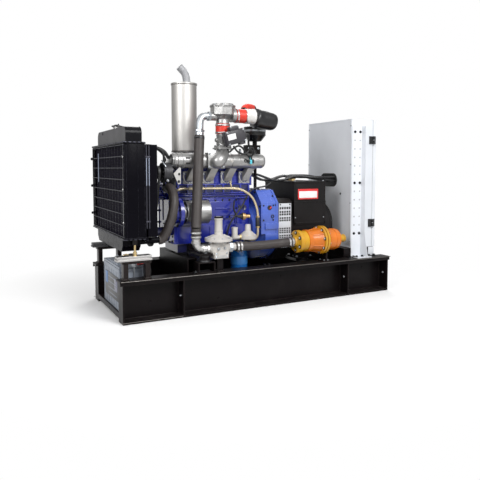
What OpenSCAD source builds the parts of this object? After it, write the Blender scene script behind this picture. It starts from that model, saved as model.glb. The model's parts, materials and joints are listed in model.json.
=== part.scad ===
// Open gas engine generating set on a steel skid.
// Every module is drawn from the skid's near corner: x runs along the skid from the radiator end,
// y runs from the near side to the far side, z is the height over the floor. placed() then moves
// the whole set so that the origin is on the floor under the middle of the skid.

/* [Skid] */
// Length of the skid
skid_l = 2000; // [1960:10:2200]
// Width of the skid
skid_w = 736; // [720:2:800]
// Height of the skid
skid_h = 256; // [240:2:270]
// Width of the side beams' flanges
flange_w = 95; // [85:1:100]
// Thickness of the skid's webs and end plates
web_t = 8; // [6:1:10]
// Thickness of the skid's flanges
flange_t = 12; // [8:1:14]
// Depth of the lip that hangs from the top flange
lip_h = 28; // [20:1:36]
// How far the top flange passes each end plate
flange_over = 14; // [6:1:20]

/* [Radiator] */
// Width of the radiator
rad_w = 824; // [780:2:860]
// Depth of the radiator's frame
rad_d = 130; // [110:1:140]
// Height of the core between the header plates
core_h = 538; // [500:1:560]
// Height of the core's lower edge over the floor
core_z = 510; // [500:1:530]
// Depth of the core block
core_d = 86; // [60:1:90]
// Width of the top tank
tank_w = 700; // [600:2:740]
// Height of the top tank
tank_h = 94; // [70:1:110]
// Height of the bottom tank
low_tank_h = 82; // [60:1:86]
// Depth of the fan shroud
shroud_d = 72; // [60:1:80]
// Diameter of the fan
fan_d = 500; // [460:2:520]
// Number of fan blades
fan_blades = 7; // [5:1:9]
// Horizontal wires of the front guard
guard_rows = 9; // [7:1:11]
// Upright wires of the front guard
guard_columns = 13; // [9:1:15]

/* [Engine] */
// Height of the crankshaft over the floor
crank_z = 490; // [485:1:500]
// Distance of the block's front face from the skid's end
block_x = 420; // [415:1:430]
// Distance between cylinders
bore_pitch = 135; // [128:1:138]
// Width of the block over the cylinders
block_w = 228; // [210:2:230]
// Height of the head gasket over the crankshaft
deck_h = 300; // [290:1:306]
// Height of the cylinder head
head_h = 96; // [80:1:100]
// Diameter of the intake log
log_d = 96; // [84:1:98]
// Radius of the flywheel housing
bell_r = 235; // [220:1:238]
// Diameter of the silencer
silencer_d = 176; // [160:2:200]
// Length of the silencer
silencer_l = 478; // [400:2:500]
// Radius of the tail pipe
tail_r = 27; // [22:1:30]
// Diameter of the oil filter
filter_d = 112; // [90:1:116]

/* [Gas line] */
// Outer diameter of the gas hoses
gas_hose_d = 64; // [54:1:64]
// Diameter of the regulator's diaphragm case
diaphragm_d = 178; // [160:1:184]
// Radius of the arrester's large flanges
arrester_r = 98; // [88:1:102]
// Radius of the gas inlet nozzle
inlet_r = 26; // [20:1:28]
// Height of the gas line's axis over the floor
gas_z = 405; // [400:1:412]

/* [Generator] */
// Radius of the generator's barrel
barrel_r = 200; // [190:1:205]
// Length of the generator's barrel
barrel_l = 360; // [330:2:370]
// Length of the drive end housing
drive_l = 116; // [100:1:120]
// Length of the terminal box
box_l = 268; // [240:2:276]
// Width of the terminal box
box_w = 412; // [400:2:424]

/* [Cabinet] */
// Width of the control cabinet across the skid
cab_w = 548; // [500:2:560]
// Depth of the control cabinet with its door
cab_d = 226; // [200:1:236]
// Height of the control cabinet
cab_h = 946; // [860:2:1000]
// Thickness of the cabinet's sheet
sheet_t = 3; // [2:0.5:4]
// Depth of the cabinet door
door_d = 26; // [20:1:30]

/* [Hidden] */
$fn = 64;
eps = 0.3;
mid_y = skid_w / 2;
bed_y0 = flange_w;
bed_y1 = skid_w - flange_w;

// radiator
rad_y0 = mid_y - rad_w / 2;
rad_y1 = mid_y + rad_w / 2;
core_top = core_z + core_h;
header_t = 8;
side_w = 44;
core_x = 22;
guard_wire = 5;
shroud_x = rad_d;
shroud_x1 = shroud_x + shroud_d;
shroud_t = 3;
ring_d = fan_d + 40;
ring_l = 30;
fan_z = core_z + core_h / 2 - 19;
fan_x = shroud_x1 - 26;
tank_x = 33;
tank_d = 95;
tank_r = 38;
low_tank_w = 650;
low_tank_x = 16;
low_tank_d = 108;
low_tank_z = core_z - header_t - low_tank_h;
outlet_l = 118;
outlet_z = low_tank_z + 58;
outlet_root = [low_tank_x + low_tank_d - 30, 82, outlet_z - 6];
outlet_end = [low_tank_x + low_tank_d + outlet_l, 64, outlet_z];
mount_x = 12;
mount_l = 160;
mount_y = 12;
mount_w = 58;
pad_h = 30;
pad_z = low_tank_z - 22;
mount_arm_t = 10;

// engine
crank_y = mid_y;
bell_top = crank_z + bell_r + 33;
block_l = 4 * bore_pitch;
block_x1 = block_x + block_l;
deck_z = crank_z + deck_h;
head_top = deck_z + head_h;
block_y0 = crank_y - block_w / 2;
block_y1 = crank_y + block_w / 2;
skirt_w = 300;
skirt_z = crank_z - 70;
oil_filter_h = 156;
skirt_top = crank_z + 40;
sump_h = 132;
case_t = 24;
case_x = block_x - case_t;
drum_r = 76;
drum_y = block_y0 - drum_r - 2;
drum_z = crank_z + 138;
drum_l = 186;
cover_h = 66;
first_bore = block_x + bore_pitch * 0.68;
log_r = log_d / 2;
log_y = block_y0 - log_r - 11;
log_z = head_top + 71;
log_x0 = block_x - 50;
log_x1 = block_x1 + 73;
pad_y = log_y - log_r - 12;
stack_x = block_x + 290;
stack_y = log_y - log_r + 3;
throttle_z = log_z + 85;
throttle_r = 40;
throttle_l = 93;
red_r = 46;
red_l = 58;
neck_l = 42;
mixer_z = throttle_z + throttle_l + red_l + neck_l;
mixer_h = 88;
mixer_r = 84;
side_z = mixer_z + 17;
gas_in_z = mixer_z + 6;
side_x = stack_x + mixer_r + 14;
side_hose_l = 62;
adapter_l = 70;
arch_r = 25;
branch = [0, 62, 44];
branch_x = 30;
filter_x = side_x + side_hose_l + adapter_l;
filter_l = 166;
filter_r = 68;
filter_z = side_z - 8;
cleaner_cap = 22;
filter_drop = 8;
bell_x = block_x1;
bell_l = 165;
gen_x = bell_x + bell_l;
barrel_x = gen_x + drive_l;
barrel_x1 = barrel_x + barrel_l;
box_x = barrel_x + 32;
box_half = box_w / 2;
box_y0 = mid_y - box_half;
box_y1 = mid_y + box_half;
box_top = crank_z + 325;
box_low = crank_z + sqrt(max(0, pow(barrel_r + 1, 2) - pow(box_half, 2))) + 16;
exhaust_y = block_y1 + 46;
exhaust_r = 32;
exhaust_z = deck_z + 72;
silencer_x = block_x + 171;
silencer_y = exhaust_y;
silencer_z = log_z + 62;
pulley_x = case_x - 124;
pulley_w = 20;
crank_pulley_r = 84;
fan_pulley_r = 70;
dynamo_y = crank_y - 172;
dynamo_z = deck_z + 92;
dynamo_r = 62;
dynamo_pulley_r = 34;
pump_x = case_x - 66;
pump_inlet = [pump_x + 36, crank_y - 44, fan_z + 6];
pump_reach = [0, -64, 12];
case_half = 150;

// gas line
gas_y = 48;
reg_x = 632;
reg_r = diaphragm_d / 2;
reg_low = gas_z - 62;
reg_half = 54;
reg_pipe = 62;
riser_x = 478;
riser_knee = [riser_x, gas_y, gas_z + 124];
riser_top = [541, 136, 1115];
riser_way = unit(riser_top - riser_knee);
elbow_r = 24;
arrester_x = 1222;
arrester_z = gas_z + 2;
arrester_y = 60;
arrester_stub = 24;
flange_x = arrester_x + 184;
nozzle_l = 78;

// cabinet
cab_x = 1722;
plate_inset = 58;
cab_x1 = cab_x + cab_d;
cab_y0 = mid_y - cab_w / 2;
cab_y1 = mid_y + cab_w / 2;
plinth_h = 66;
cab_z = skid_h + plinth_h;
cab_z1 = cab_z + cab_h;
door_gap = 5;
door_x = cab_x1 - door_d;
slot_y0 = mid_y - 100;
slot_w = 200;
slot_h = 90;
slot_z = cab_z + 453;
cable_r = 11;
loom_r = 9;
// Places across the skid at the engine, over the box and in the slot, and the height over the deck
loom_paths = [[334, 262, 292, 84], [432, 424, 426, 86], [456, 452, 450, 80]];
stand_w = 92;
stand_t = 4;
stand_out = 46;
foot_out = 84;
stand_top = cab_z1 - 54;
flare_z = skid_h + 190;
hinge_r = 7;
hinge_y = cab_y0 - hinge_r - 2;
hinge_x = door_x - door_gap / 2;
hinge_heights = [cab_z + cab_h * 0.19, cab_z + cab_h * 0.84];

// battery
bat_x = 8;
bat_y = bed_y0 + 9;
bat_w = 400;
bat_d = 180;
bat_h = 280;
tray_z = 52;
tray_t = 8;

module placed() {
    translate([-skid_l / 2, -skid_w / 2, 0]) children();
}

// Box from one corner to the opposite one.
module block(a, b) {
    translate(a) cube(b - a);
}

// Cylinder along x from a point.
module rod_x(p, r, l) {
    translate(p) rotate([0, 90, 0]) cylinder(r = r, h = l);
}

// Cylinder along y from a point.
module rod_y(p, r, l) {
    translate(p) rotate([-90, 0, 0]) cylinder(r = r, h = l);
}

module rod_z(p, r, l) {
    translate(p) cylinder(r = r, h = l);
}

// Cylinder from point a to point b.
module rod(a, b, r) {
    d = b - a;
    l = norm(d);
    translate(a) rotate([0, acos(d[2] / l), atan2(d[1], d[0])]) cylinder(r = r, h = l);
}

// Shape and its mirror image across the middle of the skid.
module both_sides() {
    children();
    translate([0, skid_w, 0]) mirror([0, 1, 0]) children();
}

// Point of a smooth curve through p at parameter t of the stretch from p[i] to p[i + 1].
function spline(p, i, t) =
    let (n = len(p), a = p[max(i - 1, 0)], b = p[i], c = p[min(i + 1, n - 1)], d = p[min(i + 2, n - 1)])
    0.5 * (2 * b + (c - a) * t + (2 * a - 5 * b + 4 * c - d) * t * t + (3 * b - a - 3 * c + d) * t * t * t);

// Curve through the points p with steps pieces between each two.
function smooth(p, steps) = [
    for (i = [0 : len(p) - 2]) for (s = [0 : steps - 1]) spline(p, i, s / steps),
    p[len(p) - 1]
];

function unit(v) = v / norm(v);

// Curve through p that leaves the point a and reaches the point b in straight lines.
function led(a, p, b, steps) = concat([a], smooth(p, steps), [b]);

// Direction of the curve c at its point i.
function heading(c, i) = unit(c[min(i + 1, len(c) - 1)] - c[max(i - 1, 0)]);

// Tube of radius r along the curve c. No stretch of it runs along the direction side.
module sweep(c, r, side = [0, 1, 0], sides = 12) {
    n = len(c);
    points = [
        for (i = [0 : n - 1])
            let (h = heading(c, i), u = unit(cross(h, side)), v = cross(h, u))
            for (k = [0 : sides - 1]) c[i] + r * (cos(360 * k / sides) * u + sin(360 * k / sides) * v)
    ];
    faces = [
        [for (k = [0 : sides - 1]) k],
        for (i = [0 : n - 2]) for (k = [0 : sides - 1])
            let (m = (k + 1) % sides)
            [i * sides + k, (i + 1) * sides + k, (i + 1) * sides + m, i * sides + m],
        [for (k = [sides - 1 : -1 : 0]) (n - 1) * sides + k]
    ];
    polyhedron(points, faces, convexity = 4);
}

// One side beam with its recess facing outwards.
module side_beam() {
    stiffener_x = [skid_l * 0.187, skid_l * 0.813];
    block([0, 0, 0], [skid_l, flange_w, flange_t]);
    block([-flange_over, 0, skid_h - flange_t], [skid_l + flange_over, flange_w, skid_h]);
    block([-flange_over, 0, skid_h - lip_h], [skid_l + flange_over, web_t, skid_h]);
    block([0, flange_w - web_t, 0], [skid_l, flange_w, skid_h]);
    for (x = concat([0, skid_l - web_t], stiffener_x))
        block([x, 0, 0], [x + web_t, flange_w, skid_h]);
}

module skid_near_beam() {
    color([0.08, 0.07, 0.07]) side_beam();
}

module skid_far_beam() {
    color([0.08, 0.07, 0.07]) translate([0, skid_w, 0]) mirror([0, 1, 0]) side_beam();
}

// Hollow box section across the skid between the two webs.
module cross_beam(x0, x1, z0, z1, wall = 6) {
    difference() {
        block([x0, bed_y0, z0], [x1, bed_y1, z1]);
        block([x0 + wall, bed_y0 - 1, z0 + wall], [x1 - wall, bed_y1 + 1, z1 - wall]);
    }
}

module skid_cross_members() {
    color([0.08, 0.07, 0.07]) {
        cross_beam(block_x + 20, block_x + 80, 180, skid_h + 86);
        cross_beam(skid_l / 2 - 40, skid_l / 2 + 40, 0, 90);
        cross_beam(barrel_x + 50, barrel_x + 190, 100, skid_h - 6);
        cross_beam(cab_x - 57, cab_x + 38, 60, skid_h);
        cross_beam(cab_x + 142, cab_x + 218, 60, skid_h);
    }
}

module battery_tray() {
    color([0.10, 0.09, 0.09]) {
        block([0, bed_y0, tray_z - tray_t], [330, bed_y1, tray_z]);
        block([0, bed_y0, 20], [web_t, bed_y1, tray_z]);
        block([322, bed_y0, 20], [330, bed_y1, tray_z]);
    }
}

module cabinet_plinth() {
    color([0.10, 0.09, 0.09]) {
        block([cab_x - 57, bed_y0 + 3, skid_h], [cab_x + 38, bed_y1 - 3, cab_z]);
        block([cab_x + 142, bed_y0 + 3, skid_h], [cab_x + 218, bed_y1 - 3, cab_z]);
    }
}

module radiator_core() {
    color([0.10, 0.10, 0.14])
        block([core_x, rad_y0 + side_w + 1, core_z], [core_x + core_d, rad_y1 - side_w - 1, core_top]);
}

// Header plates and the channels between them, open towards the core.
module radiator_frame() {
    color([0.07, 0.07, 0.08]) {
        both_sides() difference() {
            block([8, rad_y0, core_z], [rad_d, rad_y0 + side_w, core_top]);
            block([11, rad_y0 + 3, core_z - 1], [rad_d - 3, rad_y0 + side_w + 1, core_top + 1]);
        }
        block([2, rad_y0, core_z - header_t], [rad_d + 4, rad_y1, core_z]);
        block([2, rad_y0, core_top], [rad_d + 4, rad_y1, core_top + header_t]);
    }
}

module radiator_top_tank() {
    z0 = core_top + header_t;
    color([0.09, 0.09, 0.10])
        translate([tank_x, mid_y, z0]) rotate([90, 0, 90]) linear_extrude(tank_d) union() {
            translate([-tank_w / 2, 0]) square([tank_w, tank_h - tank_r]);
            translate([-tank_w / 2 + tank_r, 0]) square([tank_w - 2 * tank_r, tank_h]);
            for (s = [-1, 1]) translate([s * (tank_w / 2 - tank_r), tank_h - tank_r]) circle(tank_r);
        }
}

// Tank under the core with its outlet pipe.
module radiator_bottom_tank() {
    slope = 34;
    color([0.09, 0.09, 0.10])
        translate([low_tank_x, mid_y, low_tank_z]) rotate([90, 0, 90]) linear_extrude(low_tank_d)
            polygon([
                [-low_tank_w / 2 + slope, 0], [low_tank_w / 2 - slope, 0],
                [low_tank_w / 2, slope], [low_tank_w / 2, low_tank_h],
                [-low_tank_w / 2, low_tank_h], [-low_tank_w / 2, slope]
            ]);
    color([0.09, 0.09, 0.10]) rod(outlet_root, outlet_end, 19);
}

// Wire guard in front of the core.
module radiator_guard() {
    y0 = rad_y0 + 4;
    y1 = rad_y1 - 4;
    z0 = core_z + 4;
    z1 = core_top - 4;
    w = guard_wire;
    color([0.11, 0.11, 0.12]) {
        for (i = [0 : guard_rows - 1])
            let (z = z0 + (z1 - z0 - w) * i / (guard_rows - 1)) block([8 - w, y0, z], [8, y1, z + w]);
        for (i = [0 : guard_columns - 1])
            let (y = y0 + (y1 - y0 - w) * i / (guard_columns - 1)) block([8 - w, y, z0], [8, y + w, z1]);
    }
}

module filler_cap() {
    z0 = core_top + header_t + tank_h;
    color([0.12, 0.12, 0.12]) {
        rod_z([tank_x + 45, mid_y + 10, z0], 24, 20);
        rod_z([tank_x + 45, mid_y + 10, z0 + 20], 34, 14);
    }
}

// Bridge on the side beam, rubber block and stud under each end of the radiator.
module radiator_mounts() {
    y0 = mount_y;
    y1 = mount_y + mount_w;
    top = pad_z - pad_h;
    arm_z = core_z - header_t - mount_arm_t;
    color([0.12, 0.09, 0.08]) both_sides() {
        block([mount_x, y0, skid_h], [mount_x + 28, y1, top]);
        block([mount_x + mount_l - 28, y0, skid_h], [mount_x + mount_l, y1, top]);
        block([mount_x - 8, y0, top - 8], [mount_x + mount_l + 8, y1, top]);
        block([mount_x - 40, y0 - 4, top], [mount_x + mount_l + 12, y1 + 4, pad_z]);
        rod_z([mount_x + 72, y0 + 16, pad_z], 9, arm_z - pad_z);
        block([mount_x + 40, y0, arm_z], [mount_x + 104, mid_y - low_tank_w / 2, core_z - header_t]);
    }
}

// Box behind the core that narrows to the fan's ring.
module fan_shroud() {
    color([0.06, 0.06, 0.07]) difference() {
        union() {
            block([shroud_x, rad_y0 + 4, core_z + 4], [shroud_x1, rad_y1 - 4, core_top - 4]);
            rod_x([shroud_x1, crank_y, fan_z], ring_d / 2 + shroud_t, ring_l);
        }
        block([shroud_x - 1, rad_y0 + 4 + shroud_t, core_z + 4 + shroud_t],
            [shroud_x1 - shroud_t, rad_y1 - 4 - shroud_t, core_top - 4 - shroud_t]);
        rod_x([shroud_x, crank_y, fan_z], ring_d / 2, shroud_d + ring_l + 1);
    }
}

module fan() {
    blade_w = 92;
    color([0.13, 0.13, 0.14]) {
        rod_x([fan_x - 10, crank_y, fan_z], 70, 26);
        translate([fan_x + 3, crank_y, fan_z]) rotate([0, 90, 0])
            for (i = [0 : fan_blades - 1]) rotate([0, 0, 360 * i / fan_blades])
                rotate([24, 0, 0]) translate([50, -blade_w / 2, -2]) cube([fan_d / 2 - 58, blade_w, 4]);
        rod_x([fan_x + 16, crank_y, fan_z], 28, pulley_x - fan_x - 16);
        rod_x([pulley_x, crank_y, fan_z], fan_pulley_r, pulley_w);
        rod_x([pulley_x + pulley_w, crank_y, fan_z], 14, pump_x - pulley_x - pulley_w - 3);
    }
}

module crank_pulley() {
    color([0.12, 0.12, 0.13]) {
        rod_x([pulley_x, crank_y, crank_z], crank_pulley_r, pulley_w);
        rod_x([pulley_x + pulley_w, crank_y, crank_z], 30, case_x - pulley_x - pulley_w - 3);
    }
}

// Outline round the three pulleys, out by the distance out.
module belt_outline(out) {
    hull() {
        translate([crank_y, crank_z]) circle(crank_pulley_r + out, $fn = 48);
        translate([crank_y, fan_z]) circle(fan_pulley_r + out, $fn = 48);
        translate([dynamo_y, dynamo_z]) circle(dynamo_pulley_r + out, $fn = 32);
    }
}

module drive_belt() {
    color([0.05, 0.05, 0.05])
        translate([pulley_x + 3, 0, 0]) rotate([90, 0, 90]) linear_extrude(pulley_w - 6) difference() {
            belt_outline(10);
            belt_outline(1);
        }
}

module charging_dynamo() {
    color([0.55, 0.56, 0.58]) {
        rod_x([pulley_x, dynamo_y, dynamo_z], dynamo_pulley_r, pulley_w);
        rod_x([pulley_x + pulley_w, dynamo_y, dynamo_z], 10, 16);
        rod_x([pulley_x + pulley_w + 16, dynamo_y, dynamo_z], dynamo_r, 54);
        block([pulley_x + pulley_w + 60, dynamo_y - 12, dynamo_z - 50], [block_x - 3, dynamo_y + 60, dynamo_z - 20]);
        block([case_x + 2, dynamo_y + 36, deck_z - 10], [block_x - 3, dynamo_y + 116, dynamo_z - 20]);
    }
}

module water_pump() {
    color([0.13, 0.16, 0.42]) {
        rod_x([pump_x, crank_y, fan_z], 52, case_x - pump_x);
        rod(pump_inlet, pump_inlet + pump_reach, 27);
    }
}

module battery() {
    x1 = bat_x + bat_d;
    y1 = bat_y + bat_w;
    z1 = tray_z + bat_h;
    color([0.42, 0.47, 0.55]) {
        block([bat_x, bat_y, tray_z], [x1, y1, z1 - 24]);
        block([bat_x + 4, bat_y + 4, z1 - 24], [x1 - 4, y1 - 4, z1 - 10]);
        for (y = [bat_y + 40, y1 - 40]) rod_z([x1 - 40, y, z1 - 10], 11, 20);
    }
}

// Block with its crankcase skirt, ribs and side cover.
module engine_block() {
    skirt_y0 = crank_y - skirt_w / 2;
    skirt_y1 = crank_y + skirt_w / 2;
    color([0.10, 0.13, 0.55]) {
        block([block_x, block_y0, skirt_z], [block_x1, block_y1, deck_z]);
        difference() {
            block([block_x, skirt_y0, skirt_z], [block_x1, skirt_y1, skirt_top]);
            rod_x([block_x - 1, drum_y, drum_z], drum_r + 3, drum_l + 20);
        }
        block([block_x + 24, block_y0 - 10, deck_z - 62], [block_x1 - 10, block_y1 + 10, deck_z - 8]);
        block([block_x + 214, block_y0 - 14, skirt_top + 40], [block_x1 - 96, block_y0, deck_z - 84]);
        block([filter_x0() - 46, skirt_y0 - 44, skirt_z + 6], [filter_x0() + 46, skirt_y0, skirt_z + 50]);
    }
}

function filter_x0() = block_x1 - 126;

module cylinder_head() {
    color([0.11, 0.14, 0.58]) {
        block([block_x + 10, block_y0 + 6, deck_z], [block_x1 - 10, block_y1 - 6, head_top]);
        for (i = [0 : 3])
            block([first_bore + i * bore_pitch - 46, block_y0 - 6, deck_z + 14],
                [first_bore + i * bore_pitch + 40, block_y0 + 6, head_top - 4]);
    }
}

module valve_cover() {
    color([0.10, 0.13, 0.50]) {
        block([block_x + 22, block_y0 + 22, head_top], [block_x1 - 22, block_y1 - 12, head_top + cover_h]);
        rod_z([block_x1 - 90, crank_y + 20, head_top + cover_h], 22, 26);
    }
}

// Deep pan with a shallow front over the cross beam.
module oil_sump() {
    x0 = block_x + 94;
    color([0.07, 0.08, 0.25]) {
        translate([x0, crank_y, skirt_z - sump_h]) rotate([90, 0, 90]) linear_extrude(block_x1 - 14 - x0)
            polygon([[-86, 0], [86, 0], [120, 60], [120, sump_h], [-120, sump_h], [-120, 60]]);
        block([block_x + 10, crank_y - 120, skirt_z - 60], [x0 + 1, crank_y + 120, skirt_z]);
    }
}

// Front case with a round lobe for the side drive.
module gear_case() {
    color([0.10, 0.13, 0.55]) {
        block([case_x, crank_y - case_half, skirt_z], [block_x, crank_y + case_half, deck_z - 10]);
        rod_x([case_x, drum_y, drum_z], drum_r + 18, case_t);
        rod_x([case_x - 16, drum_y, drum_z], drum_r - 8, 16);
    }
}

module drive_housing() {
    color([0.70, 0.71, 0.72]) {
        rod_x([block_x, drum_y, drum_z], drum_r - 22, 28);
        rod_x([block_x + 28, drum_y, drum_z], drum_r - 4, 30);
        rod_x([block_x + 58, drum_y, drum_z], drum_r - 16, 60);
        rod_x([block_x + 118, drum_y, drum_z], drum_r, drum_l - 118);
    }
}

// Bracket, rubber and arm on each side of the engine's front.
module engine_mounts() {
    x0 = block_x + 60;
    x1 = x0 + 112;
    skirt_y0 = crank_y - skirt_w / 2;
    top = skirt_z - 56;
    color([0.08, 0.08, 0.09]) both_sides() {
        block([x0, 10, skid_h], [x0 + 6, flange_w - 5, top - 40]);
        block([x1 - 6, 10, skid_h], [x1, flange_w - 5, top - 40]);
        block([x0, 10, top - 46], [x1, flange_w - 5, top - 40]);
        block([x0 - 12, 10, skid_h], [x1 + 12, flange_w - 5, skid_h + 6]);
        translate([(x0 + x1) / 2, 50, top - 40]) cylinder(r1 = 36, r2 = 28, h = 40);
        block([x0 + 16, 14, top], [x1 - 16, skirt_y0 + 30, top + 14]);
        block([x0 + 16, skirt_y0, top], [x1 - 16, skirt_y0 + 30, skirt_z]);
    }
}

// Round log with four runners down to the head and a pad for the elbow.
module intake_manifold() {
    color([0.72, 0.72, 0.72]) {
        rod_x([log_x0, log_y, log_z], log_r - 6, 14);
        rod_x([log_x0 + 14, log_y, log_z], log_r, log_x1 - log_x0 - 28);
        rod_x([log_x1 - 14, log_y, log_z], log_r - 8, 14);
        for (i = [0 : 3]) {
            x = first_bore + i * bore_pitch;
            hull() {
                translate([x + 6, log_y - 18, log_z - 30]) cube([52, 34, 20]);
                translate([x - 24, block_y0 - 22, deck_z + 34]) cube([50, 12, 44]);
            }
            block([x - 44, block_y0 - 16, deck_z + 18], [x + 38, block_y0 - 6 - eps, head_top - 2]);
        }
        elbow_pad();
    }
}

// Pad on the log that the elbow is bolted to.
module elbow_pad() {
    block([stack_x - 108, pad_y, log_z - 46], [stack_x + 2, log_y, log_z + 52]);
}

// Elbow from the pad up to the throttle, cut to sit on the pad and clear the log.
module intake_elbow() {
    corner = [stack_x - 50, pad_y - 30, log_z + 4];
    color([0.66, 0.66, 0.66]) difference() {
        union() {
            block([stack_x - 104, pad_y - 8, log_z - 42], [stack_x - 2, pad_y, log_z + 48]);
            rod_y(corner, 38, 26);
            translate(corner) sphere(r = 40);
            rod(corner, [stack_x - 4, stack_y - 4, throttle_z - 30], 37);
            rod_z([stack_x, stack_y, throttle_z - 44], 38, 38);
            block([stack_x - 52, stack_y - 46, throttle_z - 8], [stack_x + 60, stack_y + 46, throttle_z]);
        }
        elbow_pad();
        rod_x([log_x0, log_y, log_z], log_r + eps, log_x1 - log_x0);
    }
}

module throttle_body() {
    color([0.68, 0.68, 0.68]) {
        rod_z([stack_x, stack_y, throttle_z], throttle_r, throttle_l);
        block([stack_x - 34, stack_y - throttle_r - 18, throttle_z + 26],
            [stack_x + 34, stack_y - 10, throttle_z + 74]);
    }
}

// Control box that turns the throttle shaft.
module throttle_actuator() {
    y1 = stack_y - throttle_r - 18;
    color([0.16, 0.16, 0.18]) {
        translate([stack_x + 42, y1 - 62, throttle_z + 66]) rotate([0, -14, 0])
            block([-68, 0, -45], [68, 58, 45]);
        block([stack_x - 22, y1 - 5, throttle_z + 36], [stack_x + 22, y1, throttle_z + 68]);
    }
}

module charge_hoses() {
    color([0.80, 0.16, 0.10]) {
        rod_z([stack_x, stack_y, throttle_z + throttle_l], red_r, red_l);
        rod_x([side_x, stack_y, side_z], red_r, side_hose_l);
        start = [side_x + side_hose_l + branch_x, stack_y, side_z] + branch;
        foot = [cleaner_x(), cleaner_y(), cleaner_top() + cleaner_cap];
        sweep(led(start, [
            start + 12 * unit(branch), start + [18, 26, 24], start + [64, 56, 30], foot + [-22, -3, 78],
            foot + [0, 0, 42], foot + [0, 0, 16]
        ], foot, 4), arch_r, [0, 1, 0.4], 14);
    }
}

function cleaner_x() = block_x1 + 69;
function cleaner_y() = stack_y + filter_r + 80;
function cleaner_top() = mixer_z - 38;

// Cast gas and air mixer with a flat-sided bowl.
module gas_mixer() {
    color([0.70, 0.71, 0.72]) {
        rod_z([stack_x, stack_y, mixer_z - neck_l], red_r - 4, neck_l + 1);
        translate([stack_x, stack_y, mixer_z]) rotate([0, 0, 22.5]) {
            cylinder(r1 = mixer_r - 28, r2 = mixer_r - 5, h = 18, $fn = 8);
            translate([0, 0, 18]) cylinder(r = mixer_r - 5, h = mixer_h - 40, $fn = 8);
            translate([0, 0, mixer_h - 22]) cylinder(r = mixer_r, h = 10, $fn = 8);
        }
        rod_z([stack_x, stack_y, mixer_z + mixer_h - 12], mixer_r - 14, 12);
        rod_x([stack_x + mixer_r * 0.7, stack_y, side_z], red_r - 2, side_x - stack_x - mixer_r * 0.7);
        rod_x([stack_x - mixer_r - 6, stack_y, gas_in_z], elbow_r + 3, mixer_r * 0.5);
    }
}

module filter_adapter() {
    x0 = side_x + side_hose_l;
    color([0.86, 0.86, 0.85]) {
        rod_x([x0, stack_y, side_z], red_r + 2, adapter_l);
        rod([x0 + branch_x, stack_y, side_z], [x0 + branch_x, stack_y, side_z] + branch, arch_r - 3);
    }
}

module air_filter() {
    color([0.09, 0.09, 0.10]) {
        rod_x([filter_x, stack_y, side_z], red_r + 2, 22);
        translate([filter_x, stack_y, filter_z]) rotate([0, 90 + filter_drop, 0]) {
            translate([0, 0, 10]) cylinder(r1 = filter_r, r2 = filter_r - 9, h = filter_l - 34);
            translate([0, 0, filter_l - 24]) cylinder(r1 = filter_r - 9, r2 = filter_r - 32, h = 24);
        }
    }
}

module air_cleaner_bowl() {
    color([0.07, 0.07, 0.08]) {
        translate([cleaner_x(), cleaner_y(), cleaner_top() - 60]) cylinder(r = 76, h = 60);
        translate([cleaner_x(), cleaner_y(), cleaner_top() - 100]) cylinder(r1 = 44, r2 = 76, h = 40);
        translate([cleaner_x(), cleaner_y(), cleaner_top()]) cylinder(r = 34, h = cleaner_cap);
    }
}

module cleaner_post() {
    x = cleaner_x();
    y = cleaner_y();
    color([0.06, 0.06, 0.07]) {
        rod_z([x, y, cleaner_top() - 130], 16, 30);
        block([x - 76, y - 28, cleaner_top() - 200], [x + 30, y + 26, cleaner_top() - 127]);
        block([x - 3, y - 12, bell_top], [x + 9, y + 12, cleaner_top() - 199]);
    }
}

module exhaust_manifold() {
    color([0.38, 0.33, 0.30]) {
        rod_x([first_bore - 50, exhaust_y, exhaust_z], exhaust_r, 3 * bore_pitch + 90);
        for (i = [0 : 3])
            block([first_bore + i * bore_pitch - 24, block_y1 - 6, exhaust_z - 22],
                [first_bore + i * bore_pitch + 24, exhaust_y, exhaust_z + 22]);
        rod_z([silencer_x, silencer_y, exhaust_z], 30, silencer_z - exhaust_z);
    }
}

module silencer() {
    color([0.66, 0.65, 0.62]) {
        rod_z([silencer_x, silencer_y, silencer_z], silencer_d / 2, silencer_l);
        rod_z([silencer_x, silencer_y, silencer_z + silencer_l - 10], silencer_d / 2 + 4, 10);
        rod_z([silencer_x, silencer_y, silencer_z], silencer_d / 2 + 3, 6);
    }
}

module tail_pipe() {
    x = silencer_x + 19;
    z = silencer_z + silencer_l;
    route = [
        [x, silencer_y, z + 12], [x, silencer_y, z + 26], [x - 4, silencer_y, z + 52],
        [x - 13, silencer_y, z + 74], [x - 24, silencer_y, z + 88]
    ];
    color([0.70, 0.70, 0.69]) difference() {
        union() {
            sweep(led([x, silencer_y, z], route, [x - 30, silencer_y, z + 93], 3), tail_r - 0.4, [0, 1, 0], 16);
            translate([x - 28, silencer_y, z + 91]) rotate([0, -45, 0]) cylinder(r = tail_r, h = 34);
        }
        translate([x - 28, silencer_y, z + 91]) rotate([0, -45, 0]) translate([0, 0, 4])
            cylinder(r = tail_r - 2.5, h = 40);
    }
}

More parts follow.
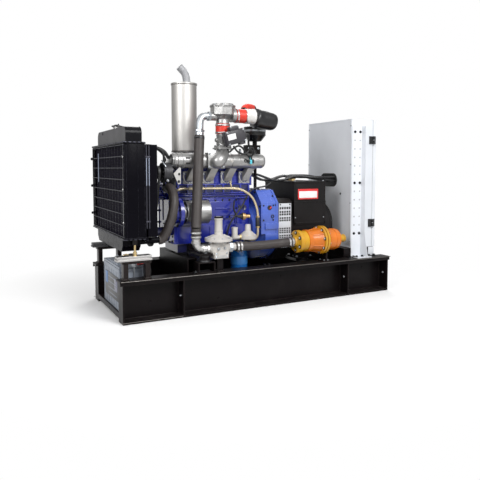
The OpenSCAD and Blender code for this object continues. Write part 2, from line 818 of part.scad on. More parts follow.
// Plated steel pipe along the block, bent down at the flywheel end.
module coolant_rail() {
    y1 = 126;
    route = [
        [case_x + 12, crank_y - 162, deck_z - 22], [case_x + 22, crank_y - 172, deck_z - 20],
        [case_x + 50, 194, deck_z - 14], [block_x + 200, 190, deck_z - 14], [block_x + 330, 176, deck_z - 14],
        [block_x + 424, 158, deck_z - 22], [block_x + 500, 138, deck_z - 74], [block_x + 534, y1, deck_z - 160],
        [block_x + 538, y1, deck_z - 250], [block_x + 538, y1, deck_z - 326], [block_x + 520, y1 + 6, deck_z - 358],
        [block_x + 494, y1 + 34, deck_z - 362], [block_x + 488, crank_y - skirt_w / 2 - 18, deck_z - 360]
    ];
    color([0.62, 0.52, 0.30])
        sweep(led([case_x + 12, crank_y - case_half, deck_z - 22], route,
            [block_x + 488, crank_y - skirt_w / 2, deck_z - 360], 4), 9, [1, 0.2, 1], 10);
}

module oil_filter() {
    color([0.06, 0.20, 0.52]) {
        rod_z([filter_x0(), filter_y(), skirt_z - 44 - oil_filter_h], filter_d / 2, oil_filter_h - 12);
        rod_z([filter_x0(), filter_y(), skirt_z - 56], filter_d / 2 - 12, 12);
        rod_z([filter_x0(), filter_y(), skirt_z - 44], 40, 50);
    }
}

function filter_y() = crank_y - skirt_w / 2 - filter_d / 2 - 2;

module flywheel_housing() {
    color([0.12, 0.16, 0.62]) {
        rod_x([bell_x, crank_y, crank_z], 170, 20);
        translate([bell_x + 18, crank_y, crank_z]) rotate([0, 90, 0]) cylinder(r1 = 170, r2 = bell_r - 6, h = 42);
        rod_x([bell_x + 60, crank_y, crank_z], bell_r - 6, bell_l - 82);
        rod_x([bell_x + bell_l - 22, crank_y, crank_z], bell_r, 22);
        translate([bell_x + 30, crank_y, crank_z]) rotate([90, 0, 90]) linear_extrude(bell_l - 30)
            polygon([
                [-bell_r, -30], [bell_r, -30], [bell_r, 182], [bell_r - 78, bell_top - crank_z],
                [78 - bell_r, bell_top - crank_z], [-bell_r, 182]
            ]);
        rod_x([bell_x - 150, crank_y + 190, crank_z + 104], 40, 200);
        rod_x([bell_x - 120, crank_y + 176, crank_z + 168], 26, 170);
        both_sides() block([bell_x + 60, crank_y - bell_r - 8, crank_z - 90],
            [bell_x + bell_l - 4, crank_y - 150, crank_z - 30]);
    }
}

module lower_coolant_hose() {
    a = outlet_end;
    b = pump_inlet + pump_reach;
    route = [
        a + 12 * unit(outlet_end - outlet_root), a + [30, -6, 18], a + [56, -14, 72], a + [82, -16, 150],
        a + [98, -4, 228], a + [104, 40, 284], a + [106, 100, b[2] - a[2] + 10], b + 24 * unit(pump_reach)
    ];
    color([0.24, 0.22, 0.21]) sweep(led(a, route, b, 4), 29, [1, 0, -0.3], 14);
}

// Hose from the back of the top tank to the far side of the head's front.
module upper_coolant_hose() {
    z1 = core_top + header_t + tank_h * 0.5;
    y0 = crank_y + 120;
    a = [tank_x + tank_d, y0, z1];
    b = [block_x + 10, crank_y + 60, deck_z + 50];
    route = [
        a + [20, 0, 0], a + [54, 0, -2], a + [130, -6, -40], [case_x - 44, y0 - 44, deck_z + 96],
        b + [-34, 2, 4], b + [-16, 0, 0]
    ];
    color([0.24, 0.22, 0.21]) sweep(led(a, route, b, 4), 27, [0, 1, 0], 14);
}

module gas_riser_hose() {
    color([0.26, 0.23, 0.22]) rod(riser_knee + 10 * riser_way, riser_top, gas_hose_d / 2);
}

// Threaded elbow from the riser's top to the mixer.
module gas_upper_elbow() {
    mouth = [stack_x - mixer_r - 6, stack_y, gas_in_z];
    color([0.74, 0.76, 0.78]) {
        rod(riser_top, riser_top + 18 * riser_way, elbow_r + 3);
        sweep(led(riser_top + 8 * riser_way, [
            riser_top + 28 * riser_way, [riser_top[0] + 6, stack_y - 5, gas_in_z - 51],
            [riser_top[0] + 12, stack_y - 1, gas_in_z - 25], [riser_top[0] + 25, stack_y, gas_in_z - 8],
            mouth - [34, 0, 0], mouth - [22, 0, 0]
        ], mouth - [8, 0, 0], 3), elbow_r, [0, 1, 0], 16);
        rod_x(mouth - [16, 0, 0], elbow_r + 3, 16);
    }
}

module gas_lower_elbow() {
    color([0.76, 0.77, 0.78]) {
        rod_z([riser_x, gas_y, gas_z], elbow_r, riser_knee[2] - gas_z);
        rod(riser_knee - 10 * riser_way, riser_knee + 10 * riser_way, elbow_r + 3);
        translate([riser_x, gas_y, gas_z]) sphere(r = elbow_r + 4);
        rod_x([riser_x, gas_y, gas_z], elbow_r, reg_x - reg_half - riser_x);
    }
}

module gas_regulator() {
    color([0.72, 0.70, 0.66]) {
        block([reg_x - reg_half, gas_y - 40, gas_z - 36], [reg_x + reg_half, gas_y + 40, gas_z + 30]);
        block([reg_x - 48, gas_y - 48, reg_low], [reg_x + 48, gas_y + 48, gas_z - 20]);
        rod_z([reg_x, gas_y, gas_z + 20], reg_half - 2, 24);
        translate([reg_x, gas_y, gas_z + 44]) cylinder(r1 = reg_r - 10, r2 = reg_r, h = 10);
        rod_z([reg_x, gas_y, gas_z + 54], reg_r, 10);
        translate([reg_x, gas_y, gas_z + 64]) cylinder(r1 = reg_r - 8, r2 = 30, h = 22);
        rod_z([reg_x, gas_y, gas_z + 80], 25, 112);
        rod_z([reg_x, gas_y, gas_z + 190], 20, 10);
        rod_x([reg_x + reg_half, gas_y, gas_z], elbow_r, reg_pipe);
        block([reg_x - 20, gas_y - 24, skid_h], [reg_x + 20, gas_y - 18, reg_low]);
        block([reg_x - 24, gas_y - 40, skid_h], [reg_x + 24, gas_y + 20, skid_h + 6]);
    }
}

module zero_regulator() {
    x = block_x + 452;
    y = 105;
    z = gas_z + 38;
    color([0.70, 0.67, 0.60]) {
        rod_z([x, y, z], 59, 24);
        translate([x, y, z + 24]) cylinder(r1 = 56, r2 = 24, h = 28);
        rod_z([x, y, z + 50], 18, 44);
        rod_x([x - 116, y, z + 12], 14, 80);
        rod_z([x - 98, y, z + 8], 20, 72);
        rod_y([x + 28, y + 44, z + 12], 11, crank_y - skirt_w / 2 - y - 44);
    }
}

module gas_supply_hose() {
    a = [reg_x + reg_half + reg_pipe, gas_y, gas_z];
    b = [arrester_x - arrester_stub, arrester_y, arrester_z];
    route = [
        a + [14, 0, 0], a + [50, 0, -1], a + [150, 2, -5], a + [300, 8, -3], b + [-50, -1, -1], b + [-14, 0, 0]
    ];
    color([0.26, 0.23, 0.22]) sweep(led(a, route, b, 4), gas_hose_d / 2 - 2, [0, 1, 0], 14);
}

// Flanged arrester with its support plate and the gas inlet nozzle.
module flame_arrester() {
    c = [arrester_x, arrester_y, arrester_z];
    color([0.86, 0.48, 0.06]) {
        rod_x(c - [arrester_stub, 0, 0], 24, arrester_stub);
        rod_x(c, 76, 26);
        rod_x(c + [26, 0, 0], 70, 74);
        rod_x(c + [70, 0, 0], 76, 30);
        translate(c + [100, 0, 0]) rotate([0, 90, 0]) cylinder(r1 = 70, r2 = 84, h = 84);
        rod_x([flange_x, arrester_y, arrester_z], arrester_r, 18);
        rod_x([flange_x + 22, arrester_y, arrester_z], arrester_r, 18);
        rod_x([flange_x + 10, arrester_y, arrester_z], arrester_r - 24, 30);
        rod_x([flange_x + 40, arrester_y, arrester_z], 74, 96);
        rod_x([flange_x + 130, arrester_y, arrester_z], 70, 22);
        difference() {
            rod_x([flange_x + 150, arrester_y, arrester_z], inlet_r, nozzle_l);
            rod_x([flange_x + 160, arrester_y, arrester_z], inlet_r - 5, nozzle_l);
        }
        block([flange_x + 40, arrester_y - 46, skid_h], [flange_x + 48, arrester_y + 46, arrester_z]);
        block([flange_x + 20, arrester_y - 46, skid_h], [flange_x + 76, arrester_y + 34, skid_h + 6]);
    }
}

module generator_barrel() {
    color([0.06, 0.06, 0.07]) {
        rod_x([barrel_x, crank_y, crank_z], barrel_r, barrel_l);
        rod_x([barrel_x1, crank_y, crank_z], barrel_r - 30, 34);
    }
}

// Drive end housing with flat louvred sides.
module generator_drive_end() {
    half = 226;
    cut = 92;
    near_top = 182;
    top = 204;
    color([0.30, 0.30, 0.31])
        translate([gen_x, crank_y, crank_z]) rotate([90, 0, 90]) linear_extrude(drive_l)
            polygon([
                [-half, -half + cut], [-half + cut, -half], [half - cut, -half], [half, -half + cut],
                [half, near_top], [half - 40, top], [40 - half, top], [-half, near_top]
            ]);
}

// Feet of the generator on rubber mounts.
module generator_supports() {
    foot_z = crank_z - 212;
    beam_top = skid_h - 6;
    x0 = barrel_x + 60;
    color([0.09, 0.09, 0.10]) both_sides() {
        difference() {
            block([x0, crank_y - 170, foot_z], [x0 + 120, crank_y - 110, foot_z + 90]);
            rod_x([x0 - 1, crank_y, crank_z], barrel_r + eps, 130);
        }
        block([x0 - 10, crank_y - 215, foot_z - 10], [x0 + 130, crank_y - 90, foot_z]);
        rod_z([x0 + 60, crank_y - 172, beam_top], 40, foot_z - 10 - beam_top);
    }
}

// Saddle-shaped box over the barrel.
module terminal_box() {
    color([0.07, 0.07, 0.08]) difference() {
        block([box_x, box_y0, box_low], [box_x + box_l, box_y1, box_top]);
        rod_x([box_x - 1, crank_y, crank_z], barrel_r + eps, box_l + 2);
        block([box_x - 1, box_y0 + 30, crank_z], [box_x + box_l + 1, box_y1 - 30, crank_z + 100]);
    }
}

// Four cables from the terminal box and three looms from the engine into the cabinet.
module power_cables() {
    end_x = cab_x + 42;
    z_in = slot_z + slot_h * 0.45;
    color([0.05, 0.05, 0.05]) {
        for (i = [0 : 3]) {
            y = slot_y0 + 34 + 34 * i;
            sweep(led([box_x + 70, y - 20, box_top], [
                [box_x + 70, y - 20, box_top + 12], [box_x + 84, y - 19, box_top + 30],
                [box_x + 120, y - 12, box_top + 38], [box_x + 210, y - 4, box_top + 36],
                [box_x + 330, y, box_top + 16], [cab_x - 30, y, z_in], [end_x - 20, y, z_in - 4]
            ], [end_x, y, z_in - 4], 3), cable_r, [0, 1, 0], 8);
        }
        for (path = loom_paths) sweep(led(
            [block_x1 - 10, path[0], deck_z + path[3]], [
                [block_x1 + 14, path[0], deck_z + path[3]], [block_x1 + 110, path[0], deck_z + 74],
                [gen_x + 36, path[1] - 2, box_top + 10], [box_x - 16, path[1], box_top + 13],
                [box_x + 80, path[1], box_top + 36], [box_x + 230, path[1], box_top + 26],
                [cab_x - 60, path[2], slot_z + 66], [end_x - 20, path[2], slot_z + 66]
            ], [end_x, path[2], slot_z + 66], 3), loom_r, [0, 1, 0], 8);
    }
}

// Sheet box with the cable slot and the fixed halves of the two hinges.
module cabinet_shell() {
    color([0.86, 0.86, 0.85]) {
        difference() {
            block([cab_x, cab_y0, cab_z], [door_x - door_gap, cab_y1, cab_z1]);
            block([cab_x + sheet_t, cab_y0 + sheet_t, cab_z + sheet_t],
                [door_x, cab_y1 - sheet_t, cab_z1 - sheet_t]);
            translate([cab_x - 1, 0, 0]) rotate([90, 0, 90]) linear_extrude(sheet_t + 2) union() {
                translate([slot_y0 + slot_h / 2, slot_z]) square([slot_w - slot_h, slot_h]);
                for (y = [slot_y0 + slot_h / 2, slot_y0 + slot_w - slot_h / 2])
                    translate([y, slot_z + slot_h / 2]) circle(slot_h / 2);
            }
        }
        for (z = hinge_heights) {
            block([hinge_x - 22, cab_y0 - 5, z - 34], [hinge_x - 2, cab_y0, z - 3]);
            rod_z([hinge_x, hinge_y, z - 34], hinge_r, 31);
            block([hinge_x - 6, hinge_y, z - 34], [hinge_x - 3, cab_y0 - 4, z - 3]);
        }
    }
}

// Mounting plate on two rails with the power terminals and the switchgear.
module cabinet_gear() {
    x = cab_x + plate_inset;
    y0 = cab_y0 + sheet_t;
    y1 = cab_y1 - sheet_t;
    z0 = cab_z + 40;
    color([0.78, 0.80, 0.80]) {
        block([x, y0 + 14, z0], [x + 3, y1 - 14, cab_z1 - 40]);
        for (y = [y0, y1 - 14]) block([x, y, z0], [x + 14, y + 14, cab_z1 - 40]);
        block([x - 16, slot_y0 - 4, slot_z - 10], [x + 1, slot_y0 + slot_w + 4, slot_z + slot_h]);
        block([x + 3, mid_y - 200, cab_z1 - 330], [x + 93, mid_y - 40, cab_z1 - 110]);
        block([x + 3, mid_y + 10, cab_z1 - 300], [x + 73, mid_y + 190, cab_z1 - 130]);
        block([x + 3, mid_y - 210, cab_z + 300], [x + 23, mid_y + 210, cab_z + 335]);
        block([x + 3, mid_y - 170, cab_z + 120], [x + 63, mid_y - 70, cab_z + 240]);
        block([x + 3, mid_y + 20, cab_z + 120], [x + 63, mid_y + 160, cab_z + 220]);
    }
}

// Pan door with its rim turned in, the moving halves of the hinges and two locks.
module cabinet_door() {
    rim = 2.5;
    color([0.88, 0.88, 0.87]) {
        difference() {
            block([door_x, cab_y0, cab_z], [cab_x1, cab_y1, cab_z1]);
            block([door_x - 1, cab_y0 + rim, cab_z + rim], [cab_x1 - rim, cab_y1 - rim, cab_z1 - rim]);
        }
        for (z = hinge_heights) {
            block([hinge_x + 2.5, cab_y0 - 5, z], [hinge_x + 22, cab_y0, z + 31]);
            rod_z([hinge_x, hinge_y, z], hinge_r, 31);
            block([hinge_x + 2.5, hinge_y, z], [hinge_x + 6, cab_y0 - 4, z + 31]);
        }
        for (z = [cab_z + cab_h * 0.22, cab_z + cab_h * 0.78]) rod_x([cab_x1 - 1, cab_y1 - 34, z], 13, 9);
    }
}

// Angle upright with a flared foot on each side of the cabinet.
module cabinet_stands() {
    x0 = cab_x + 2;
    x1 = x0 + stand_w;
    color([0.88, 0.88, 0.87]) both_sides() {
        block([x0, cab_y0 - stand_t, skid_h], [x1, cab_y0, stand_top]);
        translate([x1 - stand_t, 0, 0]) rotate([90, 0, 90]) linear_extrude(stand_t)
            polygon([
                [cab_y0, skid_h], [cab_y0, stand_top], [cab_y0 - stand_out, stand_top],
                [cab_y0 - stand_out, flare_z], [cab_y0 - foot_out, skid_h]
            ]);
        block([x0, cab_y0 - foot_out, skid_h], [x1 + 36, cab_y0, skid_h + 6]);
    }
}

placed() skid_near_beam();
placed() skid_far_beam();
placed() skid_cross_members();
placed() battery_tray();
placed() cabinet_plinth();
placed() radiator_core();
placed() radiator_frame();
placed() radiator_top_tank();
placed() radiator_bottom_tank();
placed() radiator_guard();
placed() filler_cap();
placed() radiator_mounts();
placed() fan_shroud();
placed() fan();
placed() crank_pulley();
placed() drive_belt();
placed() charging_dynamo();
placed() water_pump();
placed() battery();
placed() engine_block();
placed() cylinder_head();
placed() valve_cover();
placed() oil_sump();
placed() gear_case();
placed() drive_housing();
placed() engine_mounts();
placed() intake_manifold();
placed() intake_elbow();
placed() throttle_body();
placed() throttle_actuator();
placed() charge_hoses();
placed() gas_mixer();
placed() filter_adapter();
placed() air_filter();
placed() air_cleaner_bowl();
placed() cleaner_post();
placed() exhaust_manifold();
placed() silencer();
placed() tail_pipe();
placed() coolant_rail();
placed() oil_filter();
placed() flywheel_housing();
placed() lower_coolant_hose();
placed() upper_coolant_hose();
placed() gas_riser_hose();
placed() gas_upper_elbow();
placed() gas_lower_elbow();
placed() gas_regulator();
placed() zero_regulator();
placed() gas_supply_hose();
placed() flame_arrester();
placed() generator_barrel();
placed() generator_drive_end();
placed() generator_supports();
placed() terminal_box();
placed() power_cables();
placed() cabinet_shell();
placed() cabinet_gear();
placed() cabinet_door();
placed() cabinet_stands();
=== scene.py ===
"""Looks of an open gas engine generating set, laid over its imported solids.

Places are given in millimetres from the skid's near corner at the radiator's end: x along the skid,
y from the near side to the far side, z up. Site turns them into the frame's metres. The axes below are
(y, z) pairs, and BORES are the four cylinders' places along the skid.
"""
from __future__ import annotations

import json
import logging
import math
from dataclasses import dataclass
from enum import Enum
from typing import Iterable, Sequence

import bmesh
import bpy
from mathutils import Matrix, Vector

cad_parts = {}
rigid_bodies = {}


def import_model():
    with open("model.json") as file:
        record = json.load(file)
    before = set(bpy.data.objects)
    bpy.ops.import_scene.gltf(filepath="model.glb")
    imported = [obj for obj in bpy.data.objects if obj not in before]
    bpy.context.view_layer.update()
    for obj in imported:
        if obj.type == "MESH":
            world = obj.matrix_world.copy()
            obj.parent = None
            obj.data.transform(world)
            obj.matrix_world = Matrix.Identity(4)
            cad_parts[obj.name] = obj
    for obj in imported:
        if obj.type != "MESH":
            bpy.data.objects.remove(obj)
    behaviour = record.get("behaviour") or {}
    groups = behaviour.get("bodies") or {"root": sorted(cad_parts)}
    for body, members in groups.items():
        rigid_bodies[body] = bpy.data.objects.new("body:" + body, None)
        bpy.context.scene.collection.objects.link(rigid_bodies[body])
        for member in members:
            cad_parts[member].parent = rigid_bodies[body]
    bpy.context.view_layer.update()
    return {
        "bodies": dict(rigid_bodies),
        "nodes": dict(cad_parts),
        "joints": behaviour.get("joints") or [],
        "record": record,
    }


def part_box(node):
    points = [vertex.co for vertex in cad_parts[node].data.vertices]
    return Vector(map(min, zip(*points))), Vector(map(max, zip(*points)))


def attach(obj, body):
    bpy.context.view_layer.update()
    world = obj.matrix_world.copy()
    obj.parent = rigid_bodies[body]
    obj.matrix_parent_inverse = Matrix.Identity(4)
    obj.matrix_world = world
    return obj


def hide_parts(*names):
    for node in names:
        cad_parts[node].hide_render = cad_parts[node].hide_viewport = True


log = logging.getLogger("generating_set")

Point = tuple[float, float, float]
Colour = tuple[float, float, float]
SET, FAN, CRANK, DOOR = "set", "fan", "crank", "door"
MM = 0.001
DECK = 256.0
CRANK_AXIS = (368.0, 490.0)
FAN_AXIS = (368.0, 760.0)
DYNAMO_AXIS = (196.0, 882.0)
SIDE_DRIVE_AXIS = (176.0, 628.0)
GAS_AXIS = (48.0, 405.0)
BORES = (511.8, 646.8, 781.8, 916.8)
SMOOTH_ANGLE = 38.0


class Axis(Enum):
    """Direction along which a form is built."""

    X = (1.0, 0.0, 0.0)
    Y = (0.0, 1.0, 0.0)
    Z = (0.0, 0.0, 1.0)


class Site:
    """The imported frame, read in millimetres from the skid's near corner."""

    def __init__(self) -> None:
        """Find the skid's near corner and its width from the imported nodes."""
        near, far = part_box("skid_near_beam"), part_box("skid_far_beam")
        self.corner = Vector((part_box("battery_tray")[0].x, near[0].y, 0.0))
        self.width = (far[1].y - near[0].y) / MM
        self.middle = self.width / 2

    def low(self, node: str) -> Vector:
        """Lowest corner of a node, in millimetres."""
        return (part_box(node)[0] - self.corner) / MM

    def high(self, node: str) -> Vector:
        """Highest corner of a node, in millimetres."""
        return (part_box(node)[1] - self.corner) / MM

    def corners(self, node: str) -> tuple[Vector, Vector]:
        """Lowest and highest corner of a node, in millimetres."""
        return self.low(node), self.high(node)

    def metres(self, point: Sequence[float]) -> Vector:
        """Place of a point of the skid in the frame, in metres."""
        return self.corner + Vector(point) * MM


class Signal:
    """An output socket that takes part in sums."""

    def __init__(self, recipe: "Recipe", socket: bpy.types.NodeSocket) -> None:
        """Keep the recipe that the socket belongs to."""
        self.recipe = recipe
        self.socket = socket

    def _join(self, operation: str, first: object, second: object) -> "Signal":
        """Add one Math node and return its value."""
        node = self.recipe.node("ShaderNodeMath", {"operation": operation}, {0: first, 1: second})
        return Signal(self.recipe, node.outputs[0])

    def __add__(self, other: "Signal | float") -> "Signal":
        """Sum."""
        return self._join("ADD", self, other)

    __radd__ = __add__

    def __mul__(self, other: "Signal | float") -> "Signal":
        """Product."""
        return self._join("MULTIPLY", self, other)

    __rmul__ = __mul__

    def __sub__(self, other: "Signal | float") -> "Signal":
        """Difference."""
        return self._join("SUBTRACT", self, other)

    def __rsub__(self, other: float) -> "Signal":
        """Difference from a number."""
        return self._join("SUBTRACT", other, self)

    def most(self, other: "Signal | float") -> "Signal":
        """The larger of the two."""
        return self._join("MAXIMUM", self, other)


class Recipe:
    """Node tree of one finish, or of the world, while it is put together."""

    def __init__(self, name: str, world: bool = False) -> None:
        """Start an empty material or world."""
        self.material = (bpy.data.worlds if world else bpy.data.materials).new(name)
        self.material.use_nodes = True
        self.tree = self.material.node_tree
        self.tree.nodes.clear()

    def node(self, kind: str, settings: dict | None = None, inputs: dict | None = None) -> bpy.types.Node:
        """Add one node.

        Args:
            kind: Blender's name for the node's type.
            settings: properties of the node.
            inputs: values, sockets or signals for its input sockets, by name or number.

        Returns:
            The new node.
        """
        node = self.tree.nodes.new(kind)
        for key, value in (settings or {}).items():
            setattr(node, key, value)
        for key, value in (inputs or {}).items():
            self._feed(node.inputs[key], value)
        return node

    def _feed(self, entry: bpy.types.NodeSocket, value: object) -> None:
        """Give an input socket what it reads.

        Args:
            entry: the input socket.
            value: a signal or a socket to link to it, or a plain value.
        """
        if isinstance(value, Signal):
            value = value.socket
        if isinstance(value, bpy.types.NodeSocket):
            self.tree.links.new(value, entry)
        else:
            entry.default_value = value

    def place(self, stretch: Point = (1.0, 1.0, 1.0)) -> bpy.types.NodeSocket:
        """Object coordinates in metres.

        Args:
            stretch: scale along each axis.

        Returns:
            The socket with the coordinates.
        """
        source = self.node("ShaderNodeTexCoord").outputs["Object"]
        mapping = self.node("ShaderNodeMapping", {}, {"Vector": source, "Scale": stretch})
        return mapping.outputs[0]

    def noise(self, scale: float, detail: float = 2.0, rough: float = 0.5,
              stretch: Point = (1.0, 1.0, 1.0)) -> Signal:
        """Noise from 0 to 1.

        Args:
            scale: waves in a metre.
            detail: octaves.
            rough: weight of the finer octaves.
            stretch: scale along each axis.

        Returns:
            The noise value.
        """
        node = self.node("ShaderNodeTexNoise", {}, {
            "Vector": self.place(stretch), "Scale": scale, "Detail": detail, "Roughness": rough})
        return Signal(self, node.outputs[0])

    def rises(self, value: Signal, low: float, high: float) -> Signal:
        """Value mapped to the range from 0 to 1, and held there.

        Args:
            value: the value.
            low: what becomes 0.
            high: what becomes 1.

        Returns:
            The mapped value.
        """
        node = self.node("ShaderNodeMapRange", {"clamp": True}, {
            "Value": value, "From Min": low, "From Max": high})
        return Signal(self, node.outputs[0])

    def mix(self, factor: Signal | float, first: object, second: object) -> bpy.types.NodeSocket:
        """Blend of two colours.

        Args:
            factor: share of the second colour.
            first: the first colour, a socket or three numbers.
            second: the second colour.

        Returns:
            The socket with the blend.
        """
        node = self.node("ShaderNodeMix", {"data_type": "RGBA"})
        for key, value in ((0, factor), (6, first), (7, second)):
            self._feed(node.inputs[key], (*value, 1.0) if isinstance(value, tuple) else value)
        return node.outputs[2]

    def upward(self) -> Signal:
        """Find how far the surface faces up.

        Returns:
            A value from -1 to 1.
        """
        geometry = self.node("ShaderNodeNewGeometry")
        split = self.node("ShaderNodeSeparateXYZ", {}, {0: geometry.outputs["Normal"]})
        return Signal(self, split.outputs["Z"])

    def soft_edges(self, radius: float) -> bpy.types.NodeSocket:
        """Normal that rounds the edges by a radius in metres."""
        return self.node("ShaderNodeBevel", {"samples": 4}, {"Radius": radius}).outputs[0]

    def rub_and_sheen(self, normal: bpy.types.NodeSocket) -> Signal:
        """Uneven mask along the edges, where the rounded normal leaves the flat one, for rubbed wear and for
        a painted edge highlight.

        Args:
            normal: the rounded normal.

        Returns:
            A value from 0 to 1.
        """
        flat = self.node("ShaderNodeNewGeometry").outputs["Normal"]
        dot = self.node("ShaderNodeVectorMath", {"operation": "DOT_PRODUCT"}, {0: normal, 1: flat})
        return (self.rises(1.0 - Signal(self, dot.outputs["Value"]), 0.01, 0.16)
                * self.rises(self.noise(48.0, 5.0, 0.7), 0.36, 0.62))

    def rays(self) -> tuple[Signal, Signal]:
        """Tell the kinds of rays apart.

        Returns:
            1 where the camera looks, straight or through glass, and 1 where gloss does.
        """
        path = self.node("ShaderNodeLightPath")
        camera, through, gloss = (
            Signal(self, path.outputs[f"Is {kind} Ray"]) for kind in ("Camera", "Transmission", "Glossy"))
        return camera.most(through), gloss

    def bump(self, height: Signal, strength: float, distance: float,
             normal: bpy.types.NodeSocket | None = None) -> bpy.types.NodeSocket:
        """Normal raised by a height.

        Args:
            height: height from 0 to 1.
            strength: share of the relief that is used.
            distance: depth of the relief in metres.
            normal: normal that the relief lies on.

        Returns:
            The new normal.
        """
        inputs = {"Height": height, "Strength": strength, "Distance": distance}
        if normal is not None:
            inputs["Normal"] = normal
        return self.node("ShaderNodeBump", {}, inputs).outputs[0]

    def shader(self, **inputs: object) -> bpy.types.NodeSocket:
        """Principled shader.

        Args:
            inputs: values, sockets or signals by the input's name, with _ for a space.

        Returns:
            The shader's output.
        """
        named = {key.replace("_", " ").title().replace("Ior", "IOR"): value for key, value in inputs.items()}
        named = {key: (*value, 1.0) if isinstance(value, tuple) and len(value) == 3 else value
                 for key, value in named.items()}
        return self.node("ShaderNodeBsdfPrincipled", {}, named).outputs[0]

    def close(self, **inputs: object) -> bpy.types.Material:
        """Add the shader with these inputs and end the material."""
        self.node("ShaderNodeOutputMaterial", {}, {"Surface": self.shader(**inputs)})
        return self.material


def shade(colour: Colour, factor: float) -> Colour:
    """A colour made darker or lighter."""
    return tuple(min(1.0, part * factor) for part in colour)


@dataclass(frozen=True)
class Finish:
    """What all finishes share: a name, the record's slot and a colour."""

    name: str
    slot: str
    colour: Colour

    def build(self) -> bpy.types.Material:
        """Make the material.

        Returns:
            The new material.
        """
        raise NotImplementedError


@dataclass(frozen=True)
class Paint(Finish):
    """Sprayed paint with orange peel, a film of dust on top, a mottled tone, and edges that are partly worn
    and partly lit by a painted highlight.
    """

    rough: float = 0.3
    coat: float = 0.5
    peel: float = 0.25
    dust: float = 0.25
    dust_colour: Colour = (0.42, 0.38, 0.34)
    edge: float = 0.0015
    specular: float = 0.5
    mottle: float = 0.15
    wear_and_sheen: float = 0.35
    wear_and_sheen_colour: Colour = (0.10, 0.085, 0.08)

    def build(self) -> bpy.types.Material:
        """Make the material.

        Returns:
            The new material.
        """
        r = Recipe(self.name)
        cloud = r.noise(7.0, 4.0, 0.55)
        tone = r.mix(r.rises(cloud, 0.35, 0.7), shade(self.colour, 1 - self.mottle),
                     shade(self.colour, 1 + self.mottle))
        settled = r.rises(r.upward(), 0.55, 1.0) * r.rises(r.noise(24.0, 5.0, 0.65), 0.38, 0.75) * self.dust
        smudge = r.rises(r.noise(3.2, 6.0, 0.7), 0.55, 0.8) * (self.dust * 0.35)
        dirt = settled + smudge
        soft = r.soft_edges(self.edge)
        # Edges mixed towards the edge colour: darker wear on the pale paints, and on the black and blue
        # paints a lighter colour that is partly wear and partly a painted edge highlight.
        worn = r.rub_and_sheen(soft) * self.wear_and_sheen
        colour = r.mix(worn, r.mix(dirt, tone, self.dust_colour), self.wear_and_sheen_colour)
        normal = r.bump(r.noise(420.0, 1.0), self.peel, 0.0006, soft)
        rough = r.rises(r.noise(16.0, 4.0, 0.6), 0.2, 0.9) * 0.14 + (self.rough - 0.05) + dirt * 0.4
        return r.close(base_color=colour, roughness=rough, normal=normal, coat_weight=self.coat,
                       coat_roughness=0.12, specular_ior_level=self.specular)


@dataclass(frozen=True)
class Cast(Finish):
    """Sand-cast metal with a fine grain, darker stains at random, and lighter edges that are partly rubbed
    and partly a painted highlight.
    """

    rough: float = 0.42
    metal: float = 0.75
    grain: float = 0.5
    stain: float = 0.25
    edge: float = 0.0025

    def build(self) -> bpy.types.Material:
        """Make the material.

        Returns:
            The new material.
        """
        r = Recipe(self.name)
        cloud = r.rises(r.noise(13.0, 5.0, 0.6), 0.3, 0.75)
        tone = r.mix(cloud, shade(self.colour, 0.8), shade(self.colour, 1.1))
        stain = r.rises(r.noise(34.0, 4.0, 0.7), 0.58, 0.8) * self.stain
        soft = r.soft_edges(self.edge)
        # Edges lightened to 1.5 times the colour: partly rubbed metal and partly a painted highlight.
        colour = r.mix(r.rub_and_sheen(soft) * 0.5, r.mix(stain, tone, shade(self.colour, 0.35)),
                       shade(self.colour, 1.5))
        normal = r.bump(r.noise(900.0, 2.0, 0.6), self.grain, 0.0007, soft)
        rough = r.rises(r.noise(40.0, 3.0), 0.2, 0.9) * 0.2 + (self.rough - 0.08)
        return r.close(base_color=colour, roughness=rough, metallic=self.metal, normal=normal)


@dataclass(frozen=True)
class Plated(Finish):
    """Plated or bare metal with a spangle and dull patches."""

    rough: float = 0.26
    spangle: float = 60.0
    dull: float = 0.3
    edge: float = 0.001

    def build(self) -> bpy.types.Material:
        """Make the material.

        Returns:
            The new material.
        """
        r = Recipe(self.name)
        cells = r.node("ShaderNodeTexVoronoi", {}, {"Vector": r.place(), "Scale": self.spangle})
        flake = r.rises(Signal(r, cells.outputs["Distance"]), 0.1, 0.8)
        tone = r.mix(flake, shade(self.colour, 1.08), shade(self.colour, 0.86))
        worn = r.rises(r.noise(26.0, 5.0, 0.65), 0.5, 0.78) * self.dull
        colour = r.mix(worn, tone, shade(self.colour, 0.5))
        rough = worn * 0.6 + flake * 0.08 + self.rough
        normal = r.bump(r.noise(160.0, 2.0), 0.05, 0.0004, r.soft_edges(self.edge))
        return r.close(base_color=colour, roughness=rough, metallic=1.0, normal=normal)


@dataclass(frozen=True)
class Rubber(Finish):
    """Rubber or silicone with a fabric lay and scuffs."""

    rough: float = 0.62
    lay: float = 0.35
    lay_scale: float = 260.0
    scuff: float = 0.3

    def build(self) -> bpy.types.Material:
        """Make the material.

        Returns:
            The new material.
        """
        r = Recipe(self.name)
        scuff = r.rises(r.noise(22.0, 6.0, 0.7), 0.5, 0.82) * self.scuff
        tone = r.mix(r.rises(r.noise(5.0, 3.0), 0.3, 0.7), shade(self.colour, 0.86), shade(self.colour, 1.12))
        colour = r.mix(scuff, tone, tuple(min(1.0, part + 0.16) for part in self.colour))
        weave = r.noise(self.lay_scale, 2.0, 0.6, (1.0, 1.0, 0.35))
        normal = r.bump(weave, self.lay, 0.0008)
        return r.close(base_color=colour, roughness=scuff * 0.2 + self.rough, normal=normal)


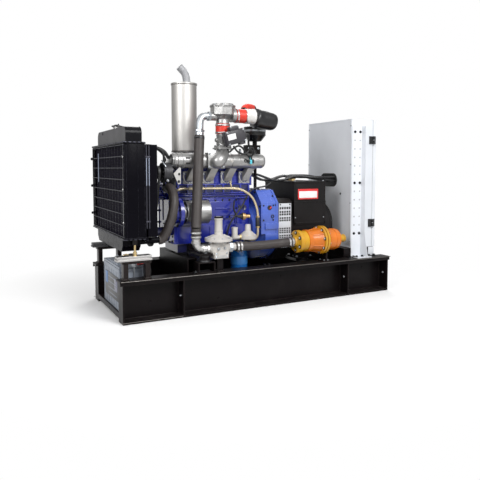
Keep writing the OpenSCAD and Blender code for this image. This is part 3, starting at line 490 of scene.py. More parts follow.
@dataclass(frozen=True)
class Plastic(Finish):
    """Moulded plastic with a fine texture."""

    rough: float = 0.45
    texture: float = 0.3

    def build(self) -> bpy.types.Material:
        """Make the material.

        Returns:
            The new material.
        """
        r = Recipe(self.name)
        tone = r.mix(r.rises(r.noise(18.0, 4.0), 0.3, 0.75), shade(self.colour, 0.88),
                     shade(self.colour, 1.1))
        dust = r.rises(r.upward(), 0.6, 1.0) * r.rises(r.noise(30.0, 4.0), 0.4, 0.8) * 0.18
        colour = r.mix(dust, tone, (0.5, 0.47, 0.43))
        normal = r.bump(r.noise(700.0, 1.0), self.texture, 0.0004, r.soft_edges(0.0015))
        return r.close(base_color=colour, roughness=dust * 0.5 + self.rough, normal=normal)


@dataclass(frozen=True)
class Fins(Finish):
    """Radiator fins: fine level pleats between the tubes, with painted shade in the pleats' valleys."""

    pitch: float = 2.6

    def build(self) -> bpy.types.Material:
        """Make the material.

        Returns:
            The new material.
        """
        r = Recipe(self.name)
        waves = r.node("ShaderNodeTexWave", {"wave_type": "BANDS", "bands_direction": "Z"}, {
            "Vector": r.place(), "Scale": 50.0 / self.pitch, "Distortion": 0.0})
        pleat = Signal(r, waves.outputs[1])
        dust = r.rises(r.noise(9.0, 6.0, 0.7), 0.45, 0.8) * 0.12
        # Pleat valleys darkened to 0.35 of the colour: painted shade between the fins.
        tone = r.mix(pleat, shade(self.colour, 0.35), self.colour)
        colour = r.mix(dust, tone, (0.05, 0.05, 0.07))
        normal = r.bump(pleat, 0.5, 0.002)
        return r.close(base_color=colour, roughness=dust * 0.3 + 0.6, normal=normal, specular_ior_level=0.02)


DUST_DARK: Colour = (0.10, 0.09, 0.085)
# On the black and blue paints below, the edge colour is lighter than the paint: along the edges it is partly
# wear and partly a painted highlight.
FRAME_BLACK = Paint("frame_black", "frame_black", (0.0062, 0.0046, 0.0050), rough=0.3, coat=0.0, peel=0.2,
                    dust=0.2, dust_colour=DUST_DARK, edge=0.003, specular=0.1, wear_and_sheen=0.7,
                    wear_and_sheen_colour=(0.085, 0.062, 0.055))
RADIATOR_BLACK = Paint("radiator_black", "radiator_black", (0.0026, 0.0023, 0.0044), rough=0.26, coat=0.0,
                       peel=0.15, dust=0.08, dust_colour=DUST_DARK, edge=0.004, specular=0.05, wear_and_sheen=0.6,
                       wear_and_sheen_colour=(0.09, 0.09, 0.11))
TANK_BLACK = Paint("tank_black", "radiator_black", (0.005, 0.005, 0.007), rough=0.22, coat=0.0, peel=0.15,
                   dust=0.12, dust_colour=DUST_DARK, edge=0.003, specular=0.1)
# A grey copy of the radiator's black: painted light on the top tank's front face, and painted shade on the
# far mount's pad.
LIT_AND_SHADED_GREY = Paint("lit_and_shaded_grey", "radiator_black", (0.085, 0.084, 0.088), rough=0.4, coat=0.0, peel=0.2,
                  dust=0.2, dust_colour=DUST_DARK, edge=0.003, specular=0.2)
GENERATOR_BLACK = Paint("generator_black", "generator_black", (0.0085, 0.0075, 0.0078), rough=0.45, coat=0.0,
                        peel=0.3, dust=0.12, dust_colour=DUST_DARK, edge=0.002, specular=0.14, wear_and_sheen=0.3)
ENGINE_BLUE = Paint("engine_blue", "engine_blue", (0.012, 0.022, 0.30), rough=0.16, coat=0.6, peel=0.3,
                    dust=0.06, dust_colour=(0.08, 0.10, 0.28), edge=0.003, wear_and_sheen=0.8,
                    wear_and_sheen_colour=(0.12, 0.16, 0.55))
# A lighter copy of the engine's blue for the flywheel housing: painted light, with a paler blue painted
# highlight along its edges.
LIT_HOUSING_BLUE = Paint("lit_housing_blue", "engine_blue", (0.050, 0.110, 0.50), rough=0.24, coat=0.9, peel=0.3,
                     dust=0.08, dust_colour=(0.20, 0.24, 0.42), edge=0.003, wear_and_sheen=0.8,
                     wear_and_sheen_colour=(0.20, 0.28, 0.70))
ENGINE_DARK = Paint("engine_dark", "engine_dark", (0.006, 0.009, 0.075), rough=0.3, coat=0.5, peel=0.3,
                    dust=0.15, dust_colour=DUST_DARK)
FILTER_BLUE = Paint("filter_blue", "filter_blue", (0.012, 0.13, 0.43), rough=0.18, coat=0.9, peel=0.05,
                    dust=0.05)
CABINET_WHITE = Paint("cabinet_white", "cabinet_white", (0.74, 0.765, 0.805), rough=0.4, coat=0.1, peel=0.25,
                      dust=0.04, dust_colour=(0.5, 0.5, 0.5), mottle=0.025, wear_and_sheen=0.3,
                      wear_and_sheen_colour=(0.5, 0.5, 0.52))
ARRESTER_ORANGE = Paint("arrester_orange", "arrester_orange", (0.60, 0.150, 0.003), rough=0.3, coat=0.2,
                        peel=0.2, dust=0.06, wear_and_sheen_colour=(0.30, 0.13, 0.05))
ARRESTER_YELLOW = Paint("arrester_yellow", "arrester_orange", (0.58, 0.300, 0.004), rough=0.3, coat=0.2,
                        peel=0.2, dust=0.05, wear_and_sheen_colour=(0.30, 0.20, 0.05))
REGULATOR_BEIGE = Paint("regulator_beige", "regulator_beige", (0.53, 0.505, 0.475), rough=0.3, coat=0.3,
                        peel=0.3, dust=0.08, dust_colour=(0.30, 0.26, 0.22), wear_and_sheen_colour=(0.36, 0.33, 0.30))
SILVER_PAINT = Paint("silver_paint", "silver_paint", (0.36, 0.365, 0.38), rough=0.36, coat=0.2, peel=0.1,
                     dust=0.05, mottle=0.05, wear_and_sheen=0.15, wear_and_sheen_colour=(0.30, 0.29, 0.28))
CAST_SILVER = Cast("cast_silver", "cast_silver", (0.35, 0.347, 0.342), rough=0.34, metal=0.7, grain=0.2,
                   stain=0.12)
CAST_DARK = Cast("cast_dark", "cast_silver", (0.040, 0.040, 0.044), rough=0.45, metal=0.4)
EXHAUST_IRON = Cast("exhaust_iron", "exhaust_iron", (0.13, 0.09, 0.075), rough=0.7, metal=0.4, grain=0.8,
                    stain=0.6)
SILENCER_STEEL = Plated("silencer_steel", "silver_paint", (0.50, 0.488, 0.47), rough=0.42, spangle=5.0,
                        dull=0.08)
# Dark steel: painted shade on the silencer's rims, and a painted highlight along the skid beams' edges.
RIM_SHADE_AND_SHEEN = Plated("rim_shade_and_sheen", "silver_paint", (0.16, 0.15, 0.14), rough=0.4, spangle=40.0, dull=0.3)
ZINC = Plated("zinc", "zinc", (0.44, 0.465, 0.49), rough=0.26, spangle=30.0, dull=0.2)
STEEL = Plated("bright_steel", "zinc", (0.52, 0.515, 0.51), rough=0.24, spangle=60.0, dull=0.2)
BOLT_BLACK = Plated("black_bolts", "frame_black", (0.03, 0.03, 0.032), rough=0.35, spangle=90.0, dull=0.2)
YELLOW_ZINC = Plated("yellow_zinc", "yellow_zinc", (0.62, 0.53, 0.36), rough=0.24, spangle=40.0, dull=0.25)
BRASS = Plated("brass", "yellow_zinc", (0.62, 0.47, 0.24), rough=0.24, spangle=70.0, dull=0.25)
VALVE_TAN = Plated("valve_tan", "yellow_zinc", (0.42, 0.27, 0.13), rough=0.36, spangle=30.0, dull=0.4)
GEAR_ZINC = Plated("gear_zinc", "gear_zinc", (0.66, 0.67, 0.68), rough=0.34, spangle=30.0, dull=0.2)
HOSE_GREY = Rubber("hose_grey", "hose_grey", (0.036, 0.029, 0.027), rough=0.55, lay=0.3, scuff=0.2)
HOSE_RED = Rubber("hose_red", "hose_red", (0.66, 0.036, 0.018), rough=0.36, lay=0.1, lay_scale=200.0,
                  scuff=0.06)
BLACK_RUBBER = Rubber("black_rubber", "black_rubber", (0.008, 0.008, 0.009), rough=0.5, lay=0.3, scuff=0.1)
BLACK_PLASTIC = Plastic("black_plastic", "black_plastic", (0.004, 0.004, 0.005), rough=0.3)
ACTUATOR_GREY = Plastic("actuator_grey", "actuator_grey", (0.032, 0.030, 0.036), rough=0.42)
BATTERY_GREY = Plastic("battery_grey", "battery_grey", (0.24, 0.27, 0.32), rough=0.34)
ADAPTER_WHITE = Plastic("adapter_white", "adapter_white", (0.76, 0.74, 0.71), rough=0.25, texture=0.1)
LABEL_WHITE = Plastic("label_white", "cabinet_white", (0.80, 0.80, 0.79), rough=0.35, texture=0.05)
LABEL_RED = Plastic("label_red", "hose_red", (0.66, 0.03, 0.03), rough=0.35, texture=0.05)
LABEL_BLUE = Plastic("label_blue", "battery_grey", (0.03, 0.16, 0.42), rough=0.3, texture=0.05)
PLUG_BLUE = Plastic("plug_blue", "battery_grey", (0.12, 0.60, 0.72), rough=0.3, texture=0.05)
GUARD_WIRE = Plated("guard_wire", "radiator_black", (0.06, 0.06, 0.075), rough=0.36, spangle=60.0, dull=0.3)
# A bright copy of the radiator's black: a painted highlight on the guard and on the middle of the side posts.
POST_HIGHLIGHT = Plated("post_highlight", "radiator_black", (0.30, 0.33, 0.42), rough=0.26, spangle=6.0, dull=0.1)
PAD_STEEL = Plated("pad_steel", "zinc", (0.46, 0.45, 0.44), rough=0.3, spangle=8.0, dull=0.05)
ALUMINIUM = Plated("aluminium", "zinc", (0.50, 0.495, 0.485), rough=0.32, spangle=30.0, dull=0.15)
FRAME_BROWN = Paint("frame_brown", "frame_black", (0.011, 0.007, 0.0065), rough=0.3, coat=0.0, peel=0.2,
                    dust=0.2, dust_colour=DUST_DARK, edge=0.003, specular=0.2, wear_and_sheen=0.7)
FAN_GREY = Plastic("fan_grey", "black_plastic", (0.03, 0.03, 0.034), rough=0.42)
GASKET_GREY = Rubber("gasket_grey", "hose_grey", (0.10, 0.10, 0.11), rough=0.7, lay=0.2)
GRILLE_WHITE = Paint("grille_white", "cabinet_white", (0.60, 0.62, 0.66), rough=0.35, coat=0.3, peel=0.2,
                     dust=0.1, mottle=0.05)
# Dark and grey discs and rings set in holes, slots and the door's seam and round bolts: painted shade.
HOLE_SHADE = Plastic("hole_shade", "black_plastic", (0.008, 0.008, 0.009), rough=0.7)
HOLE_SHADE_GREY = Plastic("hole_shade_grey", "cabinet_white", (0.42, 0.43, 0.44), rough=0.6)
SCREEN_DARK = Plastic("screen_dark", "black_plastic", (0.02, 0.035, 0.04), rough=0.08, texture=0.0)
LAMP_GREEN = Plastic("lamp_green", "radiator_fins", (0.02, 0.28, 0.07), rough=0.12, texture=0.0)
FIN_DARK = Fins("radiator_fins", "radiator_fins", (0.006, 0.0045, 0.012))

NODE_FINISHES: dict[Finish, tuple[str, ...]] = {
    FRAME_BLACK: ("skid_near_beam", "skid_far_beam", "skid_cross_members", "battery_tray",
                  "cabinet_plinth", "radiator_mounts", "engine_mounts", "cleaner_post",
                  "generator_supports"),
    RADIATOR_BLACK: ("radiator_frame", "radiator_bottom_tank", "radiator_guard", "fan_shroud"),
    TANK_BLACK: ("radiator_top_tank",),
    FIN_DARK: ("radiator_core",),
    ENGINE_BLUE: ("engine_block", "cylinder_head", "valve_cover", "gear_case", "water_pump"),
    LIT_HOUSING_BLUE: ("flywheel_housing",),
    ENGINE_DARK: ("oil_sump",),
    FILTER_BLUE: ("oil_filter",),
    CAST_SILVER: ("drive_housing", "intake_manifold", "intake_elbow", "throttle_body", "gas_mixer"),
    CAST_DARK: ("charging_dynamo",),
    SILENCER_STEEL: ("silencer",),
    SILVER_PAINT: ("tail_pipe",),
    EXHAUST_IRON: ("exhaust_manifold",),
    ZINC: ("gas_upper_elbow", "gas_lower_elbow"),
    YELLOW_ZINC: ("coolant_rail",),
    REGULATOR_BEIGE: ("gas_regulator", "zero_regulator"),
    ARRESTER_ORANGE: ("flame_arrester",),
    HOSE_GREY: ("lower_coolant_hose", "upper_coolant_hose", "gas_riser_hose", "gas_supply_hose"),
    HOSE_RED: ("charge_hoses",),
    BLACK_RUBBER: ("drive_belt", "power_cables"),
    BLACK_PLASTIC: ("filler_cap", "fan", "air_filter", "air_cleaner_bowl"),
    ACTUATOR_GREY: ("throttle_actuator",),
    ADAPTER_WHITE: ("filter_adapter",),
    BATTERY_GREY: ("battery",),
    GENERATOR_BLACK: ("generator_barrel", "generator_drive_end", "terminal_box", "crank_pulley"),
    CABINET_WHITE: ("cabinet_shell", "cabinet_door", "cabinet_stands"),
    GEAR_ZINC: ("cabinet_gear",),
}


class Paints:
    """Materials, each made once."""

    made: dict[str, bpy.types.Material] = {}

    @classmethod
    def get(cls, finish: Finish) -> bpy.types.Material:
        """Material of a finish, made when it is first asked for.

        Args:
            finish: the finish.

        Returns:
            Its material.
        """
        if finish.name not in cls.made:
            cls.made[finish.name] = finish.build()
        return cls.made[finish.name]


def frame_of(direction: Sequence[float]) -> Matrix:
    """Rotation that turns +Z to a direction."""
    return Vector(direction).normalized().to_track_quat("Z", "Y").to_matrix().to_4x4()


class Work:
    """A mesh put together from simple forms, in millimetres of the skid."""

    def __init__(self, site: Site) -> None:
        """Start an empty mesh."""
        self.site = site
        self.bm = bmesh.new()

    def _add(self, verts: Sequence[Vector], faces: Iterable[Sequence[int]]) -> list[bmesh.types.BMFace]:
        """Add points and the faces over them."""
        made = [self.bm.verts.new(vert) for vert in verts]
        return [self.bm.faces.new([made[i] for i in face]) for face in faces]

    def block(self, low: Sequence[float], high: Sequence[float], edge: float = 2.0,
              turn: Matrix | None = None) -> "Work":
        """Box with rounded edges.

        Args:
            low: one corner.
            high: the opposite corner, on any side of the first.
            edge: radius of the edges.
            turn: rotation about the box's middle.

        Returns:
            The work itself.
        """
        a, b = (Vector([pick(pair) for pair in zip(low, high)]) for pick in (min, max))
        centre, half = (a + b) / 2, (b - a) / 2
        corners = [Vector((half.x * x, half.y * y, half.z * z))
                   for x in (-1, 1) for y in (-1, 1) for z in (-1, 1)]
        if turn is not None:
            corners = [turn @ corner for corner in corners]
        faces = self._add([centre + corner for corner in corners], (
            (0, 1, 3, 2), (4, 6, 7, 5), (0, 4, 5, 1), (2, 3, 7, 6), (0, 2, 6, 4), (1, 5, 7, 3)))
        if edge > 0:
            edges = list({e for face in faces for e in face.edges})
            bmesh.ops.bevel(self.bm, geom=edges, offset=min(edge, min(half) * 0.6),
                            segments=2, profile=0.6, affect="EDGES")
        return self

    def turned(self, start: Sequence[float], direction: Sequence[float],
               profile: Sequence[tuple[float, float]], sides: int = 40) -> "Work":
        """Form turned on a lathe.

        Args:
            start: point on the axis where the profile's lengths count from.
            direction: the axis.
            profile: (length along the axis, radius) pairs; a radius of 0 closes an end.
            sides: pieces round the axis.

        Returns:
            The work itself.
        """
        turn = frame_of(direction)
        rings = []
        for length, radius in profile:
            if radius <= 0:
                rings.append([self.bm.verts.new(Vector(start) + turn @ Vector((0, 0, length)))])
                continue
            rings.append([self.bm.verts.new(Vector(start) + turn @ Vector((
                radius * math.cos(math.tau * k / sides), radius * math.sin(math.tau * k / sides), length)))
                for k in range(sides)])
        for first, second in zip(rings, rings[1:]):
            for k in range(sides):
                m = (k + 1) % sides
                corners = [first[k % len(first)], first[m % len(first)],
                           second[m % len(second)], second[k % len(second)]]
                unique = list(dict.fromkeys(corners))
                if len(unique) > 2:
                    self.bm.faces.new(unique)
        for ring, flip in ((rings[0], True), (rings[-1], False)):
            if len(ring) > 1:
                self.bm.faces.new(ring[::-1] if flip else ring)
        return self

    def rod(self, start: Sequence[float], end: Sequence[float], radius: float, sides: int = 28,
            edge: float = 1.0) -> "Work":
        """Round bar with broken edges.

        Args:
            start: middle of one end.
            end: middle of the other end.
            radius: the bar's radius.
            sides: pieces round the bar; 6 makes a hexagon.
            edge: width of the broken edge.

        Returns:
            The work itself.
        """
        along = Vector(end) - Vector(start)
        length = along.length
        edge = min(edge, radius * 0.4, length * 0.4)
        return self.turned(start, along, ((0, radius - edge), (edge, radius), (length - edge, radius),
                                          (length, radius - edge)), sides)

    def tube(self, path: Sequence[Sequence[float]], radius: float, sides: int = 12,
             steps: int = 8) -> "Work":
        """Smooth round tube through the points of a path.

        Args:
            path: points that the tube's middle passes.
            radius: the tube's radius.
            sides: pieces round the tube.
            steps: rings between two points.

        Returns:
            The work itself.
        """
        line = smooth([Vector(p) for p in path], steps)
        return self.loft(line, [radius] * len(line), sides)

    def spokes(self, count: int, axis: Axis, first: tuple[Point, float], last: tuple[Point, float],
               radius: float, sides: int = 6, steps: int = 2, turn: float = 0.0) -> "Work":
        """Straight round ribs that stand evenly round an axis.

        Args:
            count: how many ribs.
            axis: the axis, X or Z.
            first: point on the axis and the distance from it, for the start of each rib.
            last: the same for its end.
            radius: a rib's own radius.
            sides: pieces round a rib.
            steps: rings along a rib.
            turn: turn of the first rib, as a share of the angle between two ribs.

        Returns:
            The work itself.
        """
        for angle in turns(count, turn):
            way = around(axis, angle)
            self.tube([Vector(spot) + way * distance for spot, distance in (first, last)],
                      radius, sides, steps)
        return self

    def loft(self, line: Sequence[Vector], radii: Sequence[float], sides: int) -> "Work":
        """Closed tube along a line.

        Args:
            line: middle points of its rings.
            radii: radius of each ring.
            sides: pieces round it.

        Returns:
            The work itself.
        """
        normal = None
        rings = []
        for i, (point, radius) in enumerate(zip(line, radii)):
            heading = (line[min(i + 1, len(line) - 1)] - line[max(i - 1, 0)]).normalized()
            if normal is None:
                normal = heading.orthogonal().normalized()
            normal = (normal - heading * normal.dot(heading)).normalized()
            other = heading.cross(normal)
            rings.append([self.bm.verts.new(point + radius * (
                math.cos(math.tau * k / sides) * normal + math.sin(math.tau * k / sides) * other))
                for k in range(sides)])
        for first, second in zip(rings, rings[1:]):
            for k in range(sides):
                m = (k + 1) % sides
                self.bm.faces.new((first[k], first[m], second[m], second[k]))
        self.bm.faces.new(rings[0][::-1])
        self.bm.faces.new(rings[-1])
        return self

    def hoop(self, centre: Sequence[float], direction: Sequence[float], radius: float,
             thickness: float) -> "Work":
        """Closed ring of round wire.

        Args:
            centre: middle of the ring.
            direction: axis of the ring.
            radius: radius to the wire's middle.
            thickness: radius of the wire.

        Returns:
            The work itself.
        """
        turn = frame_of(direction)
        around, sides = 48, 8
        rings = []
        for i in range(around):
            a = math.tau * i / around
            rings.append([self.bm.verts.new(Vector(centre) + turn @ Vector((
                (radius + thickness * math.cos(math.tau * k / sides)) * math.cos(a),
                (radius + thickness * math.cos(math.tau * k / sides)) * math.sin(a),
                thickness * math.sin(math.tau * k / sides)))) for k in range(sides)])
        for i in range(around):
            first, second = rings[i], rings[(i + 1) % around]
            for k in range(sides):
                m = (k + 1) % sides
                self.bm.faces.new((first[k], second[k], second[m], first[m]))
        return self

    def bead(self, start: Sequence[float], end: Sequence[float], radius: float = 3.2,
             ripple: float = 9.0) -> "Work":
        """Weld bead whose ripples follow each other.

        Args:
            start: where the bead starts.
            end: where it ends.
            radius: the bead's radius.
            ripple: length of a ripple.

        Returns:
            The work itself.
        """
        along = Vector(end) - Vector(start)
        count = max(2, round(along.length / ripple))
        profile = []
        for i in range(count):
            at = along.length * i / count
            profile += [(at, radius * 0.8), (at + along.length / count * 0.6, radius * (1.1 + 0.1 * (i % 3)))]
        return self.turned(start, along, (*profile, (along.length, radius * 0.8)), 8)

    def dome(self, at: Sequence[float], direction: Sequence[float], radius: float, height: float) -> "Work":
        """Round rivet head.

        Args:
            at: middle of its foot.
            direction: the way it stands.
            radius: radius of its foot.
            height: its height.

        Returns:
            The work itself.
        """
        profile = [(height * math.sin(a), radius * math.cos(a)) for a in spread(0.0, math.pi / 2.2, 5)]
        return self.turned(at, direction, (*profile, (height, 0)), 16)

    def sheet(self, rows: Sequence[Sequence[Vector]], thickness: float) -> "Work":
        """Curved plate over a grid of points.

        Args:
            rows: rows of points, all of one length.
            thickness: thickness of the plate.

        Returns:
            The work itself.
        """
        grid = [[self.bm.verts.new(point) for point in row] for row in rows]
        faces = [self.bm.faces.new((a[i], a[i + 1], b[i + 1], b[i]))
                 for a, b in zip(grid, grid[1:]) for i in range(len(a) - 1)]
        bmesh.ops.recalc_face_normals(self.bm, faces=faces)
        bmesh.ops.solidify(self.bm, geom=faces, thickness=thickness)
        return self

    def wedge(self, low: Sequence[float], high: Sequence[float], rise: float = 9.0) -> "Work":
        """Pressed louvre on a face that looks along x: flush at the top, open below.

        Args:
            low: lowest corner on the face.
            high: highest corner on the face.
            rise: how far its lower lip stands out.

        Returns:
            The work itself.
        """
        columns = spread(low[1], high[1], 13)
        rows = []
        for share in spread(0.0, 1.0, 5):
            row = []
            for i, y in enumerate(columns):
                end = min(1.0, 3.5 * min(i, len(columns) - 1 - i) / (len(columns) - 1))
                row.append(Vector((high[0] + rise * end * (1 - share) ** 1.5, y,
                                   low[2] + (high[2] - low[2]) * share)))
            rows.append(row)
        return self.sheet(rows, 1.2)

    def ribbed_tube(self, path: Sequence[Sequence[float]], radius: float, sides: int = 12,
                    steps: int = 10) -> "Work":
        """Corrugated conduit through the points of a path.

        Args:
            path: points that the conduit's middle passes.
            radius: its outer radius.
            sides: pieces round it.
            steps: bends between two points.

        Returns:
            The work itself.
        """
        line = smooth([Vector(p) for p in path], steps)
        fine = []
        for a, b in zip(line, line[1:]):
            count = max(1, round((b - a).length / 2.2))
            fine += [a.lerp(b, i / count) for i in range(count)]
        fine.append(line[-1])
        radii = [radius - (0.0 if i % 4 < 2 else 1.5) for i in range(len(fine))]
        return self.loft(fine, radii, sides)

    def slab(self, outline: Sequence[tuple[float, float]], across: Axis, start: float, depth: float,
             edge: float = 1.0) -> "Work":
        """Flat plate with any outline.

        Args:
            outline: corners in the two other directions, in X, Y, Z order.
            across: the direction of its thickness: X, Y or Z.
            start: where the plate starts in that direction.
            depth: its thickness.
            edge: radius of its edges.

        Returns:
            The work itself.
        """
        def corner(u: float, v: float, w: float) -> Vector:
            """Point with u and v in the plate and w across it."""
            order = {Axis.X: (w, u, v), Axis.Y: (u, w, v), Axis.Z: (u, v, w)}
            return Vector(order[across])

        count = len(outline)
        verts = [corner(u, v, start) for u, v in outline] + [corner(u, v, start + depth) for u, v in outline]
        sides = [(i, (i + 1) % count, count + (i + 1) % count, count + i) for i in range(count)]
        faces = self._add(verts, [tuple(range(count))[::-1], tuple(range(count, 2 * count)), *sides])
        if edge > 0:
            rims = list({e for face in faces[:2] for e in face.edges})
            bmesh.ops.bevel(self.bm, geom=rims, offset=min(edge, depth * 0.4), segments=1, affect="EDGES")
        return self

    def bolt(self, at: Sequence[float], direction: Sequence[float], across: float = 13.0,
             height: float = 0.0) -> "Work":
        """Hexagon bolt head on a washer.

        Args:
            at: middle of the washer's underside.
            direction: the way the head stands.
            across: size over the flats.
            height: height of the head, or 0 for the usual.

        Returns:
            The work itself.
        """
        radius = across / math.sqrt(3)
        height = height or across * 0.62
        base = Vector(at)
        way = Vector(direction).normalized()
        self.turned(base, way, ((0, across * 0.78), (across * 0.12, across * 0.78),
                                (across * 0.14, across * 0.7)), 20)
        self.turned(base + way * across * 0.1, way, (
            (0, radius), (height * 0.82, radius), (height, radius * 0.8)), 6)
        return self

    def bolts(self, points: Iterable[Sequence[float]], direction: Sequence[float],
              across: float = 13.0) -> "Work":
        """Bolt heads at several points.

        Args:
            points: middles of the washers' undersides.
            direction: the way the heads stand.
            across: size over the flats.

        Returns:
            The work itself.
        """
        for point in points:
            self.bolt(point, direction, across)
        return self

    def bolt_ring(self, centre: Sequence[float], direction: Sequence[float], radius: float, count: int,
                  across: float = 13.0, turn: float = 0.0) -> "Work":
        """Bolt heads round a circle.

        Args:
            centre: middle of the circle.
            direction: the way the heads stand.
            radius: radius of the circle.
            count: how many bolts.
            across: size over the flats.
            turn: angle of the first bolt.

        Returns:
            The work itself.
        """
        frame = frame_of(direction)
        for k in range(count):
            angle = math.tau * k / count + turn
            spot = Vector(centre) + frame @ Vector((radius * math.cos(angle), radius * math.sin(angle), 0))
            self.bolt(spot, direction, across)
        return self

    def clamp(self, at: Sequence[float], direction: Sequence[float], radius: float,
              width: float = 13.0) -> "Work":
        """Hose clamp: a band with rolled rims and its screw housing.

        Args:
            at: middle of the band on the hose's axis.
            direction: the hose's direction.
            radius: the hose's radius.
            width: the band's width.

        Returns:
            The work itself.
        """
        way = Vector(direction).normalized()
        start = Vector(at) - way * width / 2
        self.turned(start, way, ((0, radius + 0.2), (0.6, radius + 1.9), (width - 0.6, radius + 1.9),
                                 (width, radius + 0.2)), 40)
        side = way.orthogonal().normalized()
        if side.y > 0:
            side = -side
        across = way.cross(side)
        seat = Vector(at) + side * (radius + 5.0)
        self.rod(seat - across * 12, seat + across * 10, 5.0, 14)
        self.rod(seat + across * 10, seat + across * 16, 3.6, 6)
        return self

    def done(self, name: str, finish: Finish, body: str = SET,
             instead_of: Sequence[str] = ()) -> bpy.types.Object:
        """Turn the work into a piece of the scene.

        Args:
            name: the piece's name.
            finish: its finish.
            body: the body that it rides on.
            instead_of: nodes that it stands for.

        Returns:
            The new object.
        """
        for vert in self.bm.verts:
            vert.co = self.site.metres(vert.co)
        bmesh.ops.recalc_face_normals(self.bm, faces=self.bm.faces)
        mesh = bpy.data.meshes.new(name)
        self.bm.to_mesh(mesh)
        self.bm.free()
        mesh.materials.append(Paints.get(finish))
        mesh.set_sharp_from_angle(angle=math.radians(SMOOTH_ANGLE))
        piece = bpy.data.objects.new(name, mesh)
        bpy.context.scene.collection.objects.link(piece)
        for polygon in mesh.polygons:
            polygon.use_smooth = True
        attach(piece, body)
        if instead_of:
            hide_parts(*instead_of)
        log.info("%s: %d faces", name, len(mesh.polygons))
        return piece


def smooth(points: Sequence[Vector], steps: int) -> list[Vector]:
    """Points of a smooth curve.

    Args:
        points: points that the curve passes.
        steps: points from one of them to the next.

    Returns:
        The curve's points.
    """
    line = []
    last = len(points) - 1
    for i in range(last):
        a, b, c, d = points[max(i - 1, 0)], points[i], points[i + 1], points[min(i + 2, last)]
        for s in range(steps):
            t = s / steps
            line.append(0.5 * (2 * b + (c - a) * t + (2 * a - 5 * b + 4 * c - d) * t * t
                               + (3 * b - a - 3 * c + d) * t * t * t))
    return [*line, points[last]]


def spread(first: float, last: float, count: int) -> list[float]:
    """Evenly spaced values from first to last."""
    return [first + (last - first) * i / (count - 1) for i in range(count)]


def turns(count: int, share: float = 0.0) -> list[float]:
    """Angles that divide the circle, the first one turned by a share of the step."""
    return [math.tau * (k + share) / count for k in range(count)]


def around(axis: Axis, angle: float) -> Vector:
    """Unit vector at an angle round the X or the Z axis."""
    across, up = math.cos(angle), math.sin(angle)
    return Vector((0, across, up) if axis is Axis.X else (across, up, 0))


@dataclass
class Assembly:
    """Sub-assembly that starts its own pieces."""

    site: Site

    def work(self) -> Work:
        """Start a piece."""
        return Work(self.site)

    def both(self, y: float) -> tuple[float, float]:
        """A place across the skid and its mirror on the far side."""
        return y, self.site.width - y


@dataclass
class Skid(Assembly):
    """Weld beads, painted highlights along the edges, and bolts of the side beams."""

    web: float = 86.0
    flange: float = 12.0
    height: float = DECK
    rim: float = -12.4
    stub: float = 372.0
    stiffener_line: float = 45.0
    deck_bolt_line: float = 72.0
    deck_bolts: tuple[float, ...] = (984.0, 1016.0, 1690.0, 1735.0, 1880.0, 1925.0)
    mount_bolt_line: float = 40.0
    mount_bolts: tuple[float, float] = (462.0, 610.0)
    plates: tuple[float, ...] = (8.0, 374.0, 382.0, 1626.0, 1634.0, 1992.0)
    bolted: tuple[float, ...] = (374.0, 1626.0, 1992.0)

    def build(self) -> None:
        """Make the welds, the painted edge highlights and the bolts."""
        low, high = self.flange + 1, self.height - self.flange - 1
        welds = self.work()
        for side, y in zip((1, -1), self.both(self.web)):
            for x0, x1 in zip(self.plates[::2], self.plates[1::2]):
                for z in (low, high):
                    welds.bead((x0, y, z), (x1, y, z))
                for x in (x0 + 1, x1 - 1):
                    welds.bead((x, y, low), (x, y, high))
                    welds.bead((x, y, low), (x, y - side * 70, low))
        welds.done("skid_weld_beads", FRAME_BLACK)
        # Light rods along the beams' top and foot edges: a painted highlight.
        edges = self.work()
        end, top, foot = self.site.high("skid_near_beam").x - 2, self.height - 1.6, self.flange + 0.4
        for side, y in zip((1, -1), self.both(self.rim)):
            edges.rod((-12.0, y, top), (end, y, top), 2.3, 8)
            edges.rod((-10.0, y + side * 3, foot), (self.stub, y + side * 3, foot), 1.6, 8)
        edges.done("skid_edge_highlights", RIM_SHADE_AND_SHEEN)
        bolts = self.work()
        for y in self.both(self.stiffener_line):
            bolts.bolts(((x, y, self.height / 2) for x in self.bolted), (-1, 0, 0), 10.0)
        bolts.done("skid_stiffener_bolts", ZINC)
        ties = self.work()
        for line, places, across in ((self.deck_bolt_line, self.deck_bolts, 18.0),
                                     (self.mount_bolt_line, self.mount_bolts, 16.0)):
            for y in self.both(line):
                ties.bolts(((x, y, self.height) for x in places), (0, 0, 1), across)
        ties.done("skid_deck_bolts", BOLT_BLACK)


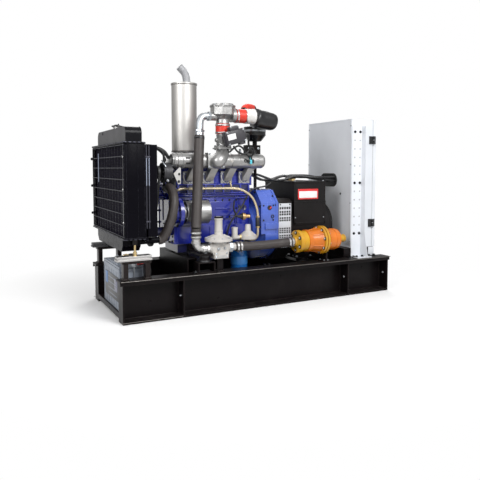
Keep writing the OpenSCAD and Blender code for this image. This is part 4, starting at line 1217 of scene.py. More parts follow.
@dataclass
class Radiator(Assembly):
    """Guard, header bolts, tank seams, cap, mounts and shroud fixings."""

    wire: float = 2.3
    rows: int = 9
    columns: int = 13
    header_bolts: int = 17
    neck: tuple[float, float] = (78.0, 378.0)
    plate: float = 8.0
    recess: float = 5.0
    highlight_y: float = 585.0
    posts: tuple[float, float] = (138.3, 153.7)
    post_heights: tuple[float, ...] = (560.0, 808.0, 968.0, 1040.0)
    screw_heights: tuple[float, ...] = (973.0, 789.0, 600.0)
    clip_heights: tuple[float, ...] = (973.0, 601.0)
    face: float = 134.2
    shoulder: float = 38.0
    outlet: tuple[float, float] = (488.0, 1102.0)
    tap: tuple[float, float] = (300.0, 1080.0)
    mount_line: float = 12.0
    stud: float = 84.0
    vents: tuple[tuple[float, int, tuple[Point, ...]], ...] = (
        (11.0, 14, (
            (200.0, 280.0, 1036.0), (250.0, 246.0, 1040.0), (300.0, 232.0, 1034.0), (344.0, 230.0, 1008.0),
            (378.0, 232.0, 955.0), (420.0, 240.0, 905.0))),
        (8.0, 12, (
            (206.0, 250.0, 1052.0), (270.0, 226.0, 1046.0), (326.0, 222.0, 1008.0), (334.0, 222.0, 940.0),
            (334.0, 226.0, 860.0), (340.0, 230.0, 790.0), (380.0, 240.0, 740.0))),
        (5.0, 12, (
            (206.0, 300.0, 1050.0), (300.0, 262.0, 1030.0), (356.0, 250.0, 960.0), (352.0, 250.0, 860.0),
            (372.0, 258.0, 800.0))))

    def build(self) -> None:
        """Make the pieces."""
        self._guard()
        self._frame()
        self._headers()
        self._top_tank()
        self._cap()
        self._mounts()
        self._shroud()

    def _guard(self) -> None:
        """Wires across, dark flats down, one bright rod that is a painted highlight, and the guard's screws.
        """
        low, high = self.site.corners("radiator_guard")
        rows = spread(low.z + self.wire, high.z - self.wire, self.rows)
        columns = spread(low.y + self.wire, high.y - self.wire, self.columns)
        wires = self.work()
        for z in rows:
            wires.rod((low.x + self.wire, low.y, z), (low.x + self.wire, high.y, z), self.wire, 10, 0.4)
        wires.done("guard_level_wires", GUARD_WIRE, instead_of=("radiator_guard",))
        flats, screws = self.work(), self.work()
        for y in columns:
            flats.block((low.x + 2 * self.wire - 0.4, y - 2.5, low.z), (high.x + 0.6, y + 2.5, high.z), 0.5)
        for y in (columns[0] + 6, columns[-1] - 6):
            flats.block((low.x + 1.0, y - 6, low.z), (low.x + 3.6, y + 6, high.z), 0.8)
            for z in self.screw_heights:
                flats.block((low.x + 0.2, y - 9, z - 10), (high.x + 0.4, y + 9, z + 10), 0.8)
                screws.bolt((low.x + 0.2, y, z), (-1, 0, 0), 8.5, 3.0)
        for z in self.screw_heights:
            flats.rod((low.x, high.y - 7, z), (-9.0, high.y - 7, z), 9.0, 16, 3.0)
        flats.done("guard_upright_flats", RADIATOR_BLACK)
        screws.done("guard_screws", STEEL)
        # Bright rod down the guard's face: a painted highlight.
        post = self.work()
        post.rod((low.x + 1, self.highlight_y, 818.0), (low.x + 1, self.highlight_y, high.z - 38), 3.4, 16)
        post.done("guard_painted_highlight", POST_HIGHLIGHT)

    def _frame(self) -> None:
        """Header plates, recessed side channels, and the pair of posts on each side with its clips; the
        middle of each post is bright with a painted highlight.
        """
        low, high = self.site.corners("radiator_frame")
        frame, posts, dark = self.work(), self.work(), self.work()
        for z in (low.z, high.z - self.plate):
            frame.block((low.x, low.y, z), (high.x, high.y, z + self.plate), 1.5)
        z0, z1 = low.z + self.plate, high.z - self.plate
        for side, y in ((1, low.y + self.recess), (-1, high.y - self.recess)):
            for a, b, x0, x1 in ((0, 3, 8.0, 130.0), (0, 38, 8.0, 11.0), (0, 38, 127.0, 130.0),
                                 (-1.2, 0, 22.0, 88.0)):
                frame.block((x0, y + side * a, z0), (x1, y + side * b, z1), 0.8)
            edge = y - side * (self.recess - 3.8)
            foot, low_end, high_end, top = self.post_heights
            # The middle of each post is bright, a painted highlight; its ends stay dark.
            for x in self.posts:
                posts.rod((x, edge, low_end), (x, edge, high_end), 3.6, 18)
                dark.rod((x, edge, foot), (x, edge, low_end + 2), 3.4, 18)
                dark.rod((x, edge, high_end - 2), (x, edge, top), 3.4, 18)
            middle = sum(self.posts) / 2
            for z in self.clip_heights:
                dark.block((middle - 14, edge - side * 3.6, z - 4),
                           (middle + 14, edge + side * 1.0, z + 4), 2.0)
        frame.done("radiator_side_channels", RADIATOR_BLACK, instead_of=("radiator_frame",))
        posts.done("radiator_post_highlights", POST_HIGHLIGHT)
        dark.done("radiator_post_clips", GUARD_WIRE)

    def _headers(self) -> None:
        """Crimped tabs and bolt rows of both header plates."""
        low, high = self.site.corners("radiator_frame")
        places = spread(low.y + 22, high.y - 22, self.header_bolts)
        bolts, tabs = self.work(), self.work()
        bolts.bolts(((19.0, y, high.z) for y in places), (0, 0, 1), 9.0)
        for y in (low.y + 14, high.y - 14):
            for z, way, across in ((high.z, 1, 9.0), (low.z, -1, 8.0)):
                bolts.bolts(((x, y, z) for x in spread(28.0, 106.0, 4)), (0, 0, way), across)
        bolts.bolts(((x, y, low.z) for y in places for x in (9.0, 126.0)), (0, 0, -1), 7.0)
        bolts.done("header_bolts", BOLT_BLACK)
        for z0, z1 in ((high.z - 4, high.z + 3.5), (low.z - 3.5, low.z + 4)):
            for y in spread(low.y + 8, high.y - 8, 30):
                tabs.block((low.x - 0.4, y - 8, z0), (low.x + 5, y + 8, z1), 1.6)
            for x in spread(16.0, 122.0, 5):
                for y in (low.y + 3, high.y - 3):
                    tabs.block((x - 8, y - 3, z0), (x + 8, y + 3, z1), 1.6)
        tabs.done("header_tabs", GUARD_WIRE)

    def _top_tank(self) -> None:
        """Seam round the tank's foot, end beads, a grey front face of painted light, drain tap and hose
        clamp.
        """
        low, high = self.site.corners("radiator_top_tank")
        seam = self.work()
        seam.block((low.x - 7, low.y - 8, low.z), (high.x + 4, high.y + 8, low.z + 5), 2.0)
        seam.slab(self._tank_outline(low, high, 2.0), Axis.X, high.x - 1.6, 3.2, 1.0)
        seam.rod((low.x - 4, high.y - 150, high.z - 16), (low.x + 2, high.y - 150, high.z - 16), 9.0, 20)
        seam.done("top_tank_seams", RADIATOR_BLACK)
        # Grey plate over the tank's front: painted light on its black paint.
        front = self.work()
        front.slab(self._tank_outline(low, high, 1.0), Axis.X, low.x - 2.0, 2.6, 1.0)
        front.done("top_tank_front_sheen", LIT_AND_SHADED_GREY)
        fittings = self.work()
        fittings.clamp((low.x + 113, *self.outlet), (1, 0, 0), 27.6)
        fittings.rod((low.x + 93, *self.tap), (low.x + 116, *self.tap), 8.0, 6)
        fittings.rod((low.x + 100, *self.tap), (low.x + 124, *self.tap), 5.0)
        fittings.done("top_tank_fittings", BRASS)

    def _tank_outline(self, low: Vector, high: Vector, out: float) -> list[tuple[float, float]]:
        """Round-shouldered outline of the tank's end.

        Args:
            low: the tank's lowest corner.
            high: its highest corner.
            out: how far the outline lies outside the tank.

        Returns:
            The outline's corners across the skid and up.
        """
        radius = self.shoulder
        points = [(low.y - out, low.z + 4.0), (high.y + out, low.z + 4.0)]
        for middle, first in (((high.y - radius, high.z - radius), 0),
                              ((low.y + radius, high.z - radius), 90)):
            for angle in spread(first, first + 90, 9):
                _, y, z = around(Axis.X, math.radians(angle)) * (radius + out)
                points.append((middle[0] + y, middle[1] + z))
        return points

    def _cap(self) -> None:
        """Filler neck, pressure cap with two ears, and its overflow pipe."""
        x, y = self.neck
        base = self.site.low("filler_cap").z
        seat = base + 20
        neck, cap = self.work(), self.work()
        neck.turned((x, y, base), (0, 0, 1), ((0, 30), (2, 30), (3, 23), (16, 23), (17, 28), (20, 28)), 40)
        neck.done("filler_neck", STEEL, instead_of=("filler_cap",))
        cap.turned((x, y, seat), (0, 0, 1), (
            (0, 32), (1, 34), (6, 34), (8, 31), (9, 20), (12, 18), (14, 12), (14, 0)), 48)
        for dy in (-33, 33):
            cap.block((x - 10, y + dy - 10, seat + 0.5), (x + 10, y + dy + 10, seat + 8), 3.0)
            cap.rod((x, y + dy, seat + 6), (x, y + dy * 1.2, seat + 16), 4.0, 12)
        cap.done("pressure_cap", BLACK_PLASTIC)
        pipe = self.work()
        pipe.tube(((x, y + 20, base + 6), (x, y + 34, base + 6), (x + 20, y + 52, base - 6),
                   (x + 56, y + 56, base - 30), (x + 58, y + 58, base - 88)), 4.0, 10)
        pipe.done("overflow_pipe", BLACK_RUBBER)

    def _mounts(self) -> None:
        """Bridge, pad, and stud with its nuts under each end; the far pad is a darker grey of painted shade.
        """
        node = "radiator_mounts"
        low, high = self.site.corners(node)
        bridge, stud = self.work(), self.work()
        pads = {1: self.work(), -1: self.work()}
        for side, y0 in zip((1, -1), self.both(self.mount_line)):
            inner = y0 + side * 58
            near, far = min(y0, inner), max(y0, inner)
            for x in (12.0, 144.0):
                bridge.block((x, near, low.z), (x + 28, far, 362.0), 3.0)
                bridge.block((x - 6, near - 3, low.z), (x + 34, far + 3, low.z + 8), 1.5)
            bridge.block((4.0, near, 352.0), (180.0, far, 368.0), 2.5)
            bridge.block((self.stud - 32, y0, 492.0), (self.stud + 32, y0 + side * 31, 502.0), 1.5)
            pads[side].block((low.x, near - 4, 368.0), (high.x, far + 4, 382.0), 5.5)
            pads[side].block((low.x + 7, near, 381.0), (high.x - 7, far, 384.0), 1.0)
            pads[side].block((low.x + 3, near - 3, 383.0), (high.x - 3, far + 3, 398.0), 6.0)
            middle = y0 + side * 16
            stud.rod((self.stud, middle, 396.0), (self.stud, middle, 466.0), 6.0, 20)
            for z in (398.0, 411.0):
                stud.turned((self.stud, middle, z), (0, 0, 1), ((0, 15), (2, 15), (2, 11.5), (11, 11.5)), 6)
            bridge.turned((self.stud, middle, 462.0), (0, 0, 1), ((0, 13), (4, 16), (32, 16)), 24)
            for x in (26.0, 158.0):
                stud.bolt((x, middle, 376.0), (0, 0, 1), 11.0, 3.0)
        bridge.done("radiator_mount_bridges", FRAME_BROWN, instead_of=(node,))
        pads[1].done("radiator_near_pad", PAD_STEEL)
        # The far pad in a darker grey: painted shade.
        pads[-1].done("radiator_far_pad_shade", LIT_AND_SHADED_GREY)
        stud.done("radiator_mount_studs", BRASS)

    def _shroud(self) -> None:
        """Vent hoses and their tag, rolled rims on the fan ring, and the shroud's folds and screws."""
        vents = self.work()
        for radius, sides, path in self.vents:
            vents.tube(path, radius, sides)
        vents.done("radiator_vent_hoses", BLACK_RUBBER)
        tag = self.work()
        tag.block((346.0, 218.0, 938.0), (372.0, 220.5, 966.0), 0.8, Matrix.Rotation(0.5, 4, "Y"))
        tag.done("vent_hose_tag", LABEL_WHITE)
        low, high = self.site.corners("fan_shroud")
        rim = self.work()
        rim.hoop((high.x - 6, *FAN_AXIS), (1, 0, 0), 271.0, 3.6)
        rim.hoop((high.x - 28, *FAN_AXIS), (1, 0, 0), 274.0, 2.4)
        for y0, y1, z0, z1 in ((low.y, high.y, low.z, low.z + 3), (low.y, high.y, high.z - 3, high.z),
                               (low.y, low.y + 3, low.z, high.z), (high.y - 3, high.y, low.z, high.z)):
            rim.block((self.face, y0, z0), (146.0, y1, z1), 0.8)
        rim.done("shroud_rims", RADIATOR_BLACK)
        screws = self.work()
        for y in spread(low.y + 40, high.y - 40, 6):
            for z, way in ((high.z - 0.4, (0, 0, 1)), (low.z + 0.4, (0, 0, -1))):
                screws.bolt((141.0, y, z), way, 7.0, 3.0)
        for z in spread(low.z + 60, high.z - 60, 4):
            screws.bolts(((202.0, y, z) for y in (low.y + 30, high.y - 30)), (1, 0, 0), 8.0)
        screws.bolt_ring((202.0, *FAN_AXIS), (1, 0, 0), 288.0, 10, 8.0, 0.2)
        screws.done("shroud_screws", ZINC)


@dataclass
class Battery(Assembly):
    """Starting battery with its lid, terminals, label and hold-down."""

    rib_count: int = 7
    rim: float = 34.0
    rod_line: float = 98.0
    lead: float = 7.5
    to_starter: tuple[Point, ...] = (
        (290.0, 170.0, 120.0), (360.0, 300.0, 90.0), (450.0, 480.0, 90.0), (560.0, 575.0, 130.0),
        (680.0, 590.0, 360.0), (760.0, 580.0, 560.0), (800.0, 560.0, 640.0), (824.0, 556.0, 660.0))

    def build(self) -> None:
        """Make the pieces."""
        low, high = self.site.corners("battery")
        lid = high.z - self.rim
        self._case(low, high, lid)
        self._leads(low, high, lid)
        self._label(low, high, lid)
        rods = self.work()
        x = self.rod_line
        for y in (low.y - 4, high.y + 4):
            rods.rod((x, y, low.z - 2), (x, y, lid + 22), 4.0, 12)
            rods.turned((x, y, lid + 17), (0, 0, 1), ((0, 7.5), (7, 7.5)), 6)
        rods.block((x - 14, low.y - 10, lid + 13.6), (x + 14, high.y + 10, lid + 17), 1.0)
        rods.done("battery_hold_down", ZINC)

    def _case(self, low: Vector, high: Vector, lid: float) -> None:
        """Case with its ribs and lid, vent caps, terminals and the positive one's cap.

        Args:
            low: the battery's lowest corner.
            high: its highest corner.
            lid: height where the lid starts.
        """
        case = self.work()
        case.block((low.x + 2, low.y + 2, low.z), (high.x - 2, high.y - 2, lid), 5.0)
        for y in spread(low.y + 18, high.y - 18, self.rib_count):
            case.block((low.x, y - 5, low.z + 12), (low.x + 6, y + 5, lid - 26), 1.5)
        case.block((low.x, low.y, lid - 20), (high.x, high.y, lid), 3.0)
        case.block((low.x + 1, low.y + 1, lid + 1), (high.x - 1, high.y - 1, lid + 14), 4.0)
        case.block((low.x + 10, low.y + 70, lid + 12), (high.x - 70, high.y - 70, lid + 23), 4.0)
        case.done("battery_case", BATTERY_GREY, instead_of=("battery",))
        caps = self.work()
        for y in spread(low.y + 98, high.y - 98, 6):
            caps.turned((low.x + 60, y, lid + 22), (0, 0, 1), ((0, 14), (4, 14), (5, 12), (5, 0)), 20)
        caps.block((high.x - 54, low.y + 14, lid + 12), (high.x - 26, low.y + 20, lid + 20), 2.0)
        caps.done("battery_vent_caps", BLACK_PLASTIC)
        posts, red = self.work(), self.work()
        for y in (low.y + 40, high.y - 40):
            posts.turned((high.x - 40, y, lid + 13), (0, 0, 1), ((0, 13), (3, 13), (4, 9.5), (20, 8.5)), 24)
            posts.block((high.x - 56, y - 13, lid + 19), (high.x - 24, y + 13, lid + 30), 2.0)
            posts.bolt((high.x - 56, y, lid + 25), (-1, 0, 0), 9.0)
        posts.done("battery_posts", BRASS)
        red.block((high.x - 60, low.y + 22, lid + 16), (high.x - 20, low.y + 58, lid + 36), 4.0)
        red.done("battery_positive_cap", LABEL_RED)

    def _leads(self, low: Vector, high: Vector, lid: float) -> None:
        """Lead to the starter, and lead to the lug on the skid's far beam.

        Args:
            low: the battery's lowest corner.
            high: its highest corner.
            lid: height where the lid starts.
        """
        plus, minus, lug = self.work(), self.work(), self.work()
        plus.tube(((high.x - 22, low.y + 40, lid + 26), (high.x + 10, low.y + 42, lid + 22),
                   (high.x + 24, low.y + 44, lid - 30), (high.x + 26, low.y + 46, 200.0), *self.to_starter),
                  self.lead)
        plus.done("starter_lead", BLACK_RUBBER)
        minus.tube(((high.x - 24, high.y - 40, lid + 26), (high.x + 10, high.y - 38, lid + 22),
                    (high.x + 24, high.y - 20, lid - 30), (high.x + 30, high.y + 20, 200.0),
                    (high.x + 42, high.y + 90, 150.0), (high.x + 60, 634.0, 140.0)), self.lead)
        minus.done("battery_negative_lead", BLACK_RUBBER)
        lug.block((high.x + 50, 636.0, 126.0), (high.x + 86, 641.0, 154.0), 2.0)
        lug.bolt((high.x + 76, 636.5, 140.0), (0, -1, 0), 13.0)
        lug.done("frame_lug", BRASS)

    def _label(self, low: Vector, high: Vector, lid: float) -> None:
        """Bare panels of the label on the end that faces out.

        Args:
            low: the battery's lowest corner.
            high: its highest corner.
            lid: height where the lid starts.
        """
        top = lid - 52
        for name, finish, y0, y1, z0, z1 in (
                ("dark", BLACK_PLASTIC, low.y + 14, high.y - 60, top - 150, top),
                ("blue", LABEL_BLUE, high.y - 118, high.y - 60, top - 78, top - 4),
                ("violet", ENGINE_DARK, low.y + 40, low.y + 120, top - 92, top - 20)):
            panel = self.work()
            out = 0.6 if name == "dark" else 0.0
            panel.block((low.x - 1.6 + out, y0, z0), (low.x + 1.0, y1, z1), 0.3)
            panel.done(f"battery_label_{name}", finish)
        lines = self.work()
        for z in (top - 30, top - 62, top - 98, top - 130):
            lines.block((low.x - 1.8, low.y + 60, z), (low.x + 0.4, high.y - 130, z + 5), 0.3)
        lines.done("battery_label_lines", BATTERY_GREY)


@dataclass
class FanDrive(Assembly):
    """Fan, pulleys, belt, water pump and charging dynamo."""

    blades: int = 7
    root: float = 48.0
    reach: float = 243.0
    belt: float = 272.0

    def build(self) -> None:
        """Make the pieces."""
        self._fan()
        self._pulley("fan_drive_pulley", (self.belt, *FAN_AXIS), 70.0, 28.0, FAN)
        self._pulley("crank_drive_pulley", (self.belt, *CRANK_AXIS), 84.0, 30.0, CRANK)
        self._pulley("dynamo_drive_pulley", (self.belt, *DYNAMO_AXIS), 34.0, 14.0, SET)
        self._dynamo()
        self._pump()

    def _fan(self) -> None:
        """Twisted blades riveted to a hub."""
        y, z = FAN_AXIS
        blades = self.work()
        for angle in turns(self.blades):
            rows = []
            for share in spread(0.0, 1.0, 9):
                radius = self.root + (self.reach - self.root) * share
                width = 62 + 34 * share - 16 * max(0.0, share - 0.8) * 5
                pitch = math.radians(34 - 16 * share)
                row = []
                for t in spread(-0.5, 0.5, 7):
                    across = t * width
                    bow = 6.0 * (0.25 - t * t) * 4
                    out = min(radius, math.sqrt(max(1.0, (self.reach + 1) ** 2 - across ** 2)))
                    tangent, axial = across * math.cos(pitch), across * math.sin(pitch) + bow
                    row.append(Vector((179.0 + axial * 0.8,
                                       y + out * math.cos(angle) - tangent * math.sin(angle),
                                       z + out * math.sin(angle) + tangent * math.cos(angle))))
                rows.append(row)
            blades.sheet(rows, 2.6)
        blades.turned((167.0, y, z), (1, 0, 0),
                      ((0, 66), (1, 70), (3, 70), (4, 52), (8, 48), (14, 48), (15, 68), (18, 70),
                       (24, 70), (25, 66)), 56)
        blades.turned((190.0, y, z), (1, 0, 0), ((0, 42), (6, 40), (8, 28), (82, 28)), 40)
        blades.done("fan_blades", FAN_GREY, FAN, instead_of=("fan",))
        rivets = self.work()
        for angle in turns(self.blades):
            for radius, side in ((54, -12), (54, 12), (64, 0)):
                rivets.dome((167.4, y + radius * math.cos(angle) - side * math.sin(angle),
                             z + radius * math.sin(angle) + side * math.cos(angle)), (-1, 0, 0), 4.2, 2.4)
        rivets.bolt_ring((167.0, y, z), (-1, 0, 0), 26.0, 4, 10.0)
        rivets.turned((166.0, y, z), (-1, 0, 0), ((0, 15), (3, 15), (4, 12), (4, 0)), 32)
        rivets.done("fan_rivets", ZINC, FAN)
        shaft = self.work()
        shaft.rod((292.0, y, z), (326.5, y, z), 14.0, 28)
        shaft.done("fan_shaft", STEEL, FAN)

    def _pulley(self, name: str, start: Point, radius: float, boss: float, body: str) -> None:
        """Grooved belt pulley.

        Args:
            name: the piece's name.
            start: middle of its front face.
            radius: its radius.
            boss: radius of its boss.
            body: the body that it rides on.
        """
        pulley = self.work()
        pulley.turned(start, (1, 0, 0), ((4, 0), (4, radius - 20), (0, radius - 14), (-0.5, radius - 3),
                                         (0.5, radius + 0.5), (3, radius + 0.5), (3.2, radius - 1.0),
                                         (17, radius - 1.0), (17.2, radius + 0.5), (20, radius + 0.5),
                                         (20.5, radius - 3), (20.5, 0)), 64)
        pulley.turned(start, (-1, 0, 0), ((-4, boss), (4, boss), (5, boss - 2), (5, 0)), 36)
        pulley.bolt_ring((start[0] + 3.6, start[1], start[2]), (-1, 0, 0), (radius + boss) / 2 - 8, 4, 9.0)
        if body == CRANK:
            pulley.bolt((start[0] - 5, start[1], start[2]), (-1, 0, 0), 24.0)
        pulley.done(name, GENERATOR_BLACK, body, ("crank_pulley",) if body == CRANK else ())
        if body == CRANK:
            damper = self.work()
            damper.turned((start[0] + 20, start[1], start[2]), (1, 0, 0), (
                (0, 62), (1, 64), (22, 64), (23, 62), (24, 30), (100.5, 30)), 56)
            damper.done("crank_damper", ENGINE_DARK, body)

    def _dynamo(self) -> None:
        """Slotted end plate, through bolts, terminals, cooling fan and bracket."""
        x, (y, z) = 308.0, DYNAMO_AXIS
        body = self.work()
        body.turned((x - 3, y, z), (1, 0, 0),
                    ((0, 16), (0, 22), (3, 24), (4, 54), (6, 60), (10, 62.6), (24, 62.6), (24.5, 60.5),
                     (34, 60.5), (34.5, 62.6), (50, 62.6), (56, 57), (59, 48), (59, 14)), 56)
        for angle in turns(12):
            way, side = around(Axis.X, angle), around(Axis.X, angle + math.pi / 2)
            first = Vector((x - 2.6, y, z)) + way * 30 - side * 3
            body.tube([first, first + way * 12, first + way * 24], 3.0, 6, 2)
        body.done("dynamo_body", CAST_DARK)
        fan = self.work()
        fan.turned((x - 15, y, z), (1, 0, 0), ((0, 12), (0, 40), (2, 42), (4, 40), (4, 12)), 48)
        fan.spokes(10, Axis.X, ((x - 11, y, z), 22), ((x - 5, y, z), 40), 2.4)
        fan.done("dynamo_cooling_fan", BOLT_BLACK)
        arm, eyes = self.work(), self.work()
        arm.slab(((363.0, 875.0), (372.0, 884.0), (404.0, 916.0), (414.0, 912.0), (414.0, 812.0),
                  (394.0, 806.0)), Axis.Y, 131.0, 7.0, 2.0)
        arm.done("dynamo_arm", ALUMINIUM)
        # Dark discs in the arm's eyes: painted shade in the holes.
        for ex, ez, size in ((401.0, 872.0, 8.0), (399.0, 826.0, 9.0)):
            eyes.turned((ex, 131.0, ez), (0, -1, 0), ((-1, size), (0.8, size), (1.0, size - 2), (0.2, 0)), 24)
        eyes.done("dynamo_arm_eye_shade", HOLE_SHADE)
        parts = self.work()
        parts.bolt_ring((x + 56, y, z), (1, 0, 0), 50.0, 4, 8.0, 0.6)
        parts.bolt((x + 56, y - 20, z + 26), (1, 0, 0), 10.0)
        parts.bolt((x + 56, y + 22, z + 20), (1, 0, 0), 8.0)
        parts.bolt((x + 26, y - 44, z - 50), (0, -1, 0), 11.0)
        parts.tube(((x + 10, y - 58, z + 34), (x - 4, y - 44, z + 62), (x + 4, y + 4, z + 76)), 4.0, 10)
        parts.done("dynamo_fittings", ZINC)

    def _pump(self) -> None:
        """Pump housing with its ribs and flange bolts."""
        y, z = FAN_AXIS
        pump = self.work()
        pump.turned((326.5, y, z), (1, 0, 0), ((0, 30), (0, 40), (3, 44), (4, 53.5), (10, 54), (12, 52.4),
                                               (50, 53.5), (54, 62), (69, 62)), 56)
        pump.spokes(8, Axis.X, ((338, y, z), 53), ((384, y, z), 58), 3.5, 6, 3)
        pump.done("water_pump_housing", ENGINE_BLUE)
        bolts = self.work()
        bolts.bolt_ring((380.6, y, z), (-1, 0, 0), 57.0, 8, 9.0, 0.3)
        bolts.done("water_pump_bolts", BOLT_BLACK)


@dataclass
class Engine(Assembly):
    """Block, head, covers, sump, flywheel housing and their fastenings."""

    deck: float = 790.0
    head_top: float = 886.0
    cover_top: float = 952.0
    near: float = 254.0
    far: float = 482.0
    front: float = 420.0
    rear: float = 960.0
    case_face: float = 396.0
    joint: float = 1103.0
    sump_top: float = 420.0
    near_ribs: tuple[float, ...] = (650.0, 716.0, 918.0)
    far_ribs: tuple[float, ...] = (470.0, 560.0, 650.0, 740.0, 830.0, 918.0)
    side_lid: tuple[float, ...] = (634.0, 864.0, 570.0, 706.0, 240.0)
    eye: tuple[float, float] = (351.0, 906.0)
    bypass: tuple[float, float] = (330.0, 840.0)
    filler: tuple[float, float] = (870.0, 388.0)
    coils: float = 315.0
    loom: tuple[Point, ...] = ((500.0, 352.0, 965.0), (640.0, 350.0, 968.0), (800.0, 349.0, 966.0),
                               (900.0, 345.0, 964.0), (945.0, 334.0, 932.0), (952.0, 334.0, 874.0))
    harness: tuple[Point, ...] = (
        (758.0, 196.0, 440.0), (772.0, 196.0, 500.0), (800.0, 196.0, 560.0), (870.0, 200.0, 640.0),
        (908.0, 204.0, 700.0), (960.0, 206.0, 764.0), (1065.0, 204.0, 786.0), (1110.0, 214.0, 806.0))
    case_bolts: tuple[tuple[float, float], ...] = (
        (226.0, 470.0), (226.0, 440.0), (510.0, 470.0), (510.0, 540.0), (510.0, 620.0), (510.0, 700.0),
        (470.0, 772.0), (400.0, 772.0), (330.0, 772.0), (262.0, 772.0), (290.0, 428.0), (450.0, 428.0))
    case_folds: tuple[tuple[float, ...], ...] = (
        (218.0, 518.0, 420.0, 430.0), (218.0, 518.0, 770.0, 780.0), (508.0, 518.0, 420.0, 780.0),
        (300.0, 310.0, 560.0, 700.0), (426.0, 436.0, 560.0, 700.0))
    housing_outline: tuple[tuple[float, float], ...] = (
        (133.0, 462.0), (133.0, 672.0), (211.0, 758.0), (525.0, 758.0), (603.0, 672.0), (603.0, 462.0))
    housing_ribs: tuple[tuple[float, float], ...] = (
        (133.0, 520.0), (133.0, 600.0), (172.0, 715.0), (290.0, 758.0), (446.0, 758.0), (603.0, 560.0))
    housing_bolts: tuple[tuple[float, float], ...] = (
        (-226, 10), (-226, 165), (-190, 222), (-120, 260), (-40, 260), (40, 260), (120, 260), (190, 222),
        (226, 165), (226, 90), (226, 10))
    front_bolts: tuple[tuple[float, float], ...] = (
        (-226, 165), (-226, 20), (-150, 262), (150, 262), (226, 165))
    starter: tuple[float, float] = (558.0, 594.0)
    solenoid: tuple[float, float] = (544.0, 660.0)
    mount: float = 536.0
    generator_mount: float = 1361.0
    stick: tuple[Point, ...] = ((600.0, 524.0, 430.0), (600.0, 532.0, 480.0), (600.0, 530.0, 600.0),
                                (598.0, 520.0, 740.0), (598.0, 516.0, 768.0))

    def build(self) -> None:
        """Make the pieces."""
        self._block()
        self._side_cover()
        self._head()
        self._head_fittings()
        self._valve_cover()
        self._ignition()
        self._gear_case()
        self._sump()
        self._flywheel_housing()
        self._starter()
        self._mounts()
        self._oil_filter()
        self._side_drive()
        self._dipstick()

    def _block(self) -> None:
        """Cast ribs and core plugs of both sides, and the row of pockets under the head, with a dark pane of
        painted shade behind them.
        """
        ribs, plugs = self.work(), self.work()
        uprights = (*BORES, self.rear - 30)
        for side, wall, levels, upright, feet, start in (
                (-1, self.near, (724.0,), uprights[2:], self.near_ribs, self.front + 200),
                (1, self.far, (548.0, 724.0), uprights, self.far_ribs, self.front + 6)):
            for z in levels:
                ribs.block((self.front + 30, wall, z - 4), (self.rear - 8, wall + side * 7, z + 4), 2.5)
            for x in upright:
                ribs.block((x - 70, wall, 534.0), (x - 60, wall + side * 9, self.deck - 62), 3.0)
            for x in BORES:
                plugs.turned((x + 4, wall + side * 10, self.deck - 35), (0, side, 0),
                             ((-2, 22), (1.5, 22), (2.5, 20), (0.5, 17), (-0.5, 0)), 32)
            skirt = wall + side * 36
            for x in feet:
                ribs.block((x - 4, skirt, self.sump_top + 10), (x + 4, skirt + side * 6, 524.0), 2.5)
            ribs.block((start, skirt, self.sump_top + 1), (self.rear - 4, skirt + side * 8, 433.0), 3.0)
        for z in (708.0, 729.0, 743.0, 802.0):
            ribs.rod((self.front + 12, self.near - 14, z), (self.rear - 10, self.near - 14, z), 6.0, 12)
        for x in spread(self.front + 14, self.rear - 12, 9):
            ribs.block((x - 6, self.near - 20, 741.0), (x + 6, self.near - 6, 804.0), 3.5)
        # Dark pane behind the ribs: painted shade in the pockets.
        pocket_shade_pane = self.work()
        pocket_shade_pane.block((self.front + 14, self.near - 12, 745.0), (self.rear - 12, self.near - 9.6, 800.0), 0.5)
        pocket_shade_pane.done("deck_pocket_shade", ENGINE_DARK)
        for z in (600.0, 700.0):
            ribs.rod((864.0, self.near - 1, z), (self.rear - 6, self.near - 1, z), 4.5, 12)
        for x in (self.rear - 80, self.rear - 40):
            plugs.turned((x, self.near - 1, 640.0), (0, -1, 0),
                         ((0, 19), (2, 19), (3, 17), (1, 14), (0, 0)), 32)
        ribs.done("block_ribs", ENGINE_BLUE)
        plugs.done("block_core_plugs", ENGINE_DARK)

    def _side_cover(self) -> None:
        """Pressed side cover with its screws and gasket."""
        x0, x1, z0, z1, y = self.side_lid
        cover = self.work()
        cover.block((x0 + 3, y - 3, z0 + 3), (x1 - 3, y + 2, z1 - 3), 1.5)
        cover.block((x0 + 20, y - 9, z0 + 20), (x1 - 20, y + 2, z1 - 20), 5.0)
        cover.rod((x0 + 60, y - 6, z0 + 68), (x1 - 60, y - 6, z0 + 68), 7.0, 16)
        cover.done("side_cover", ENGINE_BLUE)
        gasket = self.work()
        gasket.block((x0 - 1, y + 1.5, z0 - 1), (x1 + 1, y + 3.5, z1 + 1), 0.5)
        gasket.done("side_cover_gasket", BLACK_RUBBER)
        screws = self.work()
        for x in spread(x0 + 11, x1 - 11, 5):
            screws.bolts(((x, y - 3, z) for z in (z0 + 11, z1 - 11)), (0, -1, 0), 9.0)
        screws.bolts(((x, y - 3, (z0 + z1) / 2) for x in (x0 + 11, x1 - 11)), (0, -1, 0), 9.0)
        screws.done("side_cover_screws", BOLT_BLACK)

